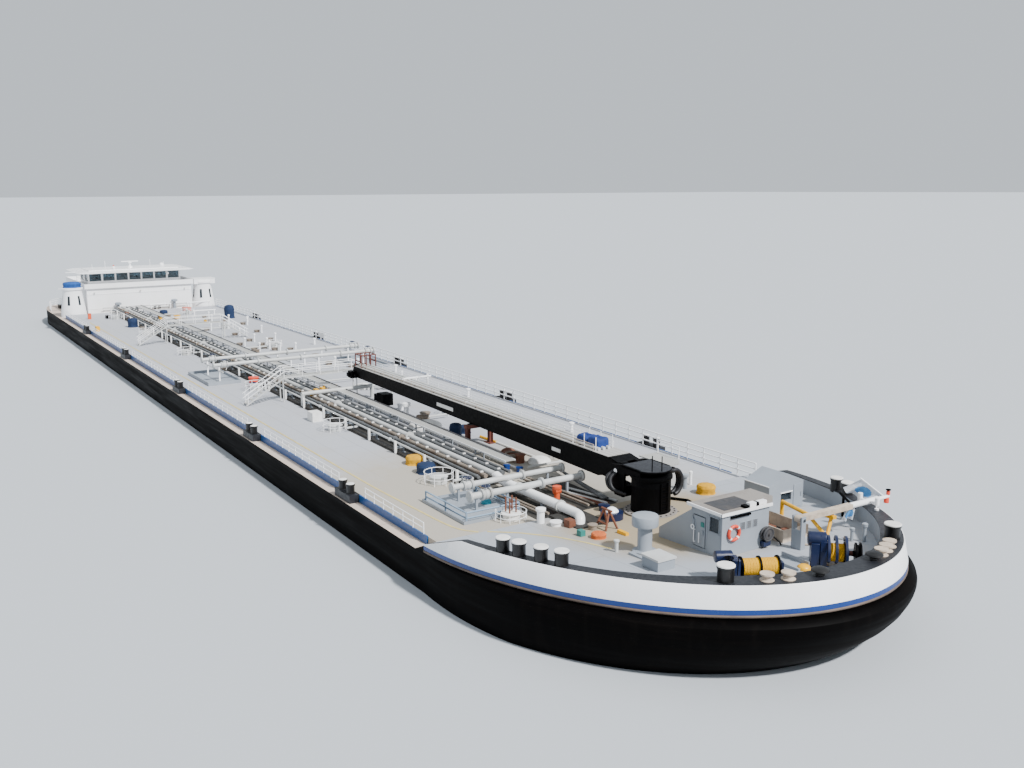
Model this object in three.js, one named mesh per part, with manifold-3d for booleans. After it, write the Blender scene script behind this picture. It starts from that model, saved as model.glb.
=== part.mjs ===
// River tank barge with its own engines, a loading boom and a lifting wheelhouse.
// It is a 1:10 scale model: M turns one metre of the real ship into model millimetres.
// +X points to the bow, +Y to port, +Z up. Z is 0 at the flat bottom, X is 0 at half length.
import * as THREE from 'three';
import { mergeVertices } from 'three/addons/utils/BufferGeometryUtils.js';
import Module from 'manifold-3d';

const wasm = await Module();
wasm.setup();

const M = 100;              // model millimetres for one metre of the ship
const SIMPLIFY = 0.02;      // flat faces are merged within this many millimetres
const GAP = 0.3 / M;        // clearance between touching pieces, in ship metres

// Driving dimensions, in metres of the real ship
const LENGTH = 148.06;      // over the fullest part of the bow
const BEAM = 22.8;
const SIDE_DECK_Z = 6.2;    // side deck above the bottom
const TRUNK_HEIGHT = 0.42;  // raised tank deck above the side deck
const SIDE_DECK_WIDTH = 0.8;
const BILGE_RADIUS = 0.6;
const BOW_START = 56.2;     // where the round bow begins
const STRAKE_RADIUS = 0.07; // half-round rubbing strake under the bow stripe
const STERN_X = -LENGTH / 2;
const BOW_LENGTH = 17.4;    // of the deck edge
const BAND_HEIGHT = 0.95;   // white band round the bow
const STRIPE_HEIGHT = 0.22; // blue stripe under it
const TRUNK_Z = SIDE_DECK_Z + TRUNK_HEIGHT;
const TRUNK_HALF = BEAM / 2 - SIDE_DECK_WIDTH;
const TRUNK_AFT = -54.45;
const DECK_PLATE = 0.05;    // thickness of the foredeck plate
const STARBOARD = -1;
const PORT = 1;

// Paint colours
const BLACK = '#1a1716', WHITE = '#f2f2f2', GREY = '#bfc1c4', HOUSE_GREY = '#9fa6ae';
const BLUE = '#1f5a96', NAVY = '#14244a', YELLOW = '#f2c92b', STRAKE = '#6f625e';
const MARGIN = '#2b2e38', PIPE = '#c9cbc9', STEEL = '#5b5e63', RED = '#e2492f';
const BRONZE = '#a5813c', GLASS = '#20303a', COVER = '#2c6fc0', CRANE = '#0c0c0e';

const group = new THREE.Group();

// Solids

// A closed mesh as a manifold solid, turned face outwards if its volume is negative.
function solid(positions, triangles) {
  const make = (tris) => new wasm.Manifold(new wasm.Mesh({
    numProp: 3, vertProperties: Float32Array.from(positions), triVerts: Uint32Array.from(tris),
  }));
  const first = make(triangles);
  if (first.volume() > 0) return first;
  const turned = [];
  for (let i = 0; i < triangles.length; i += 3) turned.push(triangles[i], triangles[i + 2], triangles[i + 1]);
  return make(turned);
}

// A three.js geometry, given in millimetres, as a solid.
function fromGeometry(geometry) {
  const bare = geometry.clone();
  bare.deleteAttribute('normal');
  bare.deleteAttribute('uv');
  const merged = mergeVertices(bare, 1e-3);
  return solid(merged.attributes.position.array, Array.from(merged.index.array));
}

const join = (...solids) => solids.flat().reduce((whole, piece) => whole.add(piece));

// All shape helpers take ship metres.
function box([x0, x1], [y0, y1], [z0, z1]) {
  const geometry = new THREE.BoxGeometry((x1 - x0) * M, (y1 - y0) * M, (z1 - z0) * M);
  geometry.translate((x0 + x1) / 2 * M, (y0 + y1) / 2 * M, (z0 + z1) / 2 * M);
  return fromGeometry(geometry);
}

// A round bar, or a cone with endRadius, from one point to another.
function bar(from, to, radius, sides = 12, endRadius = radius) {
  const a = new THREE.Vector3(...from), b = new THREE.Vector3(...to);
  const axis = b.clone().sub(a);
  const geometry = new THREE.CylinderGeometry(endRadius * M, radius * M, axis.length() * M, sides);
  geometry.applyQuaternion(new THREE.Quaternion().setFromUnitVectors(
    new THREE.Vector3(0, 1, 0), axis.normalize()));
  const centre = a.add(b).multiplyScalar(M / 2);
  geometry.translate(centre.x, centre.y, centre.z);
  return fromGeometry(geometry);
}

// A turned shape about an upright axis at x, y; the profile is [radius, height] pairs.
function turned(profile, [x, y, z], sides = 20) {
  const points = profile.map(([r, h]) => new THREE.Vector2(r * M, h * M));
  const geometry = new THREE.LatheGeometry(points, sides);
  geometry.rotateX(Math.PI / 2);
  geometry.translate(x * M, y * M, z * M);
  return fromGeometry(geometry);
}

// A flat outline in X and Y, raised from z0 to z1.
function slab(outline, [z0, z1]) {
  const shape = new THREE.Shape(outline.map(([x, y]) => new THREE.Vector2(x * M, y * M)));
  const geometry = new THREE.ExtrudeGeometry(shape, { depth: (z1 - z0) * M, bevelEnabled: false });
  geometry.translate(0, 0, z0 * M);
  return fromGeometry(geometry);
}

// A flat outline in X and Z, as thick as y0 to y1.
function profilePlate(outline, [y0, y1]) {
  const shape = new THREE.Shape(outline.map(([x, z]) => new THREE.Vector2(x * M, z * M)));
  const geometry = new THREE.ExtrudeGeometry(shape, { depth: (y1 - y0) * M, bevelEnabled: false });
  geometry.rotateX(Math.PI / 2);
  geometry.translate(0, y1 * M, 0);
  return fromGeometry(geometry);
}

// A skin through closed rings with equally many points, capped flat at both ends. When the last
// ring is folded onto a line (sharp), the skin closes by itself there.
function loft(rings, sharp = false) {
  const count = rings[0].length;
  const positions = rings.flat(2).map((value) => value * M);
  const triangles = [];
  for (let r = 0; r < rings.length - 1; r += 1) {
    for (let i = 0; i < count; i += 1) {
      const a = r * count + i, b = r * count + (i + 1) % count;
      triangles.push(a, b, b + count, a, b + count, a + count);
    }
  }
  const last = (rings.length - 1) * count;
  for (let i = 1; i < count - 1; i += 1) {
    triangles.push(0, i + 1, i);
    if (!sharp) triangles.push(last, last + i, last + i + 1);
  }
  const geometry = new THREE.BufferGeometry();
  geometry.setAttribute('position', new THREE.Float32BufferAttribute(positions, 3));
  geometry.setIndex(triangles);
  const merged = mergeVertices(geometry, 1e-3);
  const kept = [];
  const index = merged.index.array;
  for (let i = 0; i < index.length; i += 3) {
    const [a, b, c] = [index[i], index[i + 1], index[i + 2]];
    if (a !== b && b !== c && c !== a) kept.push(a, b, c);
  }
  return solid(merged.attributes.position.array, kept);
}

// A run of round pipe through the points, mitred at its bends.
function pipe(points, radius, sides = 8) {
  const path = points.map((p) => new THREE.Vector3(...p));
  const runs = path.slice(1).map((p, i) => p.clone().sub(path[i]).normalize());
  let up = Math.abs(runs[0].z) < 0.9 ? new THREE.Vector3(0, 0, 1) : new THREE.Vector3(1, 0, 0);
  const rings = path.map((centre, i) => {
    const before = runs[Math.max(0, i - 1)], after = runs[Math.min(runs.length - 1, i)];
    const mitre = before.clone().add(after).normalize();
    const side = new THREE.Vector3().crossVectors(before, up).normalize();
    const over = new THREE.Vector3().crossVectors(side, before);
    const ring = Array.from({ length: sides }, (_, k) => {
      const angle = (k + 0.5) * 2 * Math.PI / sides;
      const out = side.clone().multiplyScalar(radius * Math.cos(angle))
        .addScaledVector(over, radius * Math.sin(angle));
      // Slides the ring's point along the incoming run onto the mitre plane.
      out.addScaledVector(before, -out.dot(mitre) / before.dot(mitre));
      return centre.clone().add(out).toArray();
    });
    up = over.clone().sub(after.clone().multiplyScalar(over.dot(after))).normalize();
    return ring;
  });
  return loft(rings);
}

const mirrored = (piece) => piece.mirror([0, 1, 0]);
const onSide = (piece, side) => (side === PORT ? piece : mirrored(piece));

// Puts a finished solid into the scene as a named mesh.
function addPart(name, piece, colour, roughness = 0.5, metalness = 0.1) {
  const mesh = piece.asOriginal().simplify(SIMPLIFY).getMesh();
  const geometry = new THREE.BufferGeometry();
  geometry.setAttribute('position', new THREE.Float32BufferAttribute(mesh.vertProperties, 3));
  geometry.setIndex(Array.from(mesh.triVerts));
  const flat = geometry.toNonIndexed();
  flat.computeVertexNormals();
  const material = new THREE.MeshStandardMaterial({ color: colour, roughness, metalness });
  const part = new THREE.Mesh(flat, material);
  part.name = name;
  group.add(part);
}

// Hull form

// Height of the deck edge: level along the sides, rising round the bow.
const RAMP_START = 55.2;    // the deck edge climbs from the side deck to the bow here
const SHEER_AT_BOW_START = 6.65;
const SHEER_RISE = 0.93;
function sheer(x) {
  if (x <= RAMP_START) return SIDE_DECK_Z;
  if (x <= BOW_START) {
    const t = (x - RAMP_START) / (BOW_START - RAMP_START);
    return SIDE_DECK_Z + t * (SHEER_AT_BOW_START - SIDE_DECK_Z);
  }
  const t = Math.min(1, (x - BOW_START) / BOW_LENGTH);
  return SHEER_AT_BOW_START + SHEER_RISE * t ** 1.1;
}

// Height of the bottom: flat, swept up over the propellers.
const STERN_SWEEP_START = -54;
const TRANSOM_BOTTOM = 3.7;
function bottom(x) {
  if (x >= STERN_SWEEP_START) return 0;
  const s = (STERN_SWEEP_START - x) / (STERN_SWEEP_START - STERN_X);
  return TRANSOM_BOTTOM * s * s * (3 - 2 * s);
}

// Half breadth of the stern in plan, with rounded corners at the transom.
const STERN_ROUND = 9;
const STERN_NARROWING = 2.4;
function sternHalf(x) {
  const t = Math.max(0, (STERN_X + STERN_ROUND - x) / STERN_ROUND);
  return BEAM / 2 - STERN_NARROWING * (1 - Math.sqrt(1 - 0.98 * t * t));
}

// Rings of the hull, from the keel line round the starboard side, over the deck and back.
const BILGE_STEPS = [0, 0.2, 1];           // heights in the bilge, in bilge radii
const SIDE_STEPS = [0.15, 0.35, 0.55, 0.7, 0.83, 0.903, 0.935, 1];  // up the side, bilge to deck edge
function levels(low, high) {
  const bilge = Math.min(BILGE_RADIUS, (high - low) * 0.4);
  return [
    ...BILGE_STEPS.map((s) => ({ z: low + s * bilge, pulled: bilge * (1 - Math.sqrt(1 - (1 - s) ** 2)) })),
    ...SIDE_STEPS.map((s) => ({ z: low + bilge + s * (high - low - bilge), pulled: 0 }))];
}
function ring(points) {
  const [low, high] = [points[0], points[points.length - 1]];
  const starboard = points.map(([x, y, z]) => [x, -y, z]);
  return [[low[0], 0, low[2]], ...starboard, [high[0], 0, high[2]], ...points.slice().reverse()];
}
const section = (x) => ring(levels(bottom(x), sheer(x)).map(({ z, pulled }) => [x, sternHalf(x) - pulled, z]));

// Outward offset of the bow's plan curve; angle runs from 0 at the side to a right angle at the stem.
function bowPoint(angle, side, offset, length = BOW_LENGTH) {
  const x = length * Math.sin(angle), y = BEAM / 2 * Math.cos(angle);
  const nx = x / length ** 2, ny = y / (BEAM / 2) ** 2;
  const scale = offset / Math.hypot(nx, ny);
  return [BOW_START + x + nx * scale, side * (y + ny * scale)];
}

// The bow rakes back below the deck edge and swells out under the stripe.
const BOW_RAKE = 14.4;
const BOW_FULLNESS = 2.3;
const SWELL = 0.58;
const SWELL_SHARES = [0, 0, 0, 0.5, 1, 1, 1, 1, 0.85, 0, 0];   // one for each level
const SWELL_ANGLE = 0.45;   // the swell reaches its full size this far round the bow
function bowRing(angle) {
  const top = sheer(BOW_START + BOW_LENGTH * Math.sin(angle));
  return ring(levels(0, top).map(({ z, pulled }, i) => {
    const swell = SWELL * Math.min(1, angle / SWELL_ANGLE) * SWELL_SHARES[i];
    const [x, y] = bowPoint(angle, PORT, swell - pulled, BOW_LENGTH - BOW_RAKE * (1 - z / top) ** BOW_FULLNESS);
    return [x, Math.max(0, y), z];
  }));
}

const BOW_STEPS = 17;
const bowAngles = Array.from({ length: BOW_STEPS + 1 }, (_, i) => (i / BOW_STEPS) * Math.PI / 2);
const STERN_STATIONS = [STERN_X, -73.4, -72.2, -70.5, -68.6, -66.5, -64.4, -62.2, -60, -57.6, -55.6, -54];
const hullBody = loft([
  ...STERN_STATIONS.map(section), section(0), section(RAMP_START), ...bowAngles.map(bowRing),
], true);

// Running gear under the stern
const SHAFT_Y = 5.6;
const SHAFT_Z = 1.25;
const PROPELLER_X = -66.5;
const PROPELLER_RADIUS = 0.88;
const SHAFT_RADIUS = 0.12;
const BORE_RADIUS = SHAFT_RADIUS + 0.01;
const STERN_TUBE_DEPTH = 3;
const TUBE_MOUTH_X = -61.5;
const RUDDER_X = -68.9;
const RUDDER_SPREAD = 0.68;     // each rudder's distance from the shaft line
const STOCK_RADIUS = 0.1;
const STOCK_TOP = 3.8;
const sternTubes = [STARBOARD, PORT].map((side) => bar(
  [PROPELLER_X, side * SHAFT_Y, SHAFT_Z], [TUBE_MOUTH_X + STERN_TUBE_DEPTH, side * SHAFT_Y, SHAFT_Z],
  BORE_RADIUS, 16));
const rudderSpots = [
  ['rudder_starboard_outer', -SHAFT_Y - RUDDER_SPREAD], ['rudder_starboard_inner', -SHAFT_Y + RUDDER_SPREAD],
  ['rudder_port_inner', SHAFT_Y - RUDDER_SPREAD], ['rudder_port_outer', SHAFT_Y + RUDDER_SPREAD],
];
const stockBores = rudderSpots.map(([, y]) => bar(
  [RUDDER_X, y, 2], [RUDDER_X, y, STOCK_TOP + 0.1], STOCK_RADIUS + 0.01, 12));
addPart('hull', hullBody.subtract(join(sternTubes, stockBores)), BLACK, 0.45);

function blade(angle, side) {
  // Three sections from the hub out; each is a flat lens turned to the blade's pitch.
  const sections = [[0.14, 0.30, 0.10, 62], [0.5, 0.46, 0.06, 38], [PROPELLER_RADIUS, 0.30, 0.03, 26]];
  const rings = sections.map(([radius, chord, thick, pitch]) => {
    const tilt = side * pitch * Math.PI / 180;
    return [[-chord / 2, 0], [0, -thick / 2], [chord / 2, 0], [0, thick / 2]].map(([c, t]) => {
      const along = c * Math.sin(tilt) + t * Math.cos(tilt);
      const across = c * Math.cos(tilt) - t * Math.sin(tilt);
      return [PROPELLER_X + along,
        side * SHAFT_Y + radius * Math.cos(angle) - across * Math.sin(angle),
        SHAFT_Z + radius * Math.sin(angle) + across * Math.cos(angle)];
    });
  });
  return loft(rings);
}

const BLADES = 4;
const NOZZLE_GAP = 0.07;
const NOZZLE_WALL = 0.15;
const NOZZLE_HALF = 0.55;
for (const [word, side] of [['starboard', STARBOARD], ['port', PORT]]) {
  const y = side * SHAFT_Y;
  const blades = Array.from({ length: BLADES }, (_, i) => blade((i + 0.5) * 2 * Math.PI / BLADES, side));
  addPart(`propeller_${word}`, join(
    bar([PROPELLER_X - 0.35, y, SHAFT_Z], [PROPELLER_X + 0.3, y, SHAFT_Z], 0.15, 16, 0.2),
    bar([PROPELLER_X, y, SHAFT_Z], [TUBE_MOUTH_X + STERN_TUBE_DEPTH - 0.2, y, SHAFT_Z], SHAFT_RADIUS, 12),
    blades), BRONZE, 0.3, 0.8);

  const inner = PROPELLER_RADIUS + NOZZLE_GAP, outer = inner + NOZZLE_WALL;
  const ring = bar([PROPELLER_X - NOZZLE_HALF, y, SHAFT_Z], [PROPELLER_X + NOZZLE_HALF, y, SHAFT_Z], outer, 24)
    .subtract(bar([PROPELLER_X - 1, y, SHAFT_Z], [PROPELLER_X + 1, y, SHAFT_Z], inner, 24));
  const headbox = box([PROPELLER_X - 0.4, PROPELLER_X + 0.5], [y - 0.25, y + 0.25], [SHAFT_Z + inner + 0.02, 3.2]);
  const bearing = bar([PROPELLER_X + 0.6, y, SHAFT_Z], [PROPELLER_X + 0.95, y, SHAFT_Z], 0.26, 16);
  const arms = [30, 150, 270].map((degrees) => {
    const a = degrees * Math.PI / 180;
    return bar([PROPELLER_X + 0.78, y + 0.2 * Math.cos(a), SHAFT_Z + 0.2 * Math.sin(a)],
      [PROPELLER_X + 0.48, y + (inner + 0.06) * Math.cos(a), SHAFT_Z + (inner + 0.06) * Math.sin(a)], 0.06, 8);
  });
  const bore = bar([PROPELLER_X + 0.5, y, SHAFT_Z], [PROPELLER_X + 1.1, y, SHAFT_Z], BORE_RADIUS, 16);
  const hullAbove = hullBody.translate([0, 0, -GAP * M]);
  addPart(`nozzle_${word}`, join(ring, headbox, bearing, arms).subtract(bore).subtract(hullAbove), STEEL, 0.5, 0.4);
}

const RUDDER_LOW = 0.35;
const RUDDER_HIGH = 2.75;
for (const [name, y] of rudderSpots) {
  const foil = [[RUDDER_X + 0.4, y], [RUDDER_X + 0.25, y + 0.1], [RUDDER_X, y + 0.13], [RUDDER_X - 1.3, y + 0.02],
    [RUDDER_X - 1.3, y - 0.02], [RUDDER_X, y - 0.13], [RUDDER_X + 0.25, y - 0.1]];
  addPart(name, join(slab(foil, [RUDDER_LOW, RUDDER_HIGH]),
    bar([RUDDER_X, y, RUDDER_HIGH - 0.2], [RUDDER_X, y, STOCK_TOP], STOCK_RADIUS, 12)), STEEL, 0.5, 0.4);
}

// Bow rings: stripe and strake on the hull side, band and margin above the deck edge

// Sweeps a small section, [outward, up] pairs, round the bow from starboard to port.
function bowSweep(profileAt) {
  const ringAt = (angle, side) => profileAt(angle).map(([out, up]) => {
    const [x, y] = bowPoint(angle, side, out);
    return [x, y, sheer(BOW_START + BOW_LENGTH * Math.sin(angle)) + up];
  });
  return loft([
    ...bowAngles.map((angle) => ringAt(angle, STARBOARD)),
    ...bowAngles.slice(0, -1).reverse().map((angle) => ringAt(angle, PORT))]);
}

// The band's aft end is a ramp that rises to full height.
const RAMP_ANGLE = 0.175;
const BAND_THICK = 0.04;
const BAND_LEAN = 0.21;     // the band leans in by this share of its height
const bandRise = (angle) => BAND_HEIGHT * Math.min(1, 0.06 + 0.94 * angle / RAMP_ANGLE);
addPart('bow_stripe', bowSweep(() => [
  [GAP, -STRIPE_HEIGHT], [BAND_THICK, -STRIPE_HEIGHT], [BAND_THICK, -GAP], [GAP, -GAP]]), BLUE, 0.4);
const STRAKE_SIDES = 4;
addPart('rubbing_strake', bowSweep(() => Array.from({ length: STRAKE_SIDES + 1 }, (_, i) => {
  const a = Math.PI / 2 - (i / STRAKE_SIDES) * Math.PI;
  return [GAP + (STRAKE_RADIUS - GAP) * Math.cos(a), -STRIPE_HEIGHT - GAP - STRAKE_RADIUS + STRAKE_RADIUS * Math.sin(a)];
})), STRAKE, 0.6);
addPart('bow_band', bowSweep((angle) => [
  [GAP, 0], [BAND_THICK, 0], [BAND_THICK - BAND_LEAN * bandRise(angle), bandRise(angle)],
  [GAP - BAND_LEAN * bandRise(angle), bandRise(angle)]]), WHITE, 0.35);

// Width of the black margin on top of the band, by angle round the bow.
const MARGIN_WIDTHS = [[0, 0.4], [0.33, 0.75], [0.7, 0.85], [1.05, 1.2], [Math.PI / 2, 1.35]];
function marginWidth(angle) {
  const i = Math.max(1, MARGIN_WIDTHS.findIndex(([a]) => a >= angle - 1e-9));
  const [[a0, w0], [a1, w1]] = [MARGIN_WIDTHS[i - 1], MARGIN_WIDTHS[i]];
  return w0 + (w1 - w0) * (angle - a0) / (a1 - a0);
}

// Bollards and rollers on the margin: angle round the bow in degrees, kind.
const MARGIN_FITTINGS = [
  { side: -1, angle: 19, kind: 'bollard' }, { side: -1, angle: 22.5, kind: 'bollard' },
  { side: -1, angle: 27, kind: 'bollard' }, { side: -1, angle: 31, kind: 'bollard' },
  { side: 1, angle: 27, kind: 'bollard' }, { side: 1, angle: 31, kind: 'bollard' },
  { side: -1, angle: 60, kind: 'big' }, { side: 1, angle: 64, kind: 'big' },
  { side: -1, angle: 68, kind: 'roller' }, { side: -1, angle: 72.5, kind: 'roller' },
  { side: 1, angle: 70.5, kind: 'roller' }, { side: 1, angle: 74, kind: 'roller' },
  { side: 1, angle: 77.5, kind: 'roller' },
  { side: -1, angle: 80, kind: 'chock' }, { side: 1, angle: 81.5, kind: 'chock' },
];
const FITTING_PROFILES = {
  bollard: [[0, -0.1], [0.31, -0.1], [0.31, 0.55], [0.34, 0.6], [0.34, 0.68], [0, 0.68]],
  big: [[0, -0.1], [0.35, -0.1], [0.35, 0.6], [0.38, 0.65], [0.38, 0.73], [0, 0.73]],
  roller: [[0, -0.1], [0.3, -0.1], [0.3, 0.05], [0.2, 0.08], [0.2, 0.24], [0.27, 0.34], [0, 0.34]],
  chock: [[0, -0.1], [0.22, -0.1], [0.2, 0.18], [0.36, 0.22], [0, 0.38]],
};
for (const [word, side] of [['starboard', STARBOARD], ['port', PORT]]) {
  const half = bowSweep((angle) => {
    const top = bandRise(angle), width = marginWidth(angle);
    return [[-width, top], [-GAP - BAND_LEAN * top, top], [-GAP, GAP], [-width, GAP]];
  });
  const fittings = MARGIN_FITTINGS.filter((f) => f.side === side).map((f) => {
    const angle = f.angle * Math.PI / 180;
    const [x, y] = bowPoint(angle, side, -Math.max(0.54, (marginWidth(angle) + BAND_LEAN * BAND_HEIGHT) / 2));
    return turned(FITTING_PROFILES[f.kind], [x, y, sheer(x) + BAND_HEIGHT], 8);
  });
  const keepSide = box([BOW_START - 3, LENGTH / 2 + 1], side === PORT ? [GAP / 2, BEAM] : [-BEAM, -GAP / 2], [0, 12]);
  addPart(`bow_margin_${word}`, join(half, fittings).intersect(keepSide), MARGIN, 0.5);
}

// Foredeck plate inside the margin, following the deck edge's rise.
const foredeckZ = (x) => sheer(x) + DECK_PLATE;
const foredeckEdge = bowAngles
  .map((angle) => bowPoint(angle, PORT, -marginWidth(angle) - GAP))
  .filter(([, y]) => y > 0.3);
function foredeckSolid(lowAt, highAt) {
  return loft(foredeckEdge.map(([x, y]) => [
    [x, -y, lowAt(x)], [x, y, lowAt(x)], [x, y, highAt(x)], [x, -y, highAt(x)]]));
}
const foredeckPlate = foredeckSolid((x) => sheer(x) + GAP, foredeckZ);
const foredeckCut = foredeckSolid(() => 5, (x) => foredeckZ(x) + GAP);
const aboveForedeck = (piece) => piece.subtract(foredeckCut);

const underForedeck = hullBody.translate([0, 0, GAP * M]);
addPart('foredeck', foredeckPlate.subtract(underForedeck), HOUSE_GREY, 0.6);

const VENT = { x: 63.65, y: -3.5 };
addPart('fore_vent', aboveForedeck(join(
  turned([[0, -0.2], [0.58, -0.2], [0.58, 0.08], [0.35, 0.16], [0.35, 1.3], [0.6, 1.42], [0.63, 1.6], [0.5, 1.8], [0, 1.86]],
    [VENT.x, VENT.y, foredeckZ(VENT.x)], 24),
  box([VENT.x + 1.6, VENT.x + 2.7], [VENT.y - 1.5, VENT.y - 0.5], [6.8, foredeckZ(VENT.x) + 0.6]),
  box([VENT.x + 0.1, VENT.x + 2], [VENT.y - 0.9, VENT.y - 0.7], [6.8, foredeckZ(VENT.x) + 0.12]),
  box([VENT.x - 0.1, VENT.x + 0.1], [VENT.y - 0.9, VENT.y - 0.3], [6.8, foredeckZ(VENT.x) + 0.12]),
)), HOUSE_GREY, 0.5);

// A round tub with a coiled rope in it
const ropeTub = (x, y, z) => turned(
  [[0, -0.05], [0.52, -0.05], [0.59, 0.2], [0.59, 0.42], [0.3, 0.6], [0, 0.6]], [x, y, z], 16);
const TUB = { x: 57.7, y: 6.07 };
addPart('rope_tub', aboveForedeck(ropeTub(TUB.x, TUB.y, foredeckZ(TUB.x))), YELLOW, 0.7);

// Tank deck

const TRUNK_FORE = BOW_START - GAP;
const trunkPlate = box([TRUNK_AFT, TRUNK_FORE], [-TRUNK_HALF, TRUNK_HALF], [SIDE_DECK_Z + GAP, TRUNK_Z])
  .subtract(hullBody.translate([0, 0, GAP * M]));
// Tank hatches with their guard rings: x, y.
const HATCHES = [-46, -28, -10, 13, 31, 47].flatMap((x) => [[x, -5.6], [x, 4.2]]);
const hatches = HATCHES.map(([x, y]) => turned(
  [[0, -0.05], [0.52, -0.05], [0.52, 0.42], [0, 0.54]], [x, y, TRUNK_Z], 8));
// Vent posts beside the pipe rack: x, y, height.
const VENT_POSTS = [[-40, 2.5, 1.5], [-22, 2.2, 1.5], [-4, 2.6, 1.5], [15, 5.5, 1.1], [24, 2.4, 1.3], [36, 5.2, 1.1]];
const ventPosts = VENT_POSTS.map(([x, y, h]) => turned(
  [[0, -0.1], [0.09, -0.1], [0.09, h - 0.3], [0.2, h - 0.22], [0, h]], [x, y, TRUNK_Z], 5));
// Pumps under fitted covers: x, y, radius, height.
const COVERED_PUMPS = [[45.0, -5.3, 0.55, 0.95], [-36.3, -5.4, 0.7, 1.2], [-38.3, 7.8, 0.75, 1.9]];
const pumps = COVERED_PUMPS.map(([x, y, r, h]) => turned(
  [[0, -0.03], [r * 0.8, -0.03], [r, 0.15], [r, h * 0.8], [r * 0.7, h], [0, h]], [x, y, TRUNK_Z], 16));
addPart('tank_deck', join(trunkPlate, hatches, ventPosts, pumps, ropeTub(42.4, -4.9, TRUNK_Z)), GREY, 0.6);

// Side coamings with the double bollards on their platforms and the guard rails
const COAMING_THICK = 0.08;
const COAMING_TOP = TRUNK_Z + 0.04;
// Pairs of bollards along each side
const BOLLARDS = { starboard: [-36.6, -14, 8, 28.3, 45.6], port: [-36.6, -14, 8, 28.3, 47.1] };
const PLATFORM_HALF = 1.1;
const RAIL_HEIGHT = 0.6;
const RAIL_RADIUS = 0.035;
const RAIL_BREAK = 1.9;      // rails stop this far from a bollard pair's middle
const POST_STEP = 5.5;
const COAMING_FORE = RAMP_START - 0.1;
const doubleBollard = (x, y) => [-0.55, 0.55].map((dx) => turned(
  [[0, -0.04], [0.25, -0.04], [0.28, 0.6], [0, 0.6]], [x + dx, y, COAMING_TOP], 8));
const railStops = (spots) => [TRUNK_AFT + 0.4, ...spots.flatMap((x) => [x - RAIL_BREAK, x + RAIL_BREAK]), COAMING_FORE - 0.4];

function railRun(x0, x1, y) {
  const posts = Math.max(2, Math.round((x1 - x0) / POST_STEP) + 1);
  const pieces = Array.from({ length: posts }, (_, i) => {
    const x = x0 + (x1 - x0) * i / (posts - 1);
    return box([x - RAIL_RADIUS, x + RAIL_RADIUS], [y - RAIL_RADIUS, y + RAIL_RADIUS], [COAMING_TOP - 0.1, COAMING_TOP + RAIL_HEIGHT]);
  });
  for (const height of [0.5, 1]) {
    const z = COAMING_TOP + RAIL_HEIGHT * height;
    pieces.push(box([x0 - RAIL_RADIUS, x1 + RAIL_RADIUS], [y - RAIL_RADIUS, y + RAIL_RADIUS], [z - 2 * RAIL_RADIUS, z]));
  }
  return pieces;
}

for (const [word, side] of [['starboard', STARBOARD], ['port', PORT]]) {
  const y0 = TRUNK_HALF + GAP, y1 = y0 + COAMING_THICK;
  const wall = box([TRUNK_AFT, COAMING_FORE], [y0, y1], [SIDE_DECK_Z + GAP, COAMING_TOP]);
  const platforms = BOLLARDS[word].map((x) => box([x - PLATFORM_HALF, x + PLATFORM_HALF], [y0, BEAM / 2 - 0.12],
    [SIDE_DECK_Z + GAP, COAMING_TOP]));
  const bollards = BOLLARDS[word].map((x) => doubleBollard(x, y0 + 0.36));
  const rails = [], stops = railStops(BOLLARDS[word]);
  for (let i = 0; i < stops.length; i += 2) rails.push(railRun(stops[i], stops[i + 1], y0 + COAMING_THICK / 2));
  addPart(`side_coaming_${word}`, onSide(join(wall, platforms, bollards.flat(), rails.flat()), side), BLUE, 0.45);
}

// Pipework on the tank deck
const RACK_AFT = -54.2;
const RACK_FORE = 49.2;
const BEARER_STEP = 12.6;
const PIPE_Z = TRUNK_Z + 0.62;
// Long pipes of the rack: y, radius.
const RACK_PIPES = [[-4.05, 0.15], [-3.55, 0.12], [-3.0, 0.19], [-2.4, 0.15], [-1.95, 0.11]];
const bearers = [];
for (let x = RACK_AFT + 1.2; x < RACK_FORE; x += BEARER_STEP) {
  bearers.push(box([x - 0.1, x + 0.1], [-4.35, -1.65], [PIPE_Z - 0.28, PIPE_Z - 0.06]));
  for (const y of [-4.2, -1.8]) bearers.push(box([x - 0.07, x + 0.07], [y - 0.07, y + 0.07], [TRUNK_Z + GAP, PIPE_Z - 0.1]));
}
const rackPipes = RACK_PIPES.map(([y, r]) => bar([RACK_AFT, y, PIPE_Z + 0.02], [RACK_FORE, y, PIPE_Z + 0.02], r, 6));
// Catwalk beside the rack, with a low pipe along its port edge; their bearers are welded together
const WALK_Z = TRUNK_Z + 0.95;
const WALK = { y0: -1.5, y1: -0.75, aft: -53, fore: 48 };
const walkLegs = [];
for (let x = WALK.aft + 0.7; x < WALK.fore; x += BEARER_STEP) {
  walkLegs.push(box([x - 0.06, x + 0.06], [WALK.y0, WALK.y1], [WALK_Z - 0.16, WALK_Z - 0.02]));
  walkLegs.push(box([x - 0.04, x + 0.04], [-2.0, WALK.y0 + 0.1], [PIPE_Z - 0.04, PIPE_Z + 0.04]));
  for (const y of [WALK.y0 + 0.07, WALK.y1 - 0.07]) {
    walkLegs.push(box([x - 0.05, x + 0.05], [y - 0.05, y + 0.05], [TRUNK_Z + GAP, WALK_Z - 0.03]));
  }
}
addPart('pipe_rack', join(bearers, rackPipes,
  box([WALK.aft, WALK.fore], [WALK.y0, WALK.y1], [WALK_Z - 0.06, WALK_Z]), walkLegs,
  box([WALK.aft + 0.4, WALK.fore - 0.4], [WALK.y1 - 0.08, WALK.y1 + 0.04], [WALK_Z - 0.05, WALK_Z + 0.1]),
), PIPE, 0.6, 0.3);

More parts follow.
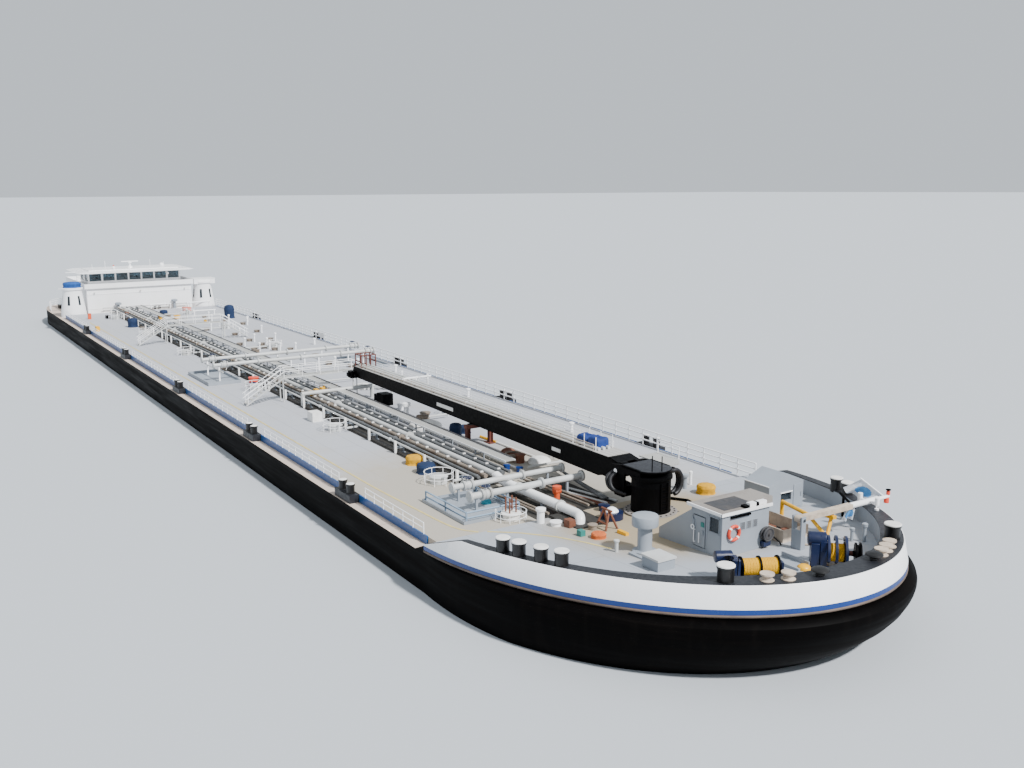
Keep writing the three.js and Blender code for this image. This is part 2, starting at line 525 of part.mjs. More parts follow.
// Stepped bridges that cross the rack from side to side
function crossover(x) {
  const half = 0.45, top = TRUNK_Z + 2.05;
  const path = [[-8.5, TRUNK_Z + 0.06], [-5.2, top], [1.2, top], [4.2, TRUNK_Z + 0.06]];
  const pieces = [];
  for (let i = 1; i < path.length; i += 1) {
    const [[y0, z0], [y1, z1]] = [path[i - 1], path[i]];
    pieces.push(loft([[y0 - 0.02, z0], [y1 + 0.02, z1]].map(([y, z]) => [
      [x - half, y, z - 0.06], [x + half, y, z - 0.06], [x + half, y, z + 0.06], [x - half, y, z + 0.06]])));
    for (const dx of [-half + 0.04, half - 0.04]) {
      pieces.push(pipe([[x + dx, y0, z0 + 0.9], [x + dx, y1, z1 + 0.9]], 0.03, 4));
    }
  }
  for (const [y, z] of [[-8.3, TRUNK_Z + 0.1], [-5.2, top], [-2, top], [1.2, top], [4.0, TRUNK_Z + 0.1]]) {
    for (const dx of [-half + 0.04, half - 0.04]) {
      pieces.push(box([x + dx - 0.03, x + dx + 0.03], [y - 0.03, y + 0.03], [z - 0.05, z + 0.9]));
    }
  }
  for (const y of [-5.3, 1.3]) {
    for (const dx of [-half + 0.06, half - 0.06]) {
      pieces.push(box([x + dx - 0.05, x + dx + 0.05], [y - 0.05, y + 0.05], [TRUNK_Z + GAP, top]));
    }
  }
  const flush = box([x - 2, x + 2], [-12, 12], [0, TRUNK_Z + GAP]);
  return join(pieces).subtract(flush);
}
addPart('crossover_midship', crossover(19), PIPE, 0.6, 0.3);
addPart('crossover_aft', crossover(-19.4), PIPE, 0.6, 0.3);

// Cross pipes to the loading manifolds, with posts, valves and drip trays
function valve(x, y, z, r) {
  return join(
    bar([x, y - 0.22, z], [x, y + 0.22, z], r * 1.7, 8),
    bar([x, y, z], [x, y, z + 0.7], 0.05, 4), bar([x, y, z + 0.68], [x, y, z + 0.75], 0.26, 8));
}
function dripTray(x0, x1, y0, y1) {
  return box([x0, x1], [y0, y1], [TRUNK_Z + GAP, TRUNK_Z + 0.3])
    .subtract(box([x0 + 0.06, x1 - 0.06], [y0 + 0.06, y1 - 0.06], [TRUNK_Z + 0.08, TRUNK_Z + 1]));
}
const MID_Z = TRUNK_Z + 1.55;
const MID_PIPES = [[3.6, 0.17], [7.4, 0.17]];
const midTrays = [dripTray(2.2, 9, -8.6, -5.6), dripTray(2.2, 9, 6.6, 9.4)];
const midPieces = MID_PIPES.flatMap(([x, r]) => [
  bar([x, -7.6, MID_Z], [x, 8.4, MID_Z], r, 8),
  ...[-7.1, -0.2, 2.6, 7.3].map((y) => box([x - 0.07, x + 0.07], [y - 0.07, y + 0.07], [TRUNK_Z + 0.04, MID_Z])),
  valve(x, -6.6, MID_Z, r), valve(x, 7.8, MID_Z, r),
  bar([x, -7.7, MID_Z], [x, -7.55, MID_Z], r * 1.9, 8), bar([x, 8.35, MID_Z], [x, 8.5, MID_Z], r * 1.9, 8),
]);
const midTie = [-7.1, 7.3].map((y) => bar([2.6, y, MID_Z - 0.5], [8.6, y, MID_Z - 0.5], 0.07, 6));
const midDeckCut = box([-5, 15], [-12, 12], [0, TRUNK_Z + GAP]);
addPart('manifold_midship', join(midTrays, midPieces, midTie,
  [-0.2, 2.6].map((y) => bar([3.6, y, MID_Z - 0.4], [7.4, y, MID_Z - 0.4], 0.06, 6)),
).subtract(midDeckCut), PIPE, 0.45, 0.3);

const FORE_Z = TRUNK_Z + 0.75;
const forePieces = [[50.8, 0.16], [53.2, 0.18]].flatMap(([x, r]) => [
  bar([x, -7.2, FORE_Z], [x, 0.1, FORE_Z], r, 8),
  ...[-6.8, -4.6, -0.2].map((y) => box([x - 0.07, x + 0.07], [y - 0.07, y + 0.07], [TRUNK_Z + 0.04, FORE_Z])),
  bar([x, -7.3, FORE_Z], [x, -7.15, FORE_Z], r * 1.9, 8),
  bar([x, 0.05, FORE_Z], [x, 0.2, FORE_Z], r * 1.9, 8),
  bar([x, -6.3, FORE_Z], [x, -5.9, FORE_Z], r * 1.7, 8),
]);
const foreTray = dripTray(49.8, 54.6, -8.2, -0.6);
addPart('manifold_fore', join(foreTray, forePieces,
  bar([49.9, -3.2, FORE_Z - 0.1], [54.9, -3.2, FORE_Z - 0.1], 0.26, 8),
  [50.1, 54.4].map((x) => box([x - 0.1, x + 0.1], [-3.3, -3.1], [TRUNK_Z + 0.04, FORE_Z])),
  pipe([[50.4, -4.15, TRUNK_Z + 0.4], [50.6, -4.1, FORE_Z - 0.2], [51.4, -3.95, FORE_Z - 0.2], [55.7, -3.0, FORE_Z - 0.2]], 0.2, 10),
).subtract(box([40, 56], [-12, 12], [0, TRUNK_Z + GAP])), PIPE, 0.45, 0.3);

// Loading boom

const SLEW = { x: 58.6, y: 1.15 };
const PEDESTAL_TOP = 8.75;
const PEDESTAL_RADIUS = 1.07;
const pedestalFoot = foredeckZ(SLEW.x) + 0.03;
addPart('crane_pedestal', join(
  turned([[0, 0], [1.45, 0], [1.45, 0.08], [1.12, 0.3], [PEDESTAL_RADIUS, 0.5], [PEDESTAL_RADIUS, PEDESTAL_TOP - pedestalFoot],
    [0, PEDESTAL_TOP - pedestalFoot]], [SLEW.x, SLEW.y, pedestalFoot], 24),
  box([SLEW.x - 1.2, SLEW.x + 1.2], [SLEW.y - 1.2, SLEW.y + 1.2], [foredeckZ(SLEW.x) - 0.2, pedestalFoot + 0.02]),
).subtract(foredeckCut), CRANE, 0.3);

const LUFF = { x: 56.9, z: 8.85 };           // boom heel pin
const FOOT = { x: 57.2, z: 7.8 };            // luffing cylinder's lower pin
const EYE = { x: 52.4, z: 8.13 };            // pin at the rod's eye
const BOOM_HALF = 0.75;
const CHEEK_IN = BOOM_HALF + 0.2;
const CHEEK_OUT = CHEEK_IN + 0.12;
const PIN = 0.14;
const PIN_PLAY = 0.008;
const DISC_BASE = PEDESTAL_TOP + GAP;
const DISC_TOP = 8.94;
const HEAD_TOP = 9.3;
const cheekOutline = [[58.9, HEAD_TOP], [57.3, HEAD_TOP], [56.5, 9.15], [56.4, 8.6], [56.8, 7.5], [57.55, 7.5],
  [57.65, DISC_TOP - 0.1], [58.9, DISC_TOP - 0.1]];
const cheeks = [-1, 1].map((s) => profilePlate(cheekOutline,
  s > 0 ? [SLEW.y + CHEEK_IN, SLEW.y + CHEEK_OUT] : [SLEW.y - CHEEK_OUT, SLEW.y - CHEEK_IN]));
const footBlocks = [-1, 1].map((s) => profilePlate(
  [[56.9, 7.5], [57.5, 7.5], [57.5, 8.05], [56.9, 8.05]],
  s > 0 ? [SLEW.y + 0.3, SLEW.y + CHEEK_IN + 0.05] : [SLEW.y - CHEEK_IN - 0.05, SLEW.y - 0.3]));
// Hose loops on the port side of the head
const hoseLoop = (x) => pipe([[x, SLEW.y + 1.0, 9.1], ...Array.from({ length: 10 }, (_, i) => {
  const a = Math.PI * (0.6 - i / 9 * 1.1);
  return [x, SLEW.y + 1.55 + 0.5 * Math.cos(a), 8.25 + 0.68 * Math.sin(a)];
})], 0.12, 8);
// Rounded plate over the disc, and a small service platform to port of the boom's heel
const headPlate = slab([[57.35, -1.07], [58.9, -1.07], [59.45, -0.7], [59.7, 0], [59.45, 0.7], [58.9, 1.07], [57.35, 1.07]]
  .map(([x, y]) => [x, y + SLEW.y]), [HEAD_TOP - 0.1, HEAD_TOP]);
const platform = slab([[56.4, 2.1], [58.9, 2.1], [58.9, 2.9], [58.2, 3.5], [56.4, 3.5]], [HEAD_TOP - 0.06, HEAD_TOP]);
addPart('slew_head', join(hoseLoop(58.45), hoseLoop(58.75), headPlate, platform,
  turned([[0, 0], [1.15, 0], [1.15, DISC_TOP - DISC_BASE], [0, DISC_TOP - DISC_BASE]], [SLEW.x, SLEW.y, DISC_BASE], 24),
  box([57.8, 58.9], [SLEW.y - 0.6, SLEW.y + 0.6], [DISC_TOP - 0.1, HEAD_TOP - 0.05]),
  cheeks, footBlocks,
  bar([LUFF.x, SLEW.y - CHEEK_OUT - 0.04, LUFF.z], [LUFF.x, SLEW.y + CHEEK_OUT + 0.04, LUFF.z], PIN, 16),
  bar([FOOT.x, SLEW.y - 0.5, FOOT.z], [FOOT.x, SLEW.y + 0.5, FOOT.z], 0.1, 16),
), '#23262c', 0.35);

// Boom girder: a box that tapers to the tip, on a round heel.
const BOOM_TIP_X = 20.9;
const BOOM_TOP = 9.35;
const HEEL_RADIUS = 0.42;
const BOOM_DEEP = 1.3;
const BOOM_SHALLOW = 0.9;
const BOOM_FULL_X = 54.9;      // the girder is at full depth from here
const boomSide = [[BOOM_TIP_X, BOOM_TOP], [LUFF.x - 0.9, BOOM_TOP], [LUFF.x, LUFF.z + HEEL_RADIUS],
  [LUFF.x, LUFF.z - HEEL_RADIUS], [BOOM_FULL_X, BOOM_TOP - BOOM_DEEP], [BOOM_TIP_X, BOOM_TOP - BOOM_SHALLOW]];
const boomHole = bar([LUFF.x, -3, LUFF.z], [LUFF.x, 5, LUFF.z], PIN + PIN_PLAY, 16);
const boomHeel = bar([LUFF.x, SLEW.y - BOOM_HALF, LUFF.z], [LUFF.x, SLEW.y + BOOM_HALF, LUFF.z], HEEL_RADIUS, 24);
const eyeLugs = [-1, 1].map((s) => profilePlate(
  [[EYE.x - 0.35, EYE.z + 0.57 - GAP], [EYE.x - 0.2, EYE.z - 0.2], [EYE.x + 0.2, EYE.z - 0.2],
    [EYE.x + 0.3, EYE.z + 0.57 - GAP]],
  s > 0 ? [SLEW.y + 0.16, SLEW.y + 0.26] : [SLEW.y - 0.26, SLEW.y - 0.16]));
// The cylinder swings inside this slot in the girder's underside, from the eye back to the heel.
const eyePocket = profilePlate([[EYE.x - 1.1, 7.75], [EYE.x - 0.75, 8.7], [EYE.x + 0.7, 8.7], [EYE.x + 1.2, 8.47],
  [57.6, 8.78], [57.6, 7.75]], [SLEW.y - 0.3, SLEW.y + 0.3]);
const boomTopPipes = [-0.45, -0.1, 0.25].map((dy) => bar(
  [BOOM_TIP_X + 0.6, SLEW.y + dy, BOOM_TOP + 0.1], [54.6, SLEW.y + dy, BOOM_TOP + 0.1], 0.12, 8));
const boomRail = [];
for (let x = BOOM_TIP_X + 1; x < 54.5; x += 3.3) {
  boomRail.push(bar([x, SLEW.y - BOOM_HALF + 0.06, BOOM_TOP - 0.05], [x, SLEW.y - BOOM_HALF + 0.06, BOOM_TOP + 0.4], 0.03, 4));
}
boomRail.push(bar([BOOM_TIP_X + 0.9, SLEW.y - BOOM_HALF + 0.06, BOOM_TOP + 0.38], [54.2, SLEW.y - BOOM_HALF + 0.06, BOOM_TOP + 0.38], 0.03, 4));
const tipBlock = join(
  box([BOOM_TIP_X - 0.5, BOOM_TIP_X + 0.2], [SLEW.y - 0.55, SLEW.y + 0.55], [BOOM_TOP - BOOM_SHALLOW, BOOM_TOP + 0.05]),
  bar([BOOM_TIP_X - 0.9, SLEW.y, BOOM_TOP - 0.5], [BOOM_TIP_X - 0.4, SLEW.y, BOOM_TOP - 0.5], 0.3, 14));
const boomBody = profilePlate(boomSide, [SLEW.y - BOOM_HALF, SLEW.y + BOOM_HALF]);
addPart('boom', join(boomBody, boomHeel).subtract(eyePocket).add(join(boomTopPipes, boomRail, tipBlock))
  .subtract(boomHole), CRANE, 0.3);
// Bracket for the cylinder's eye, bolted up into the slot
addPart('boom_eye', join(eyeLugs,
  box([EYE.x - 0.35, EYE.x + 0.3], [SLEW.y - 0.26, SLEW.y + 0.26], [EYE.z + 0.49, EYE.z + 0.57 - GAP]),
  bar([EYE.x, SLEW.y - 0.2, EYE.z], [EYE.x, SLEW.y + 0.2, EYE.z], 0.07, 12)), CRANE, 0.3);

// Luffing cylinder: barrel on the slew head, rod to the boom. The rod's eye has play round its pin.
const reach = Math.hypot(EYE.x - FOOT.x, EYE.z - FOOT.z);
const along = (s) => [FOOT.x + (EYE.x - FOOT.x) * s / reach, SLEW.y, FOOT.z + (EYE.z - FOOT.z) * s / reach];
const BARREL_LENGTH = 3.3;
const barrel = join(bar(along(0.25), along(BARREL_LENGTH), 0.17, 18),
  bar([FOOT.x, SLEW.y - 0.24, FOOT.z], [FOOT.x, SLEW.y + 0.24, FOOT.z], 0.26, 18))
  .subtract(bar([FOOT.x, SLEW.y - 1, FOOT.z], [FOOT.x, SLEW.y + 1, FOOT.z], 0.1 + PIN_PLAY, 16))
  .subtract(bar(along(0.5), along(BARREL_LENGTH + 1), 0.1 + PIN_PLAY, 16));
addPart('luff_cylinder', barrel, STEEL, 0.3, 0.4);
const rod = join(bar(along(0.6), along(reach - 0.26), 0.1, 14),
  bar([EYE.x, SLEW.y - 0.09, EYE.z], [EYE.x, SLEW.y + 0.09, EYE.z], 0.34, 20))
  .subtract(bar([EYE.x, SLEW.y - 1, EYE.z], [EYE.x, SLEW.y + 1, EYE.z], 0.24, 20));
addPart('luff_rod', rod, '#b8bcc0', 0.15, 0.9);

// Boom rest on the tank deck
const REST_X = 40.4;
const boomBottom = (x) => BOOM_TOP - BOOM_SHALLOW - (BOOM_DEEP - BOOM_SHALLOW) * (x - BOOM_TIP_X) / (BOOM_FULL_X - BOOM_TIP_X);
const REST_TOP = boomBottom(REST_X + 0.3) - 0.05;
addPart('boom_rest', join(
  [0.25, 2.05].map((y) => box([REST_X - 0.15, REST_X + 0.15], [y - 0.15, y + 0.15], [TRUNK_Z + GAP, REST_TOP - 0.1])),
  box([REST_X - 0.2, REST_X + 0.2], [0.05, 2.25], [REST_TOP - 0.3, REST_TOP]),
  [0.25, 2.05].map((y) => box([REST_X - 0.4, REST_X + 0.4], [y - 0.3, y + 0.3], [TRUNK_Z + GAP, TRUNK_Z + 0.06])),
), '#5a2a22', 0.6);

// Foredeck houses

// A hollow box with open bottom; openings are boxes cut through its walls.
function shell([x0, x1], [y0, y1], [z0, z1], wall, openings) {
  const cuts = [box([x0 + wall, x1 - wall], [y0 + wall, y1 - wall], [z0 - 1, z1 - wall]), ...openings];
  return cuts.reduce((body, cut) => body.subtract(cut), box([x0, x1], [y0, y1], [z0, z1]));
}

const FORE_HOUSE = { x0: 64.6, x1: 66.65, y0: -1.45, y1: 1.57, top: 9.25 };
const FORE_DOOR = { x0: 64.75, x1: 65.6, z1: 8.9 };
const foreBase = foredeckZ(FORE_HOUSE.x0) + 0.12;
const foreHouseWalls = shell([FORE_HOUSE.x0, FORE_HOUSE.x1], [FORE_HOUSE.y0, FORE_HOUSE.y1], [6.9, FORE_HOUSE.top], 0.1, [
  box([FORE_DOOR.x0, FORE_DOOR.x1], [FORE_HOUSE.y0 - 0.3, FORE_HOUSE.y0 + 0.3], [foreBase + 0.1, FORE_DOOR.z1]),
  box([65.85, 66.45], [FORE_HOUSE.y0 - 0.3, FORE_HOUSE.y0 + 0.3], [8.35, 9.05]),
]);
// The sloping casing over the companionway is welded to the house's aft wall.
const companion = profilePlate([[62.3, 6.7], [64.65, 6.7], [64.65, 9.1], [62.3, 7.5]], [FORE_HOUSE.y0, FORE_HOUSE.y1]);
addPart('fore_house', aboveForedeck(join(foreHouseWalls, companion)), HOUSE_GREY, 0.5);
addPart('fore_house_roof', slab([[64.4, -1.55], [66.72, -1.55], [66.72, 1.7], [65.9, 2.6], [64.4, 2.6]], [FORE_HOUSE.top + GAP, FORE_HOUSE.top + 0.1]),
  '#8c8680', 0.8);
const HINGE_RADIUS = 0.04;
// A door in an opening from 0 to width, hung on a hinge bar over the opening's near edge.
// Outwards is -Y; it is turned and moved onto its wall afterwards.
function door(width, z0, z1) {
  return join(
    box([0.05, width - 0.05], [-0.02, 0.05], [z0 + 0.05, z1 - 0.05]),
    box([0, 0.12], [-0.06, -0.01], [z0 + 0.25, z1 - 0.25]),
    bar([0, -HINGE_RADIUS - 0.005, z0 + 0.15], [0, -HINGE_RADIUS - 0.005, z1 - 0.15], HINGE_RADIUS, 8),
    box([width - 0.22, width - 0.12], [-0.1, 0.02], [(z0 + z1) / 2 - 0.1, (z0 + z1) / 2 + 0.1]));
}
addPart('fore_house_door', door(FORE_DOOR.x1 - FORE_DOOR.x0, foreBase + 0.1, FORE_DOOR.z1)
  .translate([FORE_DOOR.x0 * M, FORE_HOUSE.y0 * M, 0]), HOUSE_GREY, 0.5);

// Peaked house to port
const PEAK = { x0: 61.2, x1: 63.0, y0: 5.5, y1: 8.1, eave: 8.55, ridge: 9.1 };
const gable = [[PEAK.y0, 6.7], [PEAK.y1, 6.7], [PEAK.y1, PEAK.eave], [(PEAK.y0 + PEAK.y1) / 2, PEAK.ridge], [PEAK.y0, PEAK.eave]];
addPart('stores_house', aboveForedeck(loft([PEAK.x0, PEAK.x1].map((x) => gable.map(([y, z]) => [x, y, z])))
  .subtract(box([PEAK.x1 - 0.12, PEAK.x1 + 0.3], [6.4, 7.2], [7.6, 8.05]))), HOUSE_GREY, 0.5);

// Winches on the foredeck: frame and drum are separate, the drum turns on its shaft.
// Each is made with its shaft along Y through the origin, then turned and set on the deck.
const discAt = (y0, y1, r) => bar([0, y0, 0], [0, y1, 0], r, 16);
const winchPlace = (piece, { x, y, z, turn }) => piece.rotate([0, 0, -turn]).translate([x * M, y * M, z * M]);

const MOOR = { x: 69.4, y: -2.3, z: foredeckZ(69.4) + 0.55, turn: 27.3 };
addPart('mooring_winch_frame', aboveForedeck(winchPlace(join(
  box([-0.42, 0.42], [-1.4, -0.62], [-0.8, 0.42]),
  box([-0.16, 0.16], [1.24, 1.36], [-0.8, 0.18]),
  box([-0.45, 0.45], [-1.4, 1.36], [-0.8, -0.48]),
  bar([0, -0.9, 0], [0, 1.3, 0], 0.08, 12)), MOOR)), NAVY, 0.4);
addPart('mooring_winch_drum', winchPlace(join(
  discAt(-0.56, -0.48, 0.46), discAt(-0.5, 1.1, 0.33), discAt(0.24, 0.34, 0.46), discAt(1.08, 1.16, 0.46),
).subtract(bar([0, -3, 0], [0, 3, 0], 0.08 + PIN_PLAY, 12)), MOOR), YELLOW, 0.5);

const ANCHOR = { x: 70.5, y: 1.9, z: foredeckZ(70.5) + 0.6, turn: 45 };
addPart('anchor_winch_frame', aboveForedeck(winchPlace(join(
  box([-0.5, 0.5], [-1.2, -0.5], [-0.9, 0.6]),
  box([-0.18, 0.18], [0.36, 0.46], [-0.9, 0.2]),
  box([-0.5, 0.5], [-1.2, 0.46], [-0.9, -0.52]),
  bar([0, -0.9, 0], [0, 0.8, 0], 0.09, 12),
  bar([0, 0.7, 0], [0, 0.98, 0], 0.5, 20)), ANCHOR)), NAVY, 0.4);
addPart('anchor_winch_drum', winchPlace(join(
  discAt(-0.44, -0.36, 0.5), discAt(-0.4, 0.25, 0.36), discAt(0.2, 0.3, 0.5),
).subtract(bar([0, -3, 0], [0, 3, 0], 0.09 + PIN_PLAY, 12)), ANCHOR), NAVY, 0.5);

// Fore mast, folded down to port on a crutch
const MAST = { x: 67.78, y: 2.4, z: 8.75, tip: 8.9 };
const MAST_PIN = 0.08;
const CRUTCH_Y = 4.6;
addPart('mast_foot', aboveForedeck(join(
  [-1, 1].map((s) => box(s > 0 ? [MAST.x + 0.2, MAST.x + 0.3] : [MAST.x - 0.3, MAST.x - 0.2], [MAST.y - 0.35, MAST.y + 0.15], [6.9, MAST.z + 0.22])),
  box([MAST.x - 0.3, MAST.x + 0.3], [MAST.y - 0.35, MAST.y - 0.2], [6.9, MAST.z - 0.35]),
  bar([MAST.x - 0.33, MAST.y, MAST.z], [MAST.x + 0.33, MAST.y, MAST.z], MAST_PIN, 12),
  box([MAST.x - 0.08, MAST.x + 0.08], [MAST.y - 0.3, CRUTCH_Y + 0.3], [6.9, 7.42]),
  [[-0.45, -0.35], [0.45, -0.35], [0, 0.5]].map(([dx, dy]) => bar([MAST.x + dx, CRUTCH_Y + dy, 6.95],
    [MAST.x + dx * 0.2, CRUTCH_Y + dy * 0.15, MAST.z - 0.3], 0.07, 8)),
  box([MAST.x - 0.45, MAST.x + 0.45], [CRUTCH_Y - 0.4, CRUTCH_Y - 0.3], [6.9, 7.42]),
  box([MAST.x - 0.25, MAST.x + 0.25], [CRUTCH_Y - 0.12, CRUTCH_Y + 0.12], [MAST.z - 0.36, MAST.z - 0.2]),
)), HOUSE_GREY, 0.5);
addPart('fore_mast', join(
  bar([MAST.x, MAST.y - 0.1, MAST.z], [MAST.x, MAST.tip - 2.2, MAST.z], 0.15, 12),
  bar([MAST.x, MAST.tip - 2.3, MAST.z], [MAST.x, MAST.tip, MAST.z], 0.09, 10),
  box([MAST.x - 0.6, MAST.x + 0.6], [MAST.tip - 1.6, MAST.tip - 1.5], [MAST.z - 0.05, MAST.z + 0.05]),
  [-0.55, 0.55].map((dx) => bar([MAST.x + dx, MAST.tip - 1.75, MAST.z], [MAST.x + dx, MAST.tip - 1.35, MAST.z], 0.12, 10)),
  bar([MAST.x, MAST.tip - 0.35, MAST.z], [MAST.x, MAST.tip, MAST.z], 0.15, 10),
).subtract(bar([MAST.x - 1, MAST.y, MAST.z], [MAST.x + 1, MAST.y, MAST.z], MAST_PIN + PIN_PLAY, 12)), WHITE, 0.4);

// Life ring on the fore house
const ringGeometry = new THREE.TorusGeometry(0.33 * M, 0.08 * M, 6, 16);
ringGeometry.rotateY(Math.PI / 2);
ringGeometry.translate((FORE_HOUSE.x1 + 0.08 * Math.cos(Math.PI / 6) + GAP) * M, -0.75 * M, 8.35 * M);
addPart('life_ring', fromGeometry(ringGeometry), RED, 0.5);

// Aft house

const HOUSE = { x0: -71.0, x1: -55.6, half: 7.4, top: 9.95 };
const WALL = 0.12;
const houseDoorX = [-63.2, -62.2];
const houseDoorZ = [SIDE_DECK_Z + 0.25, 8.4];
const WELL = { x0: -66.2, x1: -57.6, half: 6.9 };
const doorCuts = [-1, 1].map((s) => box(houseDoorX, s > 0 ? [HOUSE.half - 0.4, HOUSE.half + 0.4] : [-HOUSE.half - 0.4, -HOUSE.half + 0.4], houseDoorZ));
const sideWindows = [-60.2, -65.6, -68.4].flatMap((x) => [-1, 1].map((s) => box([x - 0.5, x + 0.5],
  s > 0 ? [HOUSE.half - 0.4, HOUSE.half + 0.4] : [-HOUSE.half - 0.4, -HOUSE.half + 0.4], [7.5, 8.4])));
addPart('house_walls', shell([HOUSE.x0, HOUSE.x1], [-HOUSE.half, HOUSE.half], [SIDE_DECK_Z + GAP, HOUSE.top + WALL], WALL,
  [...doorCuts, ...sideWindows, box([HOUSE.x0 + WALL, HOUSE.x1 - WALL], [-HOUSE.half + WALL, HOUSE.half - WALL], [9, 12])]), WHITE, 0.4);
const PARAPET = 0.58;
const roofPlate = box([HOUSE.x0 - 0.3, HOUSE.x1 + 0.3], [-HOUSE.half - 0.3, HOUSE.half + 0.3], [HOUSE.top + WALL + GAP, HOUSE.top + WALL + 0.1 + PARAPET])
  .subtract(box([HOUSE.x0 - 0.2, HOUSE.x1 + 0.2], [-HOUSE.half - 0.2, HOUSE.half + 0.2], [HOUSE.top + WALL + 0.1, 12]))
  .subtract(box([WELL.x0, WELL.x1], [-WELL.half, WELL.half], [9, 12]));
addPart('house_roof', roofPlate, WHITE, 0.4);
for (const [word, side] of [['starboard', STARBOARD], ['port', PORT]]) {
  const y = HOUSE.half;
  addPart(`house_door_${word}`, onSide(mirrored(door(houseDoorX[1] - houseDoorX[0], ...houseDoorZ))
    .translate([houseDoorX[0] * M, y * M, 0]), side), WHITE, 0.4);
}

// Corner towers beside the house front; the starboard one wears a fitted cover, the port one a boxy cap
const TOWER_PROFILE = [[0, GAP], [1.7, GAP], [1.6, 1.2], [1.3, 3.6], [1.3, 3.8], [1.45, 3.9]];
const TOWER = { x: -56.2, y: 9.25 };
const towerBody = (side, top) => turned([...TOWER_PROFILE, ...top], [TOWER.x, side * TOWER.y, SIDE_DECK_Z], 20);
addPart('tower_starboard', towerBody(STARBOARD, [[1.45, 4.15], [1.2, 4.15], [1.3, 4.5], [1.0, 4.85], [0, 5.0]]), WHITE, 0.4);
addPart('tower_port', join(towerBody(PORT, [[1.45, 4.2], [0, 4.2]]),
  box([TOWER.x - 1.1, TOWER.x + 1.1], [TOWER.y - 1.5, TOWER.y + 1.65], [SIDE_DECK_Z + 3.8, SIDE_DECK_Z + 4.6])), WHITE, 0.4);

// Lifting wheelhouse
const WHEEL = { x0: -64.9, x1: -58.5, half: 6.6, floor: 9.45, sill: 10.85, head: 11.95, top: 12.1 };
const WHEEL_DOOR = { y: [-0.45, 0.45], z0: 9.62, z1: 11.9 };
const frontPanes = [-5.6, -3.7, -1.85, 0, 1.85, 3.7, 5.6];
const windowCuts = [
  ...frontPanes.map((y) => box([WHEEL.x1 - 0.4, WHEEL.x1 + 0.4], [y - 0.82, y + 0.82], [WHEEL.sill, WHEEL.head])),
  ...frontPanes.filter((y) => y !== 0).map((y) => box([WHEEL.x0 - 0.4, WHEEL.x0 + 0.4], [y - 0.82, y + 0.82],
    [WHEEL.sill, WHEEL.head])),
  box([WHEEL.x0 - 0.4, WHEEL.x0 + 0.4], WHEEL_DOOR.y, [WHEEL_DOOR.z0, WHEEL_DOOR.z1]),
  ...[-60, -63].flatMap((x) => [-1, 1].map((s) => box([x - 1.2, x + 1.2],
    s > 0 ? [WHEEL.half - 0.4, WHEEL.half + 0.4] : [-WHEEL.half - 0.4, -WHEEL.half + 0.4], [WHEEL.sill, WHEEL.head]))),
];
const wheelWalls = windowCuts.reduce((body, cut) => body.subtract(cut),
  box([WHEEL.x0, WHEEL.x1], [-WHEEL.half, WHEEL.half], [WHEEL.floor, WHEEL.top])
    .subtract(box([WHEEL.x0 + WALL, WHEEL.x1 - WALL], [-WHEEL.half + WALL, WHEEL.half - WALL], [WHEEL.floor + WALL, 13])));
const LIFT_X = (WHEEL.x0 + WHEEL.x1) / 2;
const liftRam = box([LIFT_X - 0.6, LIFT_X + 0.6], [-0.6, 0.6], [6.5, WHEEL.floor + 0.05]);
addPart('wheelhouse_walls', join(wheelWalls, liftRam), WHITE, 0.4);
const PANE = 0.03;
addPart('wheelhouse_glass', box([WHEEL.x0 + WALL + GAP, WHEEL.x1 - WALL - GAP], [-WHEEL.half + WALL + GAP, WHEEL.half - WALL - GAP],
  [WHEEL.sill - 0.1, WHEEL.head + 0.08])
  .subtract(box([WHEEL.x0 + WALL + PANE, WHEEL.x1 - WALL - PANE], [-WHEEL.half + WALL + PANE, WHEEL.half - WALL - PANE], [9, 13])), GLASS, 0.1);
const RADAR = { x: -61.5, y: 0 };
// The roof's ends taper to an edge; a thin bar stands out beyond the starboard one
const ROOF = { x0: -66.6, x1: -56.9, tip: 8.3, low: 7.6, high: 7.3 };
const roofRing = (x) => [[x, -ROOF.low, WHEEL.top + GAP], [x, ROOF.low, WHEEL.top + GAP], [x, ROOF.tip, WHEEL.top + 0.1],
  [x, ROOF.high, WHEEL.top + 0.24], [x, -ROOF.high, WHEEL.top + 0.24], [x, -ROOF.tip, WHEEL.top + 0.1]];
addPart('wheelhouse_roof', join(
  turned([[0, -0.05], [0.4, -0.05], [0.3, 0.2], [0.14, 0.3], [0.14, 0.65], [0.28, 0.7], [0.28, 0.8], [0, 0.8]],
    [RADAR.x, RADAR.y, WHEEL.top + 0.36], 14),
  loft([ROOF.x0, ROOF.x1].map(roofRing)),
  box([-60.2, -59.8], [-9.4, -8.0], [WHEEL.top + 0.07, WHEEL.top + 0.15]),
  box([-65, -58.6], [-6.4, 6.4], [WHEEL.top + 0.2, WHEEL.top + 0.36])), WHITE, 0.35);
addPart('wheelhouse_door', door(WHEEL_DOOR.y[1] - WHEEL_DOOR.y[0], WHEEL_DOOR.z0, WHEEL_DOOR.z1)
  .rotate([0, 0, -90]).translate([WHEEL.x0 * M, WHEEL_DOOR.y[1] * M, 0]), WHITE, 0.4);
const SLEEVE_WALL = 0.12;
const SLEEVE_IN = 0.607;
addPart('lift_sleeve', box([LIFT_X - SLEEVE_IN - SLEEVE_WALL, LIFT_X + SLEEVE_IN + SLEEVE_WALL], [-SLEEVE_IN - SLEEVE_WALL, SLEEVE_IN + SLEEVE_WALL], [SIDE_DECK_Z + GAP, 9.25])
  .subtract(box([LIFT_X - SLEEVE_IN, LIFT_X + SLEEVE_IN], [-SLEEVE_IN, SLEEVE_IN], [SIDE_DECK_Z + 0.2, 10])), STEEL, 0.4);

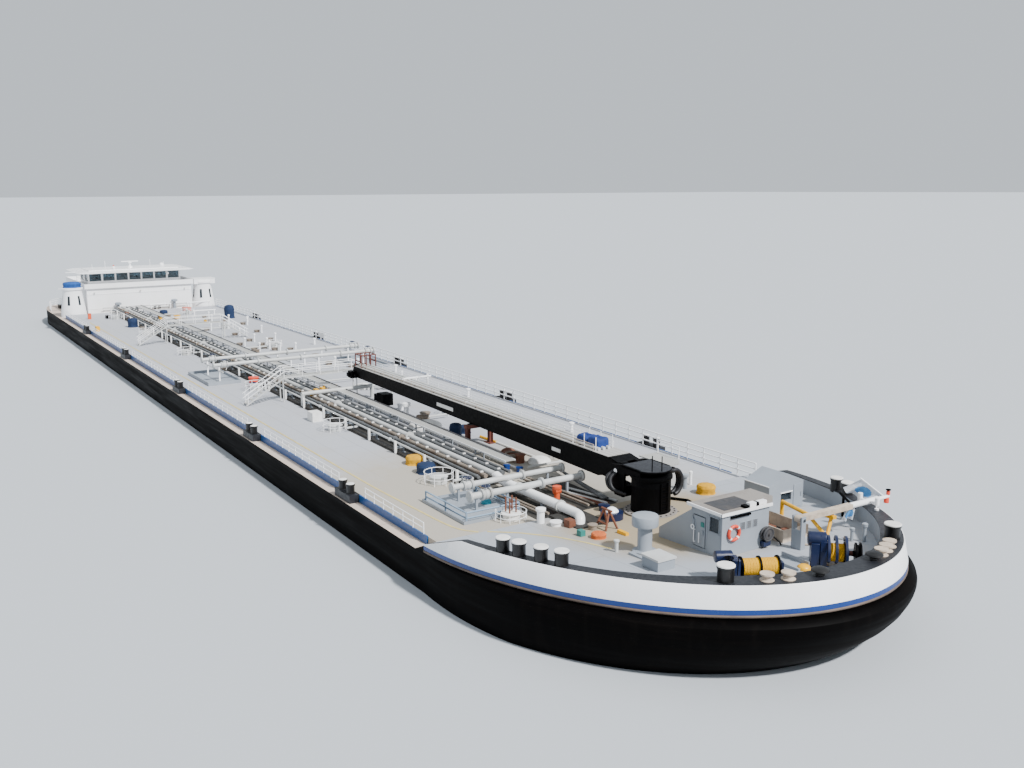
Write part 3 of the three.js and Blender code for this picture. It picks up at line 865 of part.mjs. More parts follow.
// Radar scanner on its post
addPart('radar_scanner', join(
  box([RADAR.x - 0.1, RADAR.x + 0.1], [RADAR.y - 1.2, RADAR.y + 1.2], [WHEEL.top + 1.22, WHEEL.top + 1.38]),
  bar([RADAR.x, RADAR.y, WHEEL.top + 1.163], [RADAR.x, RADAR.y, WHEEL.top + 1.3], 0.12, 12)), WHITE, 0.4);

// Workboat and davit on the aft deck
const DAVIT = { x: -72.3, y: -6.4 };
addPart('davit_post', turned([[0, GAP], [0.3, GAP], [0.3, 0.08], [0.13, 0.15], [0.13, 2.3], [0, 2.3]], [DAVIT.x, DAVIT.y, SIDE_DECK_Z], 12), CRANE, 0.5);
addPart('davit_arm', join(
  bar([DAVIT.x, DAVIT.y, SIDE_DECK_Z + 2.305], [DAVIT.x, DAVIT.y, SIDE_DECK_Z + 2.7], 0.18, 12),
  bar([DAVIT.x, DAVIT.y, SIDE_DECK_Z + 2.55], [DAVIT.x, DAVIT.y + 2.8, SIDE_DECK_Z + 3.0], 0.1, 8, 0.07),
), CRANE, 0.5);
const boatSections = [[-2.5, 0.3, 0.45], [-1.2, 0.7, 0.1], [0.6, 0.8, 0.05], [1.9, 0.55, 0.15], [2.6, 0.12, 0.5]];
const boatLoft = (inset) => loft(boatSections.map(([y, half, keel], i) => {
  const end = i === 0 ? inset : i === boatSections.length - 1 ? -inset : 0;
  const h = Math.max(half - inset, 0.03);
  const x = -72.35, z = SIDE_DECK_Z + 0.45;
  return [[x - h * 0.5, y + end, z + keel + inset], [x + h * 0.5, y + end, z + keel + inset], [x + h, y + end, z + 0.85 + inset * 3], [x - h, y + end, z + 0.85 + inset * 3]];
}));
addPart('workboat', join(boatLoft(0).subtract(boatLoft(0.07)),
  [-1.2, 1.0].map((y) => box([-72.9, -71.8], [y - 0.08, y + 0.08], [SIDE_DECK_Z + GAP, SIDE_DECK_Z + 0.58])),
), WHITE, 0.5);

// Stern rail round the aft deck
const sternRailPoints = [[-64.5, 11.1], [-68.5, 10.75], [-71.5, 10.1], [-73.3, 9.0], [-73.55, 6], [-73.55, 0]];
const sternLine = [...sternRailPoints.map(([x, y]) => [x, -y]), ...sternRailPoints.slice(0, -1).reverse()];
const sternRail = [0.1, 0.5, 1].flatMap((h) => pipe(sternLine.map(([x, y]) => [x, y, SIDE_DECK_Z + 1.0 * h]), 0.035, 4));
const sternPosts = sternLine.map(([x, y]) => bar([x, y, SIDE_DECK_Z + GAP], [x, y, SIDE_DECK_Z + 1.04], 0.04, 4));
addPart('stern_rail', join(sternRail, sternPosts), WHITE, 0.4);

export default group;
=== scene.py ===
# %% [markdown]
# # A river tank barge, as a 1:10 model
#
# The real ship is a long steel tanker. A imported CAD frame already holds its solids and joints, in
# metres, with +X to the bow, +Y to port and +Z up. This lesson dresses that frame: each step adds
# the detail that the eye expects, as surfaces worked out with numpy, and paints it.
# The steps work in metres of the real ship, and one number turns them to model metres at the end.

# %% Load the frame
import math
import bmesh
import bpy
import numpy as np
from mathutils import Matrix


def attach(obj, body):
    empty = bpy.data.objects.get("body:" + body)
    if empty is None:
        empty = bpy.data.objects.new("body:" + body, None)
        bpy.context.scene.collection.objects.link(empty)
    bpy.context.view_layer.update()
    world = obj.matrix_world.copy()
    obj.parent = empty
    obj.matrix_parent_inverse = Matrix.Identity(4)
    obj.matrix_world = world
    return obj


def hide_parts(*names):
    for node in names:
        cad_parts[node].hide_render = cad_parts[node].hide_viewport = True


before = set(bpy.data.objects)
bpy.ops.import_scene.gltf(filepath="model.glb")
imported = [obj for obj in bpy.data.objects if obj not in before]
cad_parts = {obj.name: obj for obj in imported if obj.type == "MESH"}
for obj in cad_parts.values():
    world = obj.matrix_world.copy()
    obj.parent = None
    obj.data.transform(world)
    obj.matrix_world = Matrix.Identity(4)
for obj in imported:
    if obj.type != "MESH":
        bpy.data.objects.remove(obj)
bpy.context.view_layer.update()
SCALE = 0.1                  # model metres for one metre of the ship
WATERLINE = 4.1              # the hull floats with the floor here, in ship metres

# %% [markdown]
# ## The camera
#
# A photograph's viewpoint can be solved from straight edges whose real lengths are known. Here the
# deck edges and the round bow gave the place, the three angles and the lens. The camera could be
# aimed with a tracking constraint, but writing its matrix keeps the small roll exactly.

# %% Camera
yaw, pitch, roll = (math.radians(a) for a in (147.52, 11.09, -0.25))
ahead = np.array([math.cos(yaw) * math.cos(pitch), math.sin(yaw) * math.cos(pitch), -math.sin(pitch)])
right = np.array([math.sin(yaw), -math.cos(yaw), 0.0])
up = np.cross(right, ahead)
right, up = right * math.cos(roll) + up * math.sin(roll), up * math.cos(roll) - right * math.sin(roll)
camera = bpy.data.objects.new("camera", bpy.data.cameras.new("camera"))
camera.data.lens, camera.data.sensor_width, camera.data.clip_end = 35.16, 36, 500
pose = np.eye(4)
pose[:3, 0], pose[:3, 1], pose[:3, 2], pose[:3, 3] = right, up, -ahead, (9.839, -3.305, 2.406)
camera.matrix_world = Matrix(pose)
bpy.context.scene.collection.objects.link(camera)
bpy.context.scene.camera = camera
print("camera at", np.round(pose[:3, 3], 2), "lens", camera.data.lens)

# %% [markdown]
# ## Shapes as arrays
#
# A surface is a grid of points. Two parameters run over the grid, and a formula gives each point,
# so whole arrays are filled at once. A mesh could also be modelled by hand, but a formula keeps
# the same measures as the CAD source and is easy to change. A shape here is a pair: its points,
# and its faces as a list of index arrays of one length each.

# %% Grids and welding
def grid(points, wrap_u=False, wrap_v=False):
    """A skin over points[u, v]: each face joins a point to its neighbours along u and v."""
    nu, nv = points.shape[:2]
    i = np.arange(nu if wrap_u else nu - 1)[:, None]
    j = np.arange(nv if wrap_v else nv - 1)[None, :]
    i2, j2 = (i + 1) % nu, (j + 1) % nv
    faces = np.stack([i * nv + j, i2 * nv + j, i2 * nv + j2, i * nv + j2], -1)
    return points.reshape(-1, 3).astype(float), [faces.reshape(-1, 4)]


def capped(shape, *rings):
    """Closes a skin with one flat face for each ring of point numbers."""
    points, faces = shape
    return points, faces + [np.asarray(ring)[None, :] for ring in rings]


def rod(points):
    """A solid bar of any section: the skin closes along v, with a flat face at both ends of u."""
    nu, nv = points.shape[:2]
    last = (nu - 1) * nv
    return capped(grid(points, wrap_v=True), range(nv), range(last + nv - 1, last - 1, -1))


def joined(*shapes):
    """One shape from several: their points in a row, and their faces moved along by the counts."""
    counts = np.cumsum([0] + [len(s[0]) for s in shapes])
    faces = [f + counts[k] for k, s in enumerate(shapes) for f in s[1]]
    return np.concatenate([s[0] for s in shapes]), faces


def repeated(shape, places):
    """Copies of a shape, each moved by one row of places."""
    points, faces = shape
    places = np.asarray(places, float).reshape(-1, 3)
    moved = (points[None] + places[:, None]).reshape(-1, 3)
    step = np.arange(len(places))[:, None, None] * len(points)
    return moved, [(f[None] + step).reshape(-1, f.shape[1]) for f in faces]


def turned(shape, degrees, place):
    """The shape turned about Z through the origin, then moved to place."""
    turn = np.array(Matrix.Rotation(math.radians(degrees), 3, "Z"))
    return shape[0] @ turn.T + np.asarray(place, float), shape[1]


def grid_of(*axes):
    """Every combination of the values in the lists, as rows of x, y, z."""
    return np.stack(np.meshgrid(*axes, indexing="ij"), -1).reshape(-1, len(axes))


print("a grid of 3 by 4 points has", len(grid(np.zeros((3, 4, 3)))[1][0]), "faces")

# %% Boxes, plates, turned shapes and pipes
def boxes(*rows):
    """Boxes from rows of x0, x1, y0, y1, z0, z1: eight corners each, from all pairs of limits."""
    r = np.asarray(rows, float).reshape(-1, 3, 2)
    pick = grid_of((0, 1), (0, 1), (0, 1))
    corners = np.stack([r[:, k][:, pick[:, k]] for k in range(3)], -1)
    quads = np.array([[0, 1, 3, 2], [4, 6, 7, 5], [0, 4, 5, 1], [2, 3, 7, 6], [0, 2, 6, 4], [1, 5, 7, 3]])
    step = np.arange(len(r))[:, None, None] * 8
    return corners.reshape(-1, 3), [(quads[None] + step).reshape(-1, 4)]


def blocks(xs, ys, long, wide, low, high):
    """Boxes of one size from low to high, one centred on every pair of the values xs and ys."""
    one = boxes((-long / 2, long / 2, -wide / 2, wide / 2, low, high))
    return repeated(one, grid_of(np.atleast_1d(xs), np.atleast_1d(ys), [0]))


def plate(outline, low, high, axis=2):
    """A flat outline given a thickness along an axis: two copies of it with a wall between them."""
    outline = np.asarray(outline, float)
    points = np.zeros((2, len(outline), 3))
    points[:, :, [k for k in range(3) if k != axis]] = outline
    points[0, :, axis], points[1, :, axis] = low, high
    return rod(points)


AXIS_ORDER = {2: (0, 1, 2), 0: (2, 0, 1), 1: (1, 2, 0)}   # columns that turn a shape's own Z to an axis


def circle(sides):
    """Angles of evenly spaced points round a circle."""
    return np.arange(sides) * 2 * math.pi / sides


def lathe(profile, centre=(0, 0, 0), sides=16, axis=2):
    """A profile of radius and height carried round an axis: (r cos a, r sin a, h) for every a."""
    r, h = np.asarray(profile, float).T[..., None]
    r, a = np.maximum(r, 1e-4), circle(sides)
    points = np.stack([r * np.cos(a), r * np.sin(a), h + 0 * a], -1)[..., AXIS_ORDER[axis]]
    return rod(points + np.asarray(centre, float))


def run(x, y, z):
    """The two ends of a straight bar, where each of x, y and z is one value or a pair."""
    return np.column_stack(np.broadcast_arrays(x, y, z))


def bars(ends, radius, sides=8):
    """Straight round bars: a ring about each end of every pair, square to the line between them."""
    ends = np.asarray(ends, float).reshape(-1, 2, 3)
    along = ends[:, 1] - ends[:, 0]
    along /= np.linalg.norm(along, axis=1, keepdims=True)
    helper = np.where(np.abs(along[:, 2:]) < 0.9, [[0, 0, 1.0]], [[1.0, 0, 0]])
    side = np.cross(along, helper)
    side /= np.linalg.norm(side, axis=1, keepdims=True)
    over = np.cross(side, along)
    a = circle(sides) + math.pi / sides
    spokes = side[:, None] * np.cos(a)[:, None] + over[:, None] * np.sin(a)[:, None]
    points = ends[:, :, None] + radius * spokes[:, None]
    k, s = len(ends), np.arange(sides)
    base = (np.arange(k) * 2 * sides)[:, None]
    walls = np.stack([s, (s + 1) % sides, (s + 1) % sides + sides, s + sides], -1)
    return points.reshape(-1, 3), [
        (walls[None] + base[..., None]).reshape(-1, 4), base + s[::-1], base + sides + s]


def tube(path, radius, sides=10, closed=False):
    """A circle carried along a path. Each ring stands on the plane that halves the bend, and is
    stretched there by one over the cosine of half the bend, so the pipe keeps its thickness."""
    path = np.asarray(path, float)
    runs = np.diff(np.vstack([path, path[:1]]) if closed else path, axis=0)
    runs /= np.linalg.norm(runs, axis=1, keepdims=True)
    before = np.vstack([runs[-1:] if closed else runs[:1], runs[:len(path) - 1]])
    after = runs if closed else np.vstack([runs, runs[-1:]])
    bisector = before + after
    bisector /= np.linalg.norm(bisector, axis=1, keepdims=True)
    flat = np.linalg.svd(path - path.mean(0))[2][2]
    if np.ptp((path - path.mean(0)) @ np.linalg.svd(path - path.mean(0))[2][1]) < 1e-6:
        flat = np.cross(runs[0], (0, 0, 1.0) if abs(runs[0][2]) < 0.9 else (1.0, 0, 0))
    side = flat - (bisector @ flat)[:, None] * bisector
    side /= np.linalg.norm(side, axis=1, keepdims=True)
    over = np.cross(bisector, side) / np.sum(bisector * before, 1)[:, None]
    a = circle(sides)[:, None]
    r = np.broadcast_to(radius, len(path))[:, None, None]
    points = path[:, None] + r * (side[:, None] * np.cos(a) + over[:, None] * np.sin(a))
    return grid(points, wrap_u=True, wrap_v=True) if closed else rod(points)


def eased(points, reach=0.3, steps=5):
    """A path with its corners rounded: near each corner, a parabola that touches both legs."""
    p = np.asarray(points, float)
    t = np.linspace(0, 1, steps)[:, None]
    legs = [np.linalg.norm(p[k + 1] - p[k]) for k in range(len(p) - 1)]
    bends = [p[:1]]
    for k in range(1, len(p) - 1):
        cut = [min(reach, 0.45 * legs[k - 1]), min(reach, 0.45 * legs[k])]
        a = p[k] + (p[k - 1] - p[k]) * cut[0] / legs[k - 1]
        b = p[k] + (p[k + 1] - p[k]) * cut[1] / legs[k]
        bends.append((1 - t) ** 2 * a + 2 * t * (1 - t) * p[k] + t ** 2 * b)
    return np.vstack(bends + [p[-1:]])


def hoop(centre, big, small, axis=2, sides=16, round_sides=6):
    """A ring: a small circle carried round a big one."""
    a = circle(sides)
    flat = np.stack([np.cos(a), np.sin(a), 0 * a], -1)[:, AXIS_ORDER[axis]] * big
    return tube(flat + np.asarray(centre, float), small, round_sides, closed=True)


def collar(inner, outer, low, high, centre=(0, 0, 0), axis=1, sides=28):
    """A ring with a hole: a rectangle carried round an axis and closed on itself."""
    r, h = np.array([(inner, low), (outer, low), (outer, high), (inner, high)])[..., None].transpose(1, 0, 2)
    a = circle(sides)
    points = np.stack([r * np.cos(a), r * np.sin(a), h + 0 * a], -1)[..., AXIS_ORDER[axis]]
    return grid(points + np.asarray(centre, float), wrap_u=True, wrap_v=True)


print("a pipe with one bend:", len(tube(eased([(0, 0, 0), (1, 0, 0), (1, 0, 1)]), 0.1)[0]), "points")

# %% [markdown]
# ## Making a piece
#
# Blender shows objects, so the arrays go into a mesh in one step. Doubled points are merged and
# the faces are turned outwards, as a lathe or a mirror can leave them inside out. Edges sharper
# than an angle stay crisp. A bevel could be cut by hand, but as a modifier it stays easy to change.

# %% From arrays to an object
def piece(name, parts, body="hull", slot=None, stands_for=(), sharp=35.0, bevel=0.0, open_sheet=False,
          place=(0, 0, 0), turn=0):
    """Makes one object from parts and lets it ride on a body; the slot argument is not used. A part is a
    material and its shapes. All points are turned about Z and moved to place, in ship metres."""
    shapes = [shape for part in parts for shape in part[1:]]
    materials = list(dict.fromkeys(part[0] for part in parts))
    points, faces = turned(joined(*shapes), turn, place)
    loops = np.concatenate([f.reshape(-1) for f in faces])
    sizes = np.concatenate([np.full(len(f), f.shape[1]) for f in faces])
    index = np.concatenate([np.full(sum(len(f) for f in shape[1]), materials.index(material))
                            for material, *row in parts for shape in row])
    mesh = bpy.data.meshes.new(name)
    mesh.vertices.add(len(points))
    mesh.vertices.foreach_set("co", (points * SCALE).astype(np.float32).ravel())
    mesh.loops.add(len(loops))
    mesh.loops.foreach_set("vertex_index", loops.astype(np.int32))
    mesh.polygons.add(len(sizes))
    mesh.polygons.foreach_set("loop_start", np.concatenate([[0], np.cumsum(sizes)[:-1]]).astype(np.int32))
    mesh.polygons.foreach_set("material_index", index.astype(np.int32))
    mesh.update(calc_edges=True)
    for material in materials:
        mesh.materials.append(material)
    work = bmesh.new()
    work.from_mesh(mesh)
    bmesh.ops.remove_doubles(work, verts=work.verts, dist=2e-6)
    bmesh.ops.dissolve_degenerate(work, edges=work.edges, dist=1e-6)
    if not open_sheet:
        bmesh.ops.recalc_face_normals(work, faces=work.faces)
    work.to_mesh(mesh)
    work.free()
    mesh.polygons.foreach_set("use_smooth", np.ones(len(mesh.polygons), bool))
    mesh.set_sharp_from_angle(angle=math.radians(sharp))
    made = bpy.data.objects.new(name, mesh)
    bpy.context.scene.collection.objects.link(made)
    if bevel:
        rounding = made.modifiers.new("rounded edges", "BEVEL")
        rounding.width, rounding.segments, rounding.limit_method = bevel * SCALE, 2, "ANGLE"
        rounding.angle_limit = math.radians(50)
    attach(made, body)
    if stands_for:
        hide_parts(*stands_for)
    print(f"{name}: {len(mesh.vertices)} points, {len(mesh.polygons)} faces")
    return made


# %% [markdown]
# ## Finishes
#
# Nearly everything on a ship is painted steel. Fresh paint is one colour, but weather leaves
# patches, streaks and dust, so each finish mixes two tones with noise whose grain has a real size.
# Images could do this too; procedural noise needs no files and never shows a seam. The noise reads
# Object coordinates, which are model metres here.

# %% Colour and node helpers
def linear(colour):
    """An sRGB hex value as linear light: a power of 2.4 above a small straight part."""
    c = np.array([int(colour[k:k + 2], 16) for k in (1, 3, 5)]) / 255
    return (*np.where(c <= 0.04045, c / 12.92, ((c + 0.055) / 1.055) ** 2.4).tolist(), 1.0)


def add(tree, kind, sockets=None, **settings):
    """Adds a shader node and gives its outputs. Settings are its properties, and sockets are values
    or links for its inputs."""
    node = tree.nodes.new("ShaderNode" + kind)
    for key, value in settings.items():
        setattr(node, key, value)
    for key, value in (sockets or {}).items():
        if isinstance(value, bpy.types.NodeSocket):
            tree.links.new(value, node.inputs[key])
        else:
            node.inputs[key].default_value = value
    return node.outputs


def grain(real_mm):
    """Noise scale for a grain of this real size: one over its size in model metres."""
    return 1 / (real_mm / 1000 * SCALE)


MIX_A, MIX_B, MIX_COLOUR_OUT = 6, 7, 2    # the Mix node's colour sockets


def mixed(tree, factor, first, second):
    """The colour output of a Mix node between two colours."""
    return add(tree, "Mix", {0: factor, MIX_A: first, MIX_B: second},
               data_type="RGBA")[MIX_COLOUR_OUT]


def finish_material(name, colour, roughness, **fixed):
    """A new material with its Principled shader; fixed values go on the shader's own sockets."""
    material = bpy.data.materials.new(name)
    material.use_nodes = True
    tree = material.node_tree
    shader = tree.nodes["Principled BSDF"]
    shader.inputs["Base Color"].default_value = linear(colour)
    shader.inputs["Roughness"].default_value = roughness
    for key, value in fixed.items():
        shader.inputs[key.replace("_", " ")].default_value = value
    return material, tree, shader


def noise(tree, place, real_mm, detail, roughness=0.5, **more):
    """A noise whose grain has this real size. Detail adds finer grains, and roughness is their share."""
    return add(tree, "TexNoise", {
        "Vector": place, "Scale": grain(real_mm), "Detail": detail, "Roughness": roughness, **more})[0]


def ranged(tree, value, start, end, low, high):
    """A value that runs from start to end, moved onto low to high and held inside them."""
    return add(tree, "MapRange", {
        "Value": value, "From Min": start, "From Max": end, "To Min": low, "To Max": high})[0]


def dimpled(tree, shader, height, strength, deep):
    """Gives the shader a relief from a height; deep is the relief's depth in model metres."""
    relief = add(tree, "Bump", {"Height": height, "Strength": strength, "Distance": deep})[0]
    tree.links.new(relief, shader.inputs["Normal"])


# %% Painted steel
def painted_steel(name, colour, worn, roughness=0.4, patch_mm=2500, share=0.5, streak=(1, 1, 1),
                  dimple=0.15, **fixed):
    """Paint that mixes its own colour with a worn tone in patches; a finer noise varies the gloss
    and leaves a faint orange-peel relief. Streak stretches the patches along an axis."""
    material, tree, shader = finish_material(name, colour, roughness, **fixed)
    place = add(tree, "TexCoord")["Object"]
    stretched = add(tree, "Mapping", {"Vector": place, "Scale": streak})[0]
    amount = ranged(tree, noise(tree, stretched, patch_mm, 5.0, 0.62), 0.42, 0.72, 0, share)
    tree.links.new(mixed(tree, amount, linear(colour), linear(worn)), shader.inputs["Base Color"])
    fine = noise(tree, place, 180, 3.0)
    gloss = ranged(tree, fine, 0.3, 0.7, max(0.05, roughness - 0.08), min(1.0, roughness + 0.1))
    tree.links.new(gloss, shader.inputs["Roughness"])
    dimpled(tree, shader, fine, dimple, 0.002)
    return material


# Satin marine paint gives soft highlights, with patches of dust
house_grey = painted_steel("satin marine paint, blue-grey", "#949BA3", "#7E858D", 0.45, 2200)
pipe_grey = painted_steel("satin marine paint, pipe grey", "#C6C8C7", "#A39F98", 0.42, 1500, 0.6)
# Gloss marine paint gives sharper highlights, and the white shows faint grey dirt
white_gloss = painted_steel("gloss marine paint, white", "#FBFBFC", "#E6E5E1", 0.3, 2600, 0.35, (1, 1, 0.35))
crane_black = painted_steel("satin marine paint, crane black", "#030304", "#08080A", 0.5, 1800, 0.5,
                            Specular_IOR_Level=0.06)
winch_navy = painted_steel("gloss marine paint, winch navy", "#0E1C40", "#080F20", 0.35, 700, 0.6)
stripe_blue = painted_steel("gloss marine paint, stripe blue", "#08357E", "#0A2C64", 0.32, 1800, 0.5)
coaming_blue = painted_steel("gloss marine paint, coaming blue", "#174F8E", "#23466C", 0.36, 1500, 0.6)
margin_black = painted_steel("satin marine paint, margin black", "#17191F", "#28292F", 0.5, 1500, 0.6)
fitting_black = painted_steel("bollard paint, black", "#08080A", "#1C1918", 0.42, 500, 0.6)
cap_white = painted_steel("bollard cap paint, white", "#F0EFEC", "#C8C2B8", 0.45, 400, 0.5)
yellow_paint = painted_steel("gloss marine paint, safety yellow", "#F2B400", "#C98E00", 0.4, 600, 0.5)
primer_red = painted_steel("matt primer, red-brown", "#5A2A22", "#7A4534", 0.7, 600, 0.6)
strake_brown = painted_steel("worn fender strip paint", "#6A5A50", "#3E332C", 0.65, 900, 0.9, (0.4, 0.4, 1))
roof_brown = painted_steel("weathered roof paint, brown-grey", "#8C8680", "#6F6660", 0.75, 1200, 0.8)
dark_steel = painted_steel("dark weathered steel", "#3A3A3D", "#57504A", 0.6, 700, 0.7)
frame_blue = painted_steel("satin marine paint, pale blue-grey", "#8298AE", "#6A7C8E", 0.45, 700, 0.5)
roller_beige = painted_steel("worn roller steel, beige", "#C9B9A6", "#8D7C6C", 0.5, 500, 0.7)
print("finishes so far:", len(bpy.data.materials))

# %% [markdown]
# ## Deck paint
#
# Decks wear a matt paint with grit in it, so that nobody slips. The eye gets a pale, even grey,
# with thin weld lines between the plates and warm stains where people and gear stand. The lines
# could be cut into the mesh, but a brick pattern in the colour is lighter. Real weld beads are
# about 15 mm wide, which is less than a pixel here, so they are drawn 60 mm wide.

# %% Deck finishes
def deck_paint(name, colour, seam, stain, plate_m=(8.0, 2.0), stain_share=0.5, stain_from=0.55, worn_at=None):
    """Matt deck paint: weld lines from a brick pattern of real plate sizes, and noise stains. Worn_at
    is the x, y, z and radius, in ship metres, of a place where the stains join into one patch."""
    material, tree, shader = finish_material(name, colour, 0.75)
    place = add(tree, "TexCoord")["Object"]
    weld = add(tree, "TexBrick", {
        "Vector": place, "Scale": 1.0, "Color1": linear(colour), "Color2": linear(colour),
        "Mortar": linear(seam), "Mortar Size": 0.03 * SCALE, "Mortar Smooth": 0.6,
        "Brick Width": plate_m[0] * SCALE, "Row Height": plate_m[1] * SCALE})["Color"]
    stains = noise(tree, place, 5200, 7.0, 0.68)
    amount = ranged(tree, stains, stain_from, stain_from + 0.25, 0, stain_share)
    if worn_at:
        *spot, radius = (v * SCALE for v in worn_at)
        moved = add(tree, "Mapping", {
            "Vector": place, "Location": [-v / radius for v in spot], "Scale": [1 / radius] * 3})[0]
        ball = add(tree, "TexGradient", {"Vector": moved}, gradient_type="SPHERICAL")[1]
        both = add(tree, "Math", {0: ball, 1: stains}, operation="MULTIPLY")[0]
        nearby = ranged(tree, both, 0.05, 0.22, 0, 0.85)
        amount = add(tree, "Math", {0: amount, 1: nearby}, operation="MAXIMUM")[0]
    grit = noise(tree, place, 90, 2.0)
    speckle = ranged(tree, grit, 0.35, 0.75, 0, 0.16)
    stained = mixed(tree, amount, weld, linear(stain))
    tree.links.new(mixed(tree, speckle, stained, linear(seam)), shader.inputs["Base Color"])
    dimpled(tree, shader, grit, 0.25, 0.002)
    return material


tank_grey = deck_paint("non-slip deck paint, light grey", "#B0B2B8", "#9A9C9F", "#ABA291",
                       worn_at=(52.0, -5.0, 6.6, 17.0))
side_pink = deck_paint("side deck paint, worn to pinkish beige", "#C5B5A8", "#A79586", "#D2C8BC", (6.0, 3.0))
fore_grey = deck_paint("non-slip deck paint, blue-grey", "#A5AAB1", "#90959B", "#A08C68",
                       (6.0, 1.8), 0.4, 0.52, (60.5, 0.5, 6.9, 8.0))
boom_beige = deck_paint("boom walkway paint, pale beige-grey", "#AEACA8", "#8D8983", "#978E82",
                        (4.0, 0.35), 0.6, 0.5)


# %% [markdown]
# ## Hull paint
#
# The hull is nearly black. It isn't a mirror: rope and fender rubs leave dull brown level scuffs, and
# rain draws faint streaks down. Both are noises stretched along one axis, mixed by their strength.

# %% Hull finish
def hull_finish():
    """Black bitumen-like paint: level scuffs stretched along X, and rain streaks stretched along Z.

    It has little shine, since the pale floor would show in it where the real hull mirrors dark water.
    """
    material, tree, shader = finish_material("hull paint, black", "#050404", 0.7, Specular_IOR_Level=0.03)
    place = add(tree, "TexCoord")["Object"]
    rubbed = add(tree, "Mapping", {"Vector": place, "Scale": (0.12, 0.12, 2.2)})[0]
    scuffs = noise(tree, rubbed, 900, 6.0, 0.6)
    rained = add(tree, "Mapping", {"Vector": place, "Scale": (1.6, 1.6, 0.1)})[0]
    streaks = noise(tree, rained, 700, 4.0)
    scuff_share = ranged(tree, scuffs, 0.5, 0.78, 0, 0.5)
    streak_share = ranged(tree, streaks, 0.52, 0.8, 0, 0.4)
    rubbed_colour = mixed(tree, scuff_share, linear("#050404"), linear("#15110F"))
    tree.links.new(mixed(tree, streak_share, rubbed_colour, linear("#120F0D")), shader.inputs["Base Color"])
    tree.links.new(ranged(tree, scuffs, 0.35, 0.7, 0.5, 0.75), shader.inputs["Roughness"])
    dimpled(tree, shader, scuffs, 0.15, 0.004)
    return material


hull_black = hull_finish()

# %% [markdown]
# ## The hull
#
# The hull is a long box with a round bow and a swept-up stern. Its skin is a grid: one parameter
# runs from the stern to the stem, the other from the keel up to the deck edge. The CAD solid has
# the same form with few faces; this one is fine enough to shade smoothly, and stands for it.

# %% Hull form
BEAM, SIDE_DECK_Z, BOW_START, BOW_LENGTH, RAMP_START = 22.8, 6.2, 56.2, 17.4, 55.2
BOW_DECK_Z, BOW_RISE = 6.65, 0.93      # the deck edge where the bow starts, and its rise to the stem
STERN_X, BILGE = -74.03, 0.6
SWEEP_FROM, SWEEP_RISE = -54, 3.7      # the bottom sweeps up from this x, by this much at the transom
CORNER_LONG, CORNER_WIDE = 9, 2.4      # the rounding of the stern's corners in plan
SWELL, RAKE = 0.58, 14.4               # how far the bow swells out, and how far its foot rakes back
TRUNK_Z, TRUNK_HALF, TRUNK_AFT = 6.62, 10.6, -54.45
CLEAR = 0.003                # gap between touching pieces


def sheer(x):
    """Height of the deck edge: level, then a short ramp, then rising slowly round the bow."""
    t = np.clip((np.asarray(x, float) - BOW_START) / BOW_LENGTH, 0, 1)
    ramp = np.interp(x, [RAMP_START, BOW_START], [SIDE_DECK_Z, BOW_DECK_Z])
    return np.where(np.asarray(x) <= BOW_START, ramp, BOW_DECK_Z + BOW_RISE * t ** 1.1)


def deck_edge(angle, side, offset=0.0, length=BOW_LENGTH):
    """A point of the bow's ellipse in plan, moved outwards along its normal by offset."""
    x, y = length * np.sin(angle), BEAM / 2 * np.cos(angle)
    nx, ny = x / length ** 2, y / (BEAM / 2) ** 2
    scale = offset / np.hypot(nx, ny)
    return BOW_START + x + nx * scale, side * np.maximum(0, y + ny * scale)


def hull_side():
    """Points [station, level, xyz] of the port side. Levels follow a quarter circle at the bilge,
    then rise straight. At the bow the level sets how far the ellipse rakes back, and a share of
    the swell pushes it out below the stripe."""
    s = np.concatenate([np.zeros(6), np.linspace(0, 0.8, 12),
                        [0.83, 0.86, 0.885, 0.903, 0.917, 0.928, 0.935, 0.96, 1]])
    q = np.concatenate([np.linspace(0, 1, 6, endpoint=False), np.ones(21)])
    pulled = 1 - np.sqrt(1 - (1 - q) ** 2)
    x = np.concatenate([np.linspace(STERN_X, SWEEP_FROM, 40), np.linspace(-50, 55, 12), [RAMP_START]])
    sweep = np.clip((SWEEP_FROM - x) / (SWEEP_FROM - STERN_X), 0, 1)
    low = (SWEEP_RISE * sweep ** 2 * (3 - 2 * sweep))[:, None]
    high = sheer(x)[:, None]
    bilge = np.minimum(BILGE, 0.4 * (high - low))
    z = low + q * bilge + s * (high - low - bilge)
    t = np.clip((STERN_X + CORNER_LONG - x) / CORNER_LONG, 0, 1)
    half = (BEAM / 2 - CORNER_WIDE * (1 - np.sqrt(1 - 0.98 * t * t)))[:, None]
    aft = np.stack([x[:, None] + 0 * z, half - pulled * bilge, z], -1)
    angle = np.linspace(0, math.pi / 2, 72)[:, None]
    top = sheer(BOW_START + BOW_LENGTH * np.sin(angle))
    z = q * BILGE + s * (top - BILGE)
    share = np.interp(s, [0, 0.15, 0.35, 0.83, 0.86, 0.885, 0.903, 0.917, 0.928, 0.935, 1],
                      [0, 0.5, 1, 1, 0.985, 0.93, 0.84, 0.66, 0.4, 0, 0])
    swell = SWELL * np.minimum(1, angle / 0.45) * share - pulled * BILGE
    bx, by = deck_edge(angle, 1, swell, BOW_LENGTH - RAKE * (1 - z / top) ** 2.3)
    return np.concatenate([aft, np.stack([bx, by, z], -1)])


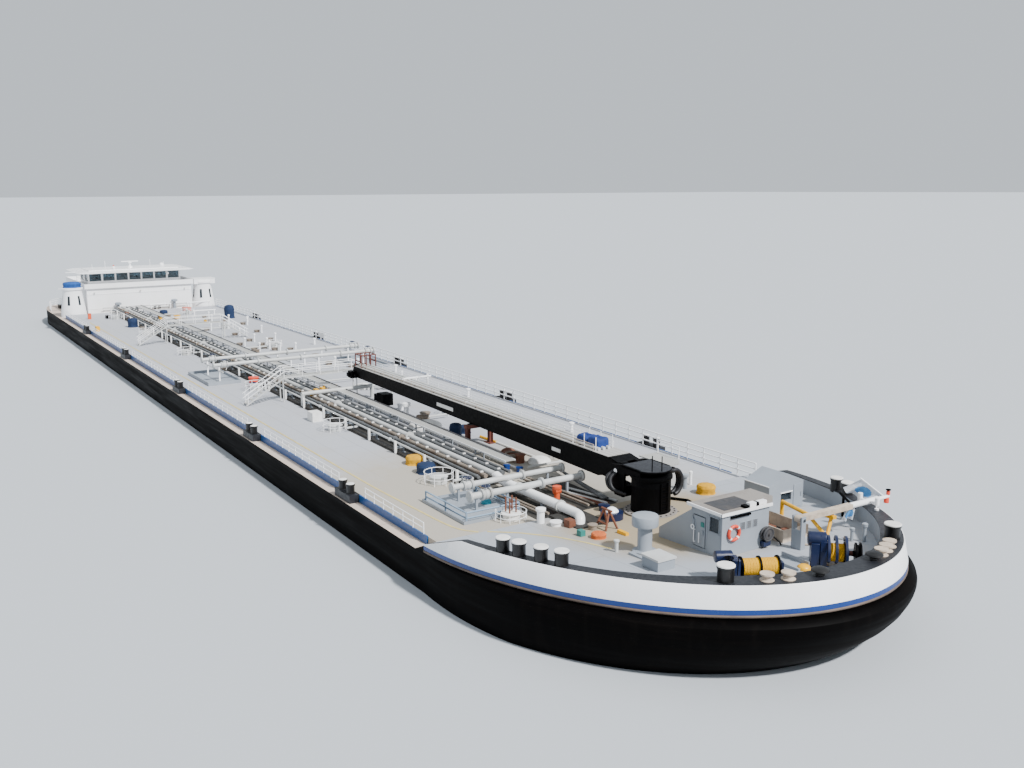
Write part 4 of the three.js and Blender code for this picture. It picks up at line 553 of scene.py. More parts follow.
port_side = hull_side()
starboard_side = port_side * (1, -1, 1)
deck_rows = np.stack([starboard_side[:, -1], port_side[:, -1] * (1, 0, 1), port_side[:, -1]], 1)
keel_rows = np.stack([starboard_side[:, 0], port_side[:, 0] * (1, 0, 1), port_side[:, 0]], 1)
transom = np.concatenate([starboard_side[0], port_side[0][::-1]])
piece("hull_skin", [
    (hull_black, grid(port_side)), (hull_black, grid(starboard_side)), (hull_black, grid(keel_rows)),
    (hull_black, (transom, [np.arange(len(transom))[None]])), (side_pink, grid(deck_rows)),
], slot="hull_black", stands_for=["hull"], sharp=25)

# %% [markdown]
# ## Band, stripe and fender strip
#
# Round the bow runs a white bulwark band, which leans inwards, with a blue stripe and a thin worn
# fender strip below it. Each is a small section carried along the deck edge from side to side.
# A curve with a bevel object would also sweep, but here the section changes: the band starts low.

# %% Sections swept round the bow
BAND_HEIGHT, BAND_LEAN, BAND_THICK, STRIPE_HEIGHT = 0.95, 0.21, 0.04, 0.22
half_turn = np.linspace(0, math.pi / 2, 80)
sweep_angle = np.concatenate([half_turn, half_turn[-2::-1]])
sweep_side = np.concatenate([-np.ones(80), np.ones(79)])


def band_rise(angle):
    """Height of the band: a ramp from almost nothing at its aft end, then level."""
    return BAND_HEIGHT * np.minimum(1, 0.06 + 0.94 * angle / 0.175)


def margin_width(angle):
    """Width of the black margin, wider towards the stem."""
    return np.interp(angle, [0, 0.33, 0.7, 1.05, math.pi / 2], [0.4, 0.75, 0.85, 1.2, 1.35])


def swept(section, angle=sweep_angle, side=sweep_side):
    """Carries (outward, up) pairs round the deck edge; both are arrays over the angle."""
    out = np.stack([o + 0 * angle for o, _ in section], 1)
    rise = np.stack([h + 0 * angle for _, h in section], 1)
    x, y = deck_edge(angle[:, None], side[:, None], out)
    edge = sheer(BOW_START + BOW_LENGTH * np.sin(angle))[:, None]
    n = len(section)
    last = (len(angle) - 1) * n
    return capped(grid(np.stack([x, y, edge + rise], -1), wrap_v=True), range(n),
                  range(last + n - 1, last - 1, -1))


rise = band_rise(sweep_angle)
lean = -BAND_LEAN * rise
piece("band_skin", [(white_gloss, swept([
    (CLEAR, 0), (BAND_THICK, 0), (BAND_THICK + lean * 0.98, rise * 0.98), (BAND_THICK - 0.012 + lean, rise),
    (CLEAR + lean, rise)]))], slot="white_paint", stands_for=["bow_band"])
piece("stripe_skin", [(stripe_blue, swept([
    (CLEAR, -STRIPE_HEIGHT), (BAND_THICK, -STRIPE_HEIGHT), (BAND_THICK, -CLEAR), (CLEAR, -CLEAR)]))],
    slot="stripe_blue", stands_for=["bow_stripe"])
bend = np.linspace(math.pi / 2, -math.pi / 2, 9)
piece("fender_strip", [(strake_brown, swept([
    (CLEAR + 0.067 * math.cos(a), -STRIPE_HEIGHT - CLEAR - 0.07 + 0.07 * math.sin(a)) for a in bend]))],
    slot="strake_brown", stands_for=["rubbing_strake"])

# %% [markdown]
# ## Margin and its fittings
#
# The flat black margin on top of the band carries what holds ropes: bollards with white caps,
# rollers, and two mushroom chocks. Turned parts are one profile carried round an axis, so one
# profile makes every bollard. Modelling each by hand would only add differences.

# %% Margin plates and fittings
# Every profile is a list of radius and height.
BOLLARD = [(0.31, -0.1), (0.31, 0.5), (0.34, 0.55), (0.34, 0.63)]
BOLLARD_CAP = [(0.345, 0.63), (0.345, 0.67), (0.32, 0.69)]
ROLLER = [(0.3, -0.05), (0.3, 0.06), (0.22, 0.09), (0.2, 0.16), (0.24, 0.24), (0.3, 0.28), (0.3, 0.34),
          (0.12, 0.34)]
CHOCK = [(0.2, -0.1), (0.17, 0.12), (0.24, 0.18), (0.38, 0.24), (0.36, 0.3), (0.2, 0.38)]
BIG = (1.12, 1.08)           # the big bollards' radius and height, as shares of the usual ones
SLAB, WALL = 0.05, 0.06      # thickness of the margin's plate and of the wall inside it
# Places of the fittings as degrees round the bow, from its aft end, for starboard (-1) and port (1).
FITTINGS = {
    -1: {"bollard": (19, 22.5, 27, 31), "big": (60,), "roller": (68, 72.5), "chock": (80,)},
    1: {"bollard": (27, 31), "big": (64,), "roller": (70.5, 74, 77.5), "chock": (81.5,)}}


def margin_spots(angles, side):
    """Places on the margin's middle line, on top of the band, for angles in degrees."""
    a = np.radians(angles)
    inset = np.maximum(0.54, (margin_width(a) + BAND_LEAN * BAND_HEIGHT) / 2)
    x, y = deck_edge(a, side, -inset)
    return np.stack([x, y, sheer(x) + BAND_HEIGHT], -1)


for word, side in (("starboard", -1), ("port", 1)):
    width, top = margin_width(half_turn), band_rise(half_turn)
    outer, around = -CLEAR - BAND_LEAN * top, (half_turn, side * np.ones(80))
    slab = swept([(-width, top), (outer, top), (outer, top - SLAB), (-width, top - SLAB)], *around)
    inner_wall = swept([(-width, top - SLAB), (-width + WALL, top - SLAB), (-width + WALL, CLEAR),
                        (-width, CLEAR)], *around)
    spots = {kind: margin_spots(angles, side) for kind, angles in FITTINGS[side].items()}
    big_post, big_cap = (lathe(np.array(profile) * BIG, sides=28) for profile in (BOLLARD, BOLLARD_CAP))
    piece(f"margin_{word}", [
        (margin_black, slab), (house_grey, inner_wall),
        (fitting_black, repeated(lathe(BOLLARD, sides=28), spots["bollard"]),
         repeated(big_post, spots["big"]), repeated(lathe(CHOCK, sides=24), spots["chock"])),
        (cap_white, repeated(lathe(BOLLARD_CAP, sides=28), spots["bollard"]),
         repeated(big_cap, spots["big"])),
        (roller_beige, repeated(lathe(ROLLER, sides=24), spots["roller"])),
    ], slot="margin_black", stands_for=[f"bow_margin_{word}"])

# %% [markdown]
# ## Foredeck
#
# Inside the margin lies the foredeck, which follows the rise of the deck edge. It is one sheet:
# a row of points from side to side, carried forward along the inner edge of the margin.

# %% Foredeck plate
TRUNK_FORE = 56.12           # the tank deck ends here, and the foredeck begins


def foredeck_z(x):
    """Top of the foredeck plate: a little above the deck edge's height."""
    return sheer(x) + 0.05


def deck_z(x):
    """Height of the deck on the middle line: the tank deck, or the foredeck past its end."""
    return np.where(np.asarray(x) < TRUNK_FORE, TRUNK_Z, foredeck_z(np.maximum(x, BOW_START)))


inner = half_turn[half_turn < 1.53]
edge_x, edge_y = deck_edge(inner, 1, -margin_width(inner) - CLEAR)
x, across = np.meshgrid(edge_x, np.linspace(-1, 1, 9), indexing="ij")
top_rows = np.stack([x, edge_y[:, None] * across, foredeck_z(x)], -1)
under_rows = (top_rows - (0, 0, 0.045))[:, ::-1]
piece("foredeck_plate", [(fore_grey, rod(np.concatenate([top_rows, under_rows], 1)))],
      slot="house_grey", stands_for=["foredeck"])

# %% [markdown]
# ## Tank deck
#
# The tanks make a low raised deck for most of the length. On it stand round hatches inside guard
# rings, vent posts, covered pumps and rope tubs. All of these are turned profiles, repeated at a
# table of places. Copies could be linked objects too, but one mesh moves and exports as one piece.

# %% Cloth and rope finishes
def cloth_finish(name, colour, shade, roughness=0.8, fold_mm=350):
    """Woven cover cloth: soft folds in relief, with painted shade in their hollows, where the colour goes
    over to the shade tone, and a fine weave over them. A real weave is about 1 mm, less than a pixel here, so
    it is drawn at 25 mm."""
    material, tree, shader = finish_material(name, colour, roughness)
    place = add(tree, "TexCoord")["Object"]
    folds = noise(tree, place, fold_mm, 3.0, Distortion=0.6)
    weave = add(tree, "TexWave", {
        "Vector": place, "Scale": grain(25) / 6, "Distortion": 1.5}, bands_direction="DIAGONAL")[1]
    both = add(tree, "Math", {0: weave, 1: 0.15, 2: folds}, operation="MULTIPLY_ADD")[0]
    # painted shade: the colour darkens to the shade tone in the hollows of the folds
    tree.links.new(mixed(tree, folds, linear(shade), linear(colour)), shader.inputs["Base Color"])
    dimpled(tree, shader, both, 0.5, 0.006)
    return material


cover_blue = cloth_finish("woven cover cloth, blue", "#1D5BAA", "#103568")
cover_navy = cloth_finish("woven cover cloth, navy", "#0B2C55", "#071B36")
cover_royal = cloth_finish("woven cover cloth, royal blue", "#123C8C", "#0A2258")
cover_yellow = cloth_finish("netted cover cloth, yellow", "#EDB200", "#9A6A08", 0.85, 220)
rope_yellow = cloth_finish("laid rope, yellow", "#F5BC00", "#BC8200", 0.9, 60)
orange_paint = painted_steel("gloss marine paint, orange", "#D9562B", "#9F3B1F", 0.4, 400, 0.5)
green_paint = painted_steel("satin marine paint, sea green", "#2F7F78", "#1F5650", 0.45, 500, 0.5)
print("cloth and rope finishes ready")

# %% Deck plate, hatches, posts, covers and tubs
HATCHES = grid_of([-46, -28, -10, 13, 31, 47], [-5.6, 4.2], [TRUNK_Z])
LID = [(0.52, -0.02), (0.52, 0.36), (0.56, 0.37), (0.56, 0.42), (0.5, 0.45), (0.2, 0.52), (0.05, 0.53)]
# Vent posts as x, y and height; pumps under covers as x, y, radius, height and cloth.
VENT_POSTS = [(-40, 2.5, 1.5), (-22, 2.2, 1.5), (-4, 2.6, 1.5), (15, 5.5, 1.1), (24, 2.4, 1.3),
              (36, 5.2, 1.1)]
PUMPS = [(44.6, -5.2, 0.66, 0.66, cover_navy), (-36.3, -5.4, 0.7, 1.2, cover_navy),
         (-38.3, 7.8, 0.75, 1.9, cover_navy)]


def ring_guard(radius, height, posts=8):
    """Two level rings on posts round a hatch."""
    a = circle(posts)
    foot = np.stack([radius * np.cos(a), radius * np.sin(a), 0 * a], -1)
    return joined(hoop((0, 0, height), radius, 0.022, sides=24, round_sides=5),
                  hoop((0, 0, height * 0.5), radius, 0.018, sides=24, round_sides=5),
                  bars(np.stack([foot, foot + (0, 0, height)], 1), 0.02, 5))


def cloth_cover(x, y, radius, height, z=TRUNK_Z):
    """A cover tied round a machine: a dome that flares at the foot. Folds change its radius by up to
    4 % five times round, and by 2 % nine times."""
    u, a = np.meshgrid(np.linspace(0, 1, 14), circle(40), indexing="ij")
    r = radius * np.interp(u, [0, 0.12, 0.6, 0.85, 0.95, 1], [0.96, 0.86, 0.93, 0.8, 0.5, 0.02])
    r = r * (1 + 0.04 * (1 - u) * np.sin(5 * a + 1) + 0.02 * np.sin(9 * a))
    z = z + height * (1 - (1 - u) ** 1.15) * 0.98
    return rod(np.stack([x + r * np.cos(a), y + r * np.sin(a), z], -1))


deck_parts = [
    (tank_grey, boxes((TRUNK_AFT, TRUNK_FORE, -TRUNK_HALF, TRUNK_HALF, SIDE_DECK_Z + CLEAR, TRUNK_Z))),
    (pipe_grey, repeated(lathe(LID, sides=28), HATCHES),
     repeated(lathe([(0.11, 0.37), (0.11, 0.5)], (0.62, 0, 0), 12), HATCHES)),
    (white_gloss, repeated(ring_guard(0.9, 0.72), HATCHES)),
]
for x, y, height in VENT_POSTS:
    deck_parts.append((pipe_grey, lathe([
        (0.2, -0.01), (0.2, 0.03), (0.085, 0.05), (0.085, height - 0.32), (0.19, height - 0.24),
        (0.2, height - 0.16), (0.1, height - 0.03), (0.02, height)], (x, y, TRUNK_Z), 20)))
for x, y, radius, height, cloth in PUMPS:
    deck_parts.append((cloth, cloth_cover(x, y, radius, height)))
    deck_parts.append((dark_steel, lathe([(radius * 0.6, 0), (radius * 0.6, 0.16)], (x, y, TRUNK_Z), 20)))
deck_parts.append((cover_yellow, cloth_cover(42.4, -4.9, 0.62, 0.6)))
piece("tank_deck_plate", deck_parts, slot="deck_grey", stands_for=["tank_deck"])

# %% [markdown]
# ## Side coamings and rails
#
# A blue coaming edges the raised deck and jogs out under each pair of bollards. The rails on it
# are thin, so they are rows of bars between a table of stops; a wireframe modifier would give
# every edge a bar, also those that the real rail doesn't have.

# %% Coamings
COAMING_Y, COAMING_TOP, COAMING_FORE = TRUNK_HALF + CLEAR, TRUNK_Z + 0.04, RAMP_START - 0.1
RAIL_HEIGHT, PORT_RAIL = 0.6, 1.05
PORT_RAIL_FORE = 57.2        # the port rail is taller and runs on to the foredeck
PAIRS = {-1: (-36.6, -14, 8, 28.3, 45.6), 1: (-36.6, -14, 8, 28.3, 47.1)}    # x of the bollard pairs
MOORING_POST = [(0.24, -0.03), (0.24, 0.42), (0.27, 0.47), (0.27, 0.56), (0.24, 0.58)]
POST_CAP = [(0.245, 0.575), (0.245, 0.59), (0.22, 0.6)]


def rail(x0, x1, y, z, height, levels, gap=1.25, radius=0.022):
    """A straight rail along X: posts at even steps, and one level bar for each share of height."""
    posts = [run(x, y, (z, z + height)) for x in np.linspace(x0, x1, max(2, round((x1 - x0) / gap) + 1))]
    level = [run((x0, x1), y, z + height * share) for share in levels]
    return joined(bars(posts, radius, 5), bars(level, radius * 1.15, 6))


for word, side in (("starboard", -1), ("port", 1)):
    edge = sorted((side * COAMING_Y, side * (COAMING_Y + 0.08)))
    shelf = sorted((side * COAMING_Y, side * (BEAM / 2 - 0.12)))
    level = (SIDE_DECK_Z + CLEAR, COAMING_TOP)
    spots = [(x + dx, side * (COAMING_Y + 0.36), COAMING_TOP) for x in PAIRS[side] for dx in (-0.55, 0.55)]
    stops = [TRUNK_AFT + 0.4, *[x + dx for x in PAIRS[side] for dx in (-1.9, 1.9)], COAMING_FORE - 0.4]
    if side > 0:
        rails = [rail(stops[0], PORT_RAIL_FORE, COAMING_Y - 0.04, COAMING_TOP, PORT_RAIL, (0.33, 0.67, 1),
                      1.5, 0.042)]
    else:
        rails = [rail(x0, x1, -COAMING_Y - 0.04, COAMING_TOP, RAIL_HEIGHT, (0.5, 1), radius=0.026)
                 for x0, x1 in zip(stops[::2], stops[1::2])]
    piece(f"coaming_{word}", [
        (coaming_blue, boxes((TRUNK_AFT, COAMING_FORE, *edge, *level))),
        (margin_black, boxes(*[(x - 1.1, x + 1.1, *shelf, *level) for x in PAIRS[side]])),
        (white_gloss, *rails), (fitting_black, repeated(lathe(MOORING_POST, sides=22), spots)),
        (cap_white, repeated(lathe(POST_CAP, sides=22), spots)),
    ], slot="stripe_blue", stands_for=[f"side_coaming_{word}"])

# %% [markdown]
# ## Pipework
#
# Cargo pipes run along the deck on bearers beside a catwalk, and cross pipes lead to the loading
# valves. A pipe is a circle carried along a path. Curves with a bevel would do as well; arrays keep
# every flange and clamp in the same mesh. The catwalk's grating is a pattern, since its bars are
# finer than a pixel.

# %% Grating finish, flanges and valves
def grating_finish():
    """Galvanised grating: pale bars over dark gaps from a brick pattern. Real cells are 30 mm;
    they are drawn 150 mm long so that the camera can still tell them."""
    material, tree, shader = finish_material("galvanised grating", "#A9ABAB", 0.5, Metallic=0.3)
    place = add(tree, "TexCoord")["Object"]
    cells = add(tree, "TexBrick", {
        "Vector": place, "Scale": 1.0, "Color1": linear("#8C8E8E"), "Color2": linear("#999A98"),
        "Mortar": linear("#C9CAC8"), "Mortar Size": 0.03 * SCALE, "Brick Width": 0.15 * SCALE,
        "Row Height": 0.1 * SCALE})["Color"]
    dust = noise(tree, place, 2500, 4.0)
    tree.links.new(mixed(tree, dust, cells, linear("#B5B2AA")), shader.inputs["Base Color"])
    return material


grating = grating_finish()


def flange(x, y, z, r, axis=1):
    """Two bolted rings, 45 mm thick each, with a thin gap between them."""
    return lathe([(r, -0.06), (r * 1.75, -0.055), (r * 1.75, -0.01), (r * 1.5, -0.005), (r * 1.5, 0.005),
                  (r * 1.75, 0.01), (r * 1.75, 0.055), (r, 0.06)], (x, y, z), 18, axis)


def hand_wheel(x, y, z, r=0.24, axis=2):
    """A rim on three bars through its hub."""
    a = np.arange(3) * math.pi / 3
    arm = (np.stack([np.cos(a), np.sin(a), 0 * a], -1) * r)[:, AXIS_ORDER[axis]]
    return joined(hoop((x, y, z), r, 0.025, axis, 18, 6),
                  bars(np.stack([arm, -arm], 1) + (x, y, z), 0.018, 5))


def valve(x, y, z, r):
    """A valve body along Y, with flanges at both ends and a stem up to its hand wheel."""
    body = lathe([(r, -0.26), (r * 1.15, -0.18), (r * 1.6, -0.06), (r * 1.6, 0.06), (r * 1.15, 0.18),
                  (r, 0.26)], (x, y, z), 18, 1)
    return joined(body, flange(x, y - 0.26, z, r), flange(x, y + 0.26, z, r),
                  bars([run(x, y, (z, z + 0.45))], 0.045, 8))


def tray(x0, x1, y0, y1, rise=0.3, wall=0.06, floor=0.08):
    """A drip tray: a floor with four thin walls."""
    z0 = TRUNK_Z + CLEAR
    z1, z2 = z0 + floor, z0 + rise
    return boxes((x0, x1, y0, y1, z0, z1), (x0, x0 + wall, y0, y1, z1, z2), (x1 - wall, x1, y0, y1, z1, z2),
                 (x0 + wall, x1 - wall, y0, y0 + wall, z1, z2), (x0 + wall, x1 - wall, y1 - wall, y1, z1, z2))


print("a valve has", len(valve(0, 0, 0, 0.2)[0]), "points")

# %% Pipe rack and catwalk
RACK_AFT, RACK_FORE, PIPE_Z, WALK_Z = -54.2, 49.2, TRUNK_Z + 0.64, TRUNK_Z + 0.95
BAY = 12.6                   # length of one section of the rack's pipes, with three bearers to it
pipe_brown = painted_steel("worn pipe paint over rust, beige-brown", "#8C8174", "#5C4433", 0.6, 700, 0.8)
pipe_dark = painted_steel("pipe paint in weathered dark grey", "#5F6163", "#383633", 0.55, 800, 0.7)
# Dark deck paint stands for painted shade on the deck under and beside the pipes, with stains mixed in.
shaded_and_stained_deck = deck_paint("deck in painted shade, with stains", "#2A2825", "#171615", "#5E564A", (4.2, 1.4), 0.6, 0.5)
# Pipes of the rack as y, radius and paint; thin bars below them as y, height, radius and paint. The pale thin
# bars are pipes; the dark ones are painted shade in the gaps between the pipes.
RACK = [(-4.5, 0.07, pipe_grey), (-4.1, 0.1, pipe_dark), (-3.6, 0.13, pipe_brown), (-3.0, 0.19, pipe_grey),
        (-2.4, 0.14, pipe_dark), (-1.95, 0.1, pipe_dark)]
THIN_PIPES_AND_SHADE_BARS = [(-4.6, 0.2, 0.05, dark_steel), (-2.7, 0.24, 0.05, dark_steel), (-3.3, 0.2, 0.06, pipe_grey),
              (-0.3, 0.2, 0.06, pipe_grey)]
bearer_x = np.arange(RACK_AFT + 1.2, RACK_FORE, BAY / 3)
walk_x = np.arange(-52.3, 48, BAY / 3)
joints_x = np.arange(RACK_AFT + 4, RACK_FORE, BAY)
saddle_x = np.arange(RACK_AFT + 0.7, RACK_FORE, 1.4)
beam = boxes(*[(-half, half, -4.7, -1.65, low, high)
               for half, low, high in ((0.09, 0.34, 0.37), (0.02, 0.37, 0.45), (0.09, 0.45, 0.47))])
walk_leg = boxes(*[(-0.04, 0.04, y - 0.04, y + 0.04, CLEAR, 0.9) for y in (-1.43, -0.82)],
                 (-0.05, 0.05, -2.1, -0.78, 0.56, 0.62), (-0.05, 0.05, -1.5, -0.75, 0.81, 0.89))
piece("rack_pipes", [
    *[(paint, bars([run((RACK_AFT, RACK_FORE), y, PIPE_Z)], r, 16),
       *[flange(x, y, PIPE_Z, r, 0) for x in joints_x]) for y, r, paint in RACK],
    # thin bars: the pale ones are pipes, the dark ones are painted shade in the gaps between the pipes
    *[(paint, bars([run((-50, 48), y, TRUNK_Z + rise)], r, 8 if r > 0.05 else 6))
      for y, rise, r, paint in THIN_PIPES_AND_SHADE_BARS],
    # painted shade: a dark plate on the deck under the rack, where the pipes shade it, with stains in its
    # paint
    (shaded_and_stained_deck, boxes((RACK_AFT, RACK_FORE, -4.85, -1.6, TRUNK_Z + CLEAR, TRUNK_Z + 0.015))),
    (cap_white, blocks(bearer_x, -4.78, 0.14, 0.14, TRUNK_Z + CLEAR, TRUNK_Z + 0.85),
     blocks(saddle_x, (-2.4, -3.6), 0.1, 0.18, PIPE_Z + 0.1, PIPE_Z + 0.19)),
    (house_grey, repeated(beam, grid_of(bearer_x, [0], [TRUNK_Z])),
     blocks(bearer_x, (-4.2, -1.8), 0.12, 0.12, TRUNK_Z + CLEAR, TRUNK_Z + 0.5),
     blocks(bearer_x, (-4.2, -1.8), 0.28, 0.28, TRUNK_Z + CLEAR, TRUNK_Z + 0.03),
     repeated(walk_leg, grid_of(walk_x, [0], [TRUNK_Z]))),
    (grating, boxes((-53, 48, -1.46, -0.79, WALK_Z - 0.05, WALK_Z - 0.005))),
    (white_gloss, boxes(*[(-53, 48, y, y + 0.04, WALK_Z - 0.06, WALK_Z + 0.02) for y in (-1.5, -0.79)])),
    (dark_steel, bars([run((-52.6, 47.6), -0.74, WALK_Z + 0.04)], 0.055, 8)),
    (pipe_grey, blocks(walk_x, -0.3, 0.06, 0.2, TRUNK_Z + CLEAR, TRUNK_Z + 0.15)),
], slot="pipe_grey", stands_for=["pipe_rack"])

# %% Stepped bridges over the rack
BRIDGE_HALF, BRIDGE_TOP = 0.45, TRUNK_Z + 2.05
BRIDGE_POSTS_Y = (-8.3, -6.8, -5.2, -3.6, -2, -0.4, 1.2, 2.7, 4.0)


def bridge(x):
    """Two flights and a landing across the rack, with steps, side plates and double hand rails."""
    path = np.array([(-8.5, TRUNK_Z + 0.06), (-5.2, BRIDGE_TOP), (1.2, BRIDGE_TOP), (4.2, TRUNK_Z + 0.06)])
    tread = (x - BRIDGE_HALF + 0.04, x + BRIDGE_HALF - 0.04)
    walk = [(*tread, -5.2, 1.2, BRIDGE_TOP - 0.05, BRIDGE_TOP)]
    for (y0, z0), (y1, z1) in (path[:2], path[3:1:-1]):
        for t in (np.arange(8) + 0.5) / 8:
            y, z = y0 + (y1 - y0) * t, z0 + (z1 - z0) * t
            walk.append((*tread, y - 0.12, y + 0.12, z - 0.015, z + 0.015))
    sides, rails = [], []
    for edge in (x - BRIDGE_HALF + 0.02, x + BRIDGE_HALF - 0.02):
        for (y0, z0), (y1, z1) in zip(path, path[1:]):
            outline = [(y0, z0 - 0.06), (y1, z1 - 0.06), (y1, z1 + 0.06), (y0, z0 + 0.06)]
            sides.append(plate(outline, edge - 0.02, edge + 0.02, axis=0))
            rails += [run(edge, (y0, y1), (z0 + rise, z1 + rise)) for rise in (0.5, 0.9)]
        for y in BRIDGE_POSTS_Y:
            z = np.interp(y, path[:, 0], path[:, 1])
            rails.append(run(edge, y, (z, z + 0.9)))
    legs = blocks((x - 0.39, x + 0.39), (-5.3, 1.3), 0.08, 0.08, TRUNK_Z + CLEAR, BRIDGE_TOP - 0.05)
    return [(grating, boxes(*walk)), (pipe_grey, legs, *sides), (white_gloss, bars(rails, 0.026, 6))]


piece("bridge_midship", bridge(19.0), slot="pipe_grey", stands_for=["crossover_midship"])
piece("bridge_aft", bridge(-19.4), slot="pipe_grey", stands_for=["crossover_aft"])

# %% Loading valves and cross pipes at midship
MID_Z, MID_X, MID_VALVES_Y = TRUNK_Z + 1.55, (3.6, 7.4), (-6.6, 7.8)
mid_pipes = [run(x, (-7.6, 8.4), MID_Z) for x in MID_X]
mid_valves = [valve(x, y, MID_Z, 0.17) for x in MID_X for y in MID_VALVES_Y]
mid_flanges = [flange(x, y, MID_Z, 0.18) for x in MID_X for y in (-7.6, -3.4, 0.8, 4.9, 8.4)]
mid_ties = [run((2.6, 8.6), y, MID_Z - 0.5) for y in (-7.1, 7.3)]
mid_ties += [run(MID_X, y, MID_Z - 0.4) for y in (-0.2, 2.6)]
piece("valves_midship", [
    (pipe_grey, bars(mid_pipes, 0.17, 18), *mid_valves, *mid_flanges, bars(mid_ties, 0.06, 8)),
    (white_gloss, blocks(MID_X, (-7.1, -0.2, 2.6, 7.3), 0.12, 0.12, TRUNK_Z + 0.08, MID_Z - 0.1)),
    (house_grey, tray(2.2, 9, -8.6, -5.6), tray(2.2, 9, 6.6, 9.4)),
    (winch_navy, *[hand_wheel(x, y, MID_Z + 0.45) for x in MID_X for y in MID_VALVES_Y]),
], slot="pipe_grey", stands_for=["manifold_midship"])

# %% Loading valves at the fore end, with the thick white pipe and the frame round the tray
FORE_Z, THICK_Z, FRAME_Z = TRUNK_Z + 0.92, TRUNK_Z + 0.5, TRUNK_Z + 0.62
fore_pipes = []
for x, r in ((51.0, 0.17), (53.0, 0.19)):
    fore_pipes += [bars([run(x, (-6.9, 0.6), FORE_Z)], r, 18), valve(x, -5.9, FORE_Z, r)]
    fore_pipes += [flange(x, y, FORE_Z, r) for y in (-6.92, -2.2, 0.62)]
fore_pipes += [flange(x, y, THICK_Z, 0.2, 0) for x, y in ((52.0, -3.06), (56.0, -2.98))]
thin = [run((49.4, 55.9), (y, y + 0.3), TRUNK_Z + 0.2) for y in (-4.3, -4.0, -2.2, -1.3, -0.9)]
thick = eased([(49.4, -3.0, PIPE_Z), (50.3, -3.1, THICK_Z), (57.6, -2.95, THICK_Z), (58.1, -3.2, THICK_Z),
               (58.2, -3.3, 6.76)], 0.5)
frame_spots = [(49.9, -8.0), (52.2, -8.0), (54.5, -8.0), (54.5, -4.7), (49.9, -4.7)]
frame_bars = [[(*a, z), (*b, z)] for a, b in zip(frame_spots, frame_spots[1:])
              for z in (FRAME_Z, FRAME_Z - 0.3)]
frame_bars += [run(*spot, (TRUNK_Z, FRAME_Z)) for spot in frame_spots]
piece("valves_fore", [
    (pipe_grey, *fore_pipes), (white_gloss, tube(thick, 0.26, 20)), (pipe_brown, bars(thin, 0.07, 8)),
    (frame_blue, bars(frame_bars, 0.05, 8)),
    (house_grey, blocks((51.0, 53.0), (-6.5, -4.5, -0.4), 0.12, 0.12, TRUNK_Z + 0.08, FORE_Z - 0.1),
     blocks((50.6, 54.4), -3.05, 0.2, 0.2, TRUNK_Z + 0.08, THICK_Z - 0.2),
     tray(49.8, 54.6, -8.2, -4.6, 0.18)),
    # painted shade: dark plates on the deck round the fore valves and beside the pedestal, with stains in
    # their paint
    (shaded_and_stained_deck, boxes((49.7, 56.05, -4.5, 0.9, TRUNK_Z + CLEAR, TRUNK_Z + 0.02),
                         (56.25, 58.9, -3.9, -1.9, 6.7, 6.86))),
    (winch_navy, *[hand_wheel(x, -5.9, FORE_Z + 0.45) for x in (51.0, 53.0)]),
], slot="pipe_grey", stands_for=["manifold_fore"])

# %% [markdown]
# ## Loading boom
#
# A black pedestal carries a slewing head, and the boom lies aft from it on a rest. The girder is
# a tapering box of plates with a slot underneath, where the luffing cylinder swings. A solid bar
# would look the same from afar, but the slot shows when the boom is raised. Its pieces are given
# about the boom's own middle line, which lies at y = SLEW_Y.

# %% Rubber, chrome and the boom's measures
hose_rubber = painted_steel("rubber coating on a pipe bend, black", "#16161A", "#2A2A2E", 0.55, 120, 0.5,
                            dimple=0.4)
rod_chrome = painted_steel("hard-chromed rod", "#C9CCD0", "#B2B6BA", 0.14, 900, 0.4, dimple=0.0, Metallic=1.0)
cylinder_grey = painted_steel("cylinder paint, dark grey", "#33363B", "#1E2023", 0.35, 800, 0.5)
SLEW_X, SLEW_Y, PEDESTAL_TOP, HEAD_TOP = 58.6, 1.15, 8.75, 9.3
ON_BOOM = (0, SLEW_Y, 0)
LUFF_X, LUFF_Z, FOOT_X, FOOT_Z, EYE_X, EYE_Z = 56.9, 8.85, 57.2, 7.8, 52.4, 8.13
TIP_X, BOOM_TOP, DEEP, SHALLOW, FULL_X, HEEL = 20.9, 9.35, 1.3, 0.9, 54.9, 0.42
GIRDER_HALF, SLOT_HALF, SLOT_AFT, SLOT_TOP = 0.75, 0.3, 51.3, 8.72


def boom_bottom(x):
    """Height of the girder's underside: a straight taper from full depth to the tip."""
    return float(BOOM_TOP - SHALLOW - (DEEP - SHALLOW) * (x - TIP_X) / (FULL_X - TIP_X))


def two_plates(outline, near, far):
    """One upright plate on each side of the middle line, which reaches from near to far of it."""
    return [plate(outline, *sorted((side * near, side * far)), axis=1) for side in (-1, 1)]


print("underside at the rest:", round(boom_bottom(40.4), 3))

# %% Pedestal
base_z = float(deck_z(SLEW_X)) + 0.03
tall = PEDESTAL_TOP - base_z
bolt_a = circle(24)
bolts = np.stack([1.3 * np.cos(bolt_a), 1.3 * np.sin(bolt_a), 0 * bolt_a], -1)
piece("pedestal", [
    (roof_brown, lathe([(1.45, 0), (1.45, 0.06), (1.09, 0.1), (1.08, 0.0)], sides=56)),
    (crane_black, lathe([(1.07, 0.0), (1.07, 0.34), (1.07, 1.5), (1.075, 1.52), (1.07, 1.54),
                         (1.07, tall - 0.1), (1.06, tall)], sides=56)),
    (dark_steel, boxes((-1.2, 1.2, -1.2, 1.2, -0.1, 0.02)),
     repeated(lathe([(0.045, 0.05), (0.045, 0.12), (0.02, 0.13)], sides=6), bolts)),
    (crane_black, boxes(*[(1.0, 1.14, -0.2, 0.2, z, z + 0.03) for z in np.arange(0.4, tall - 0.2, 0.3)],
                        *[(1.08, 1.14, y - 0.03, y + 0.03, 0.3, tall - 0.1) for y in (-0.22, 0.22)])),
], place=(SLEW_X, SLEW_Y, base_z), slot="crane_black", stands_for=["crane_pedestal"])

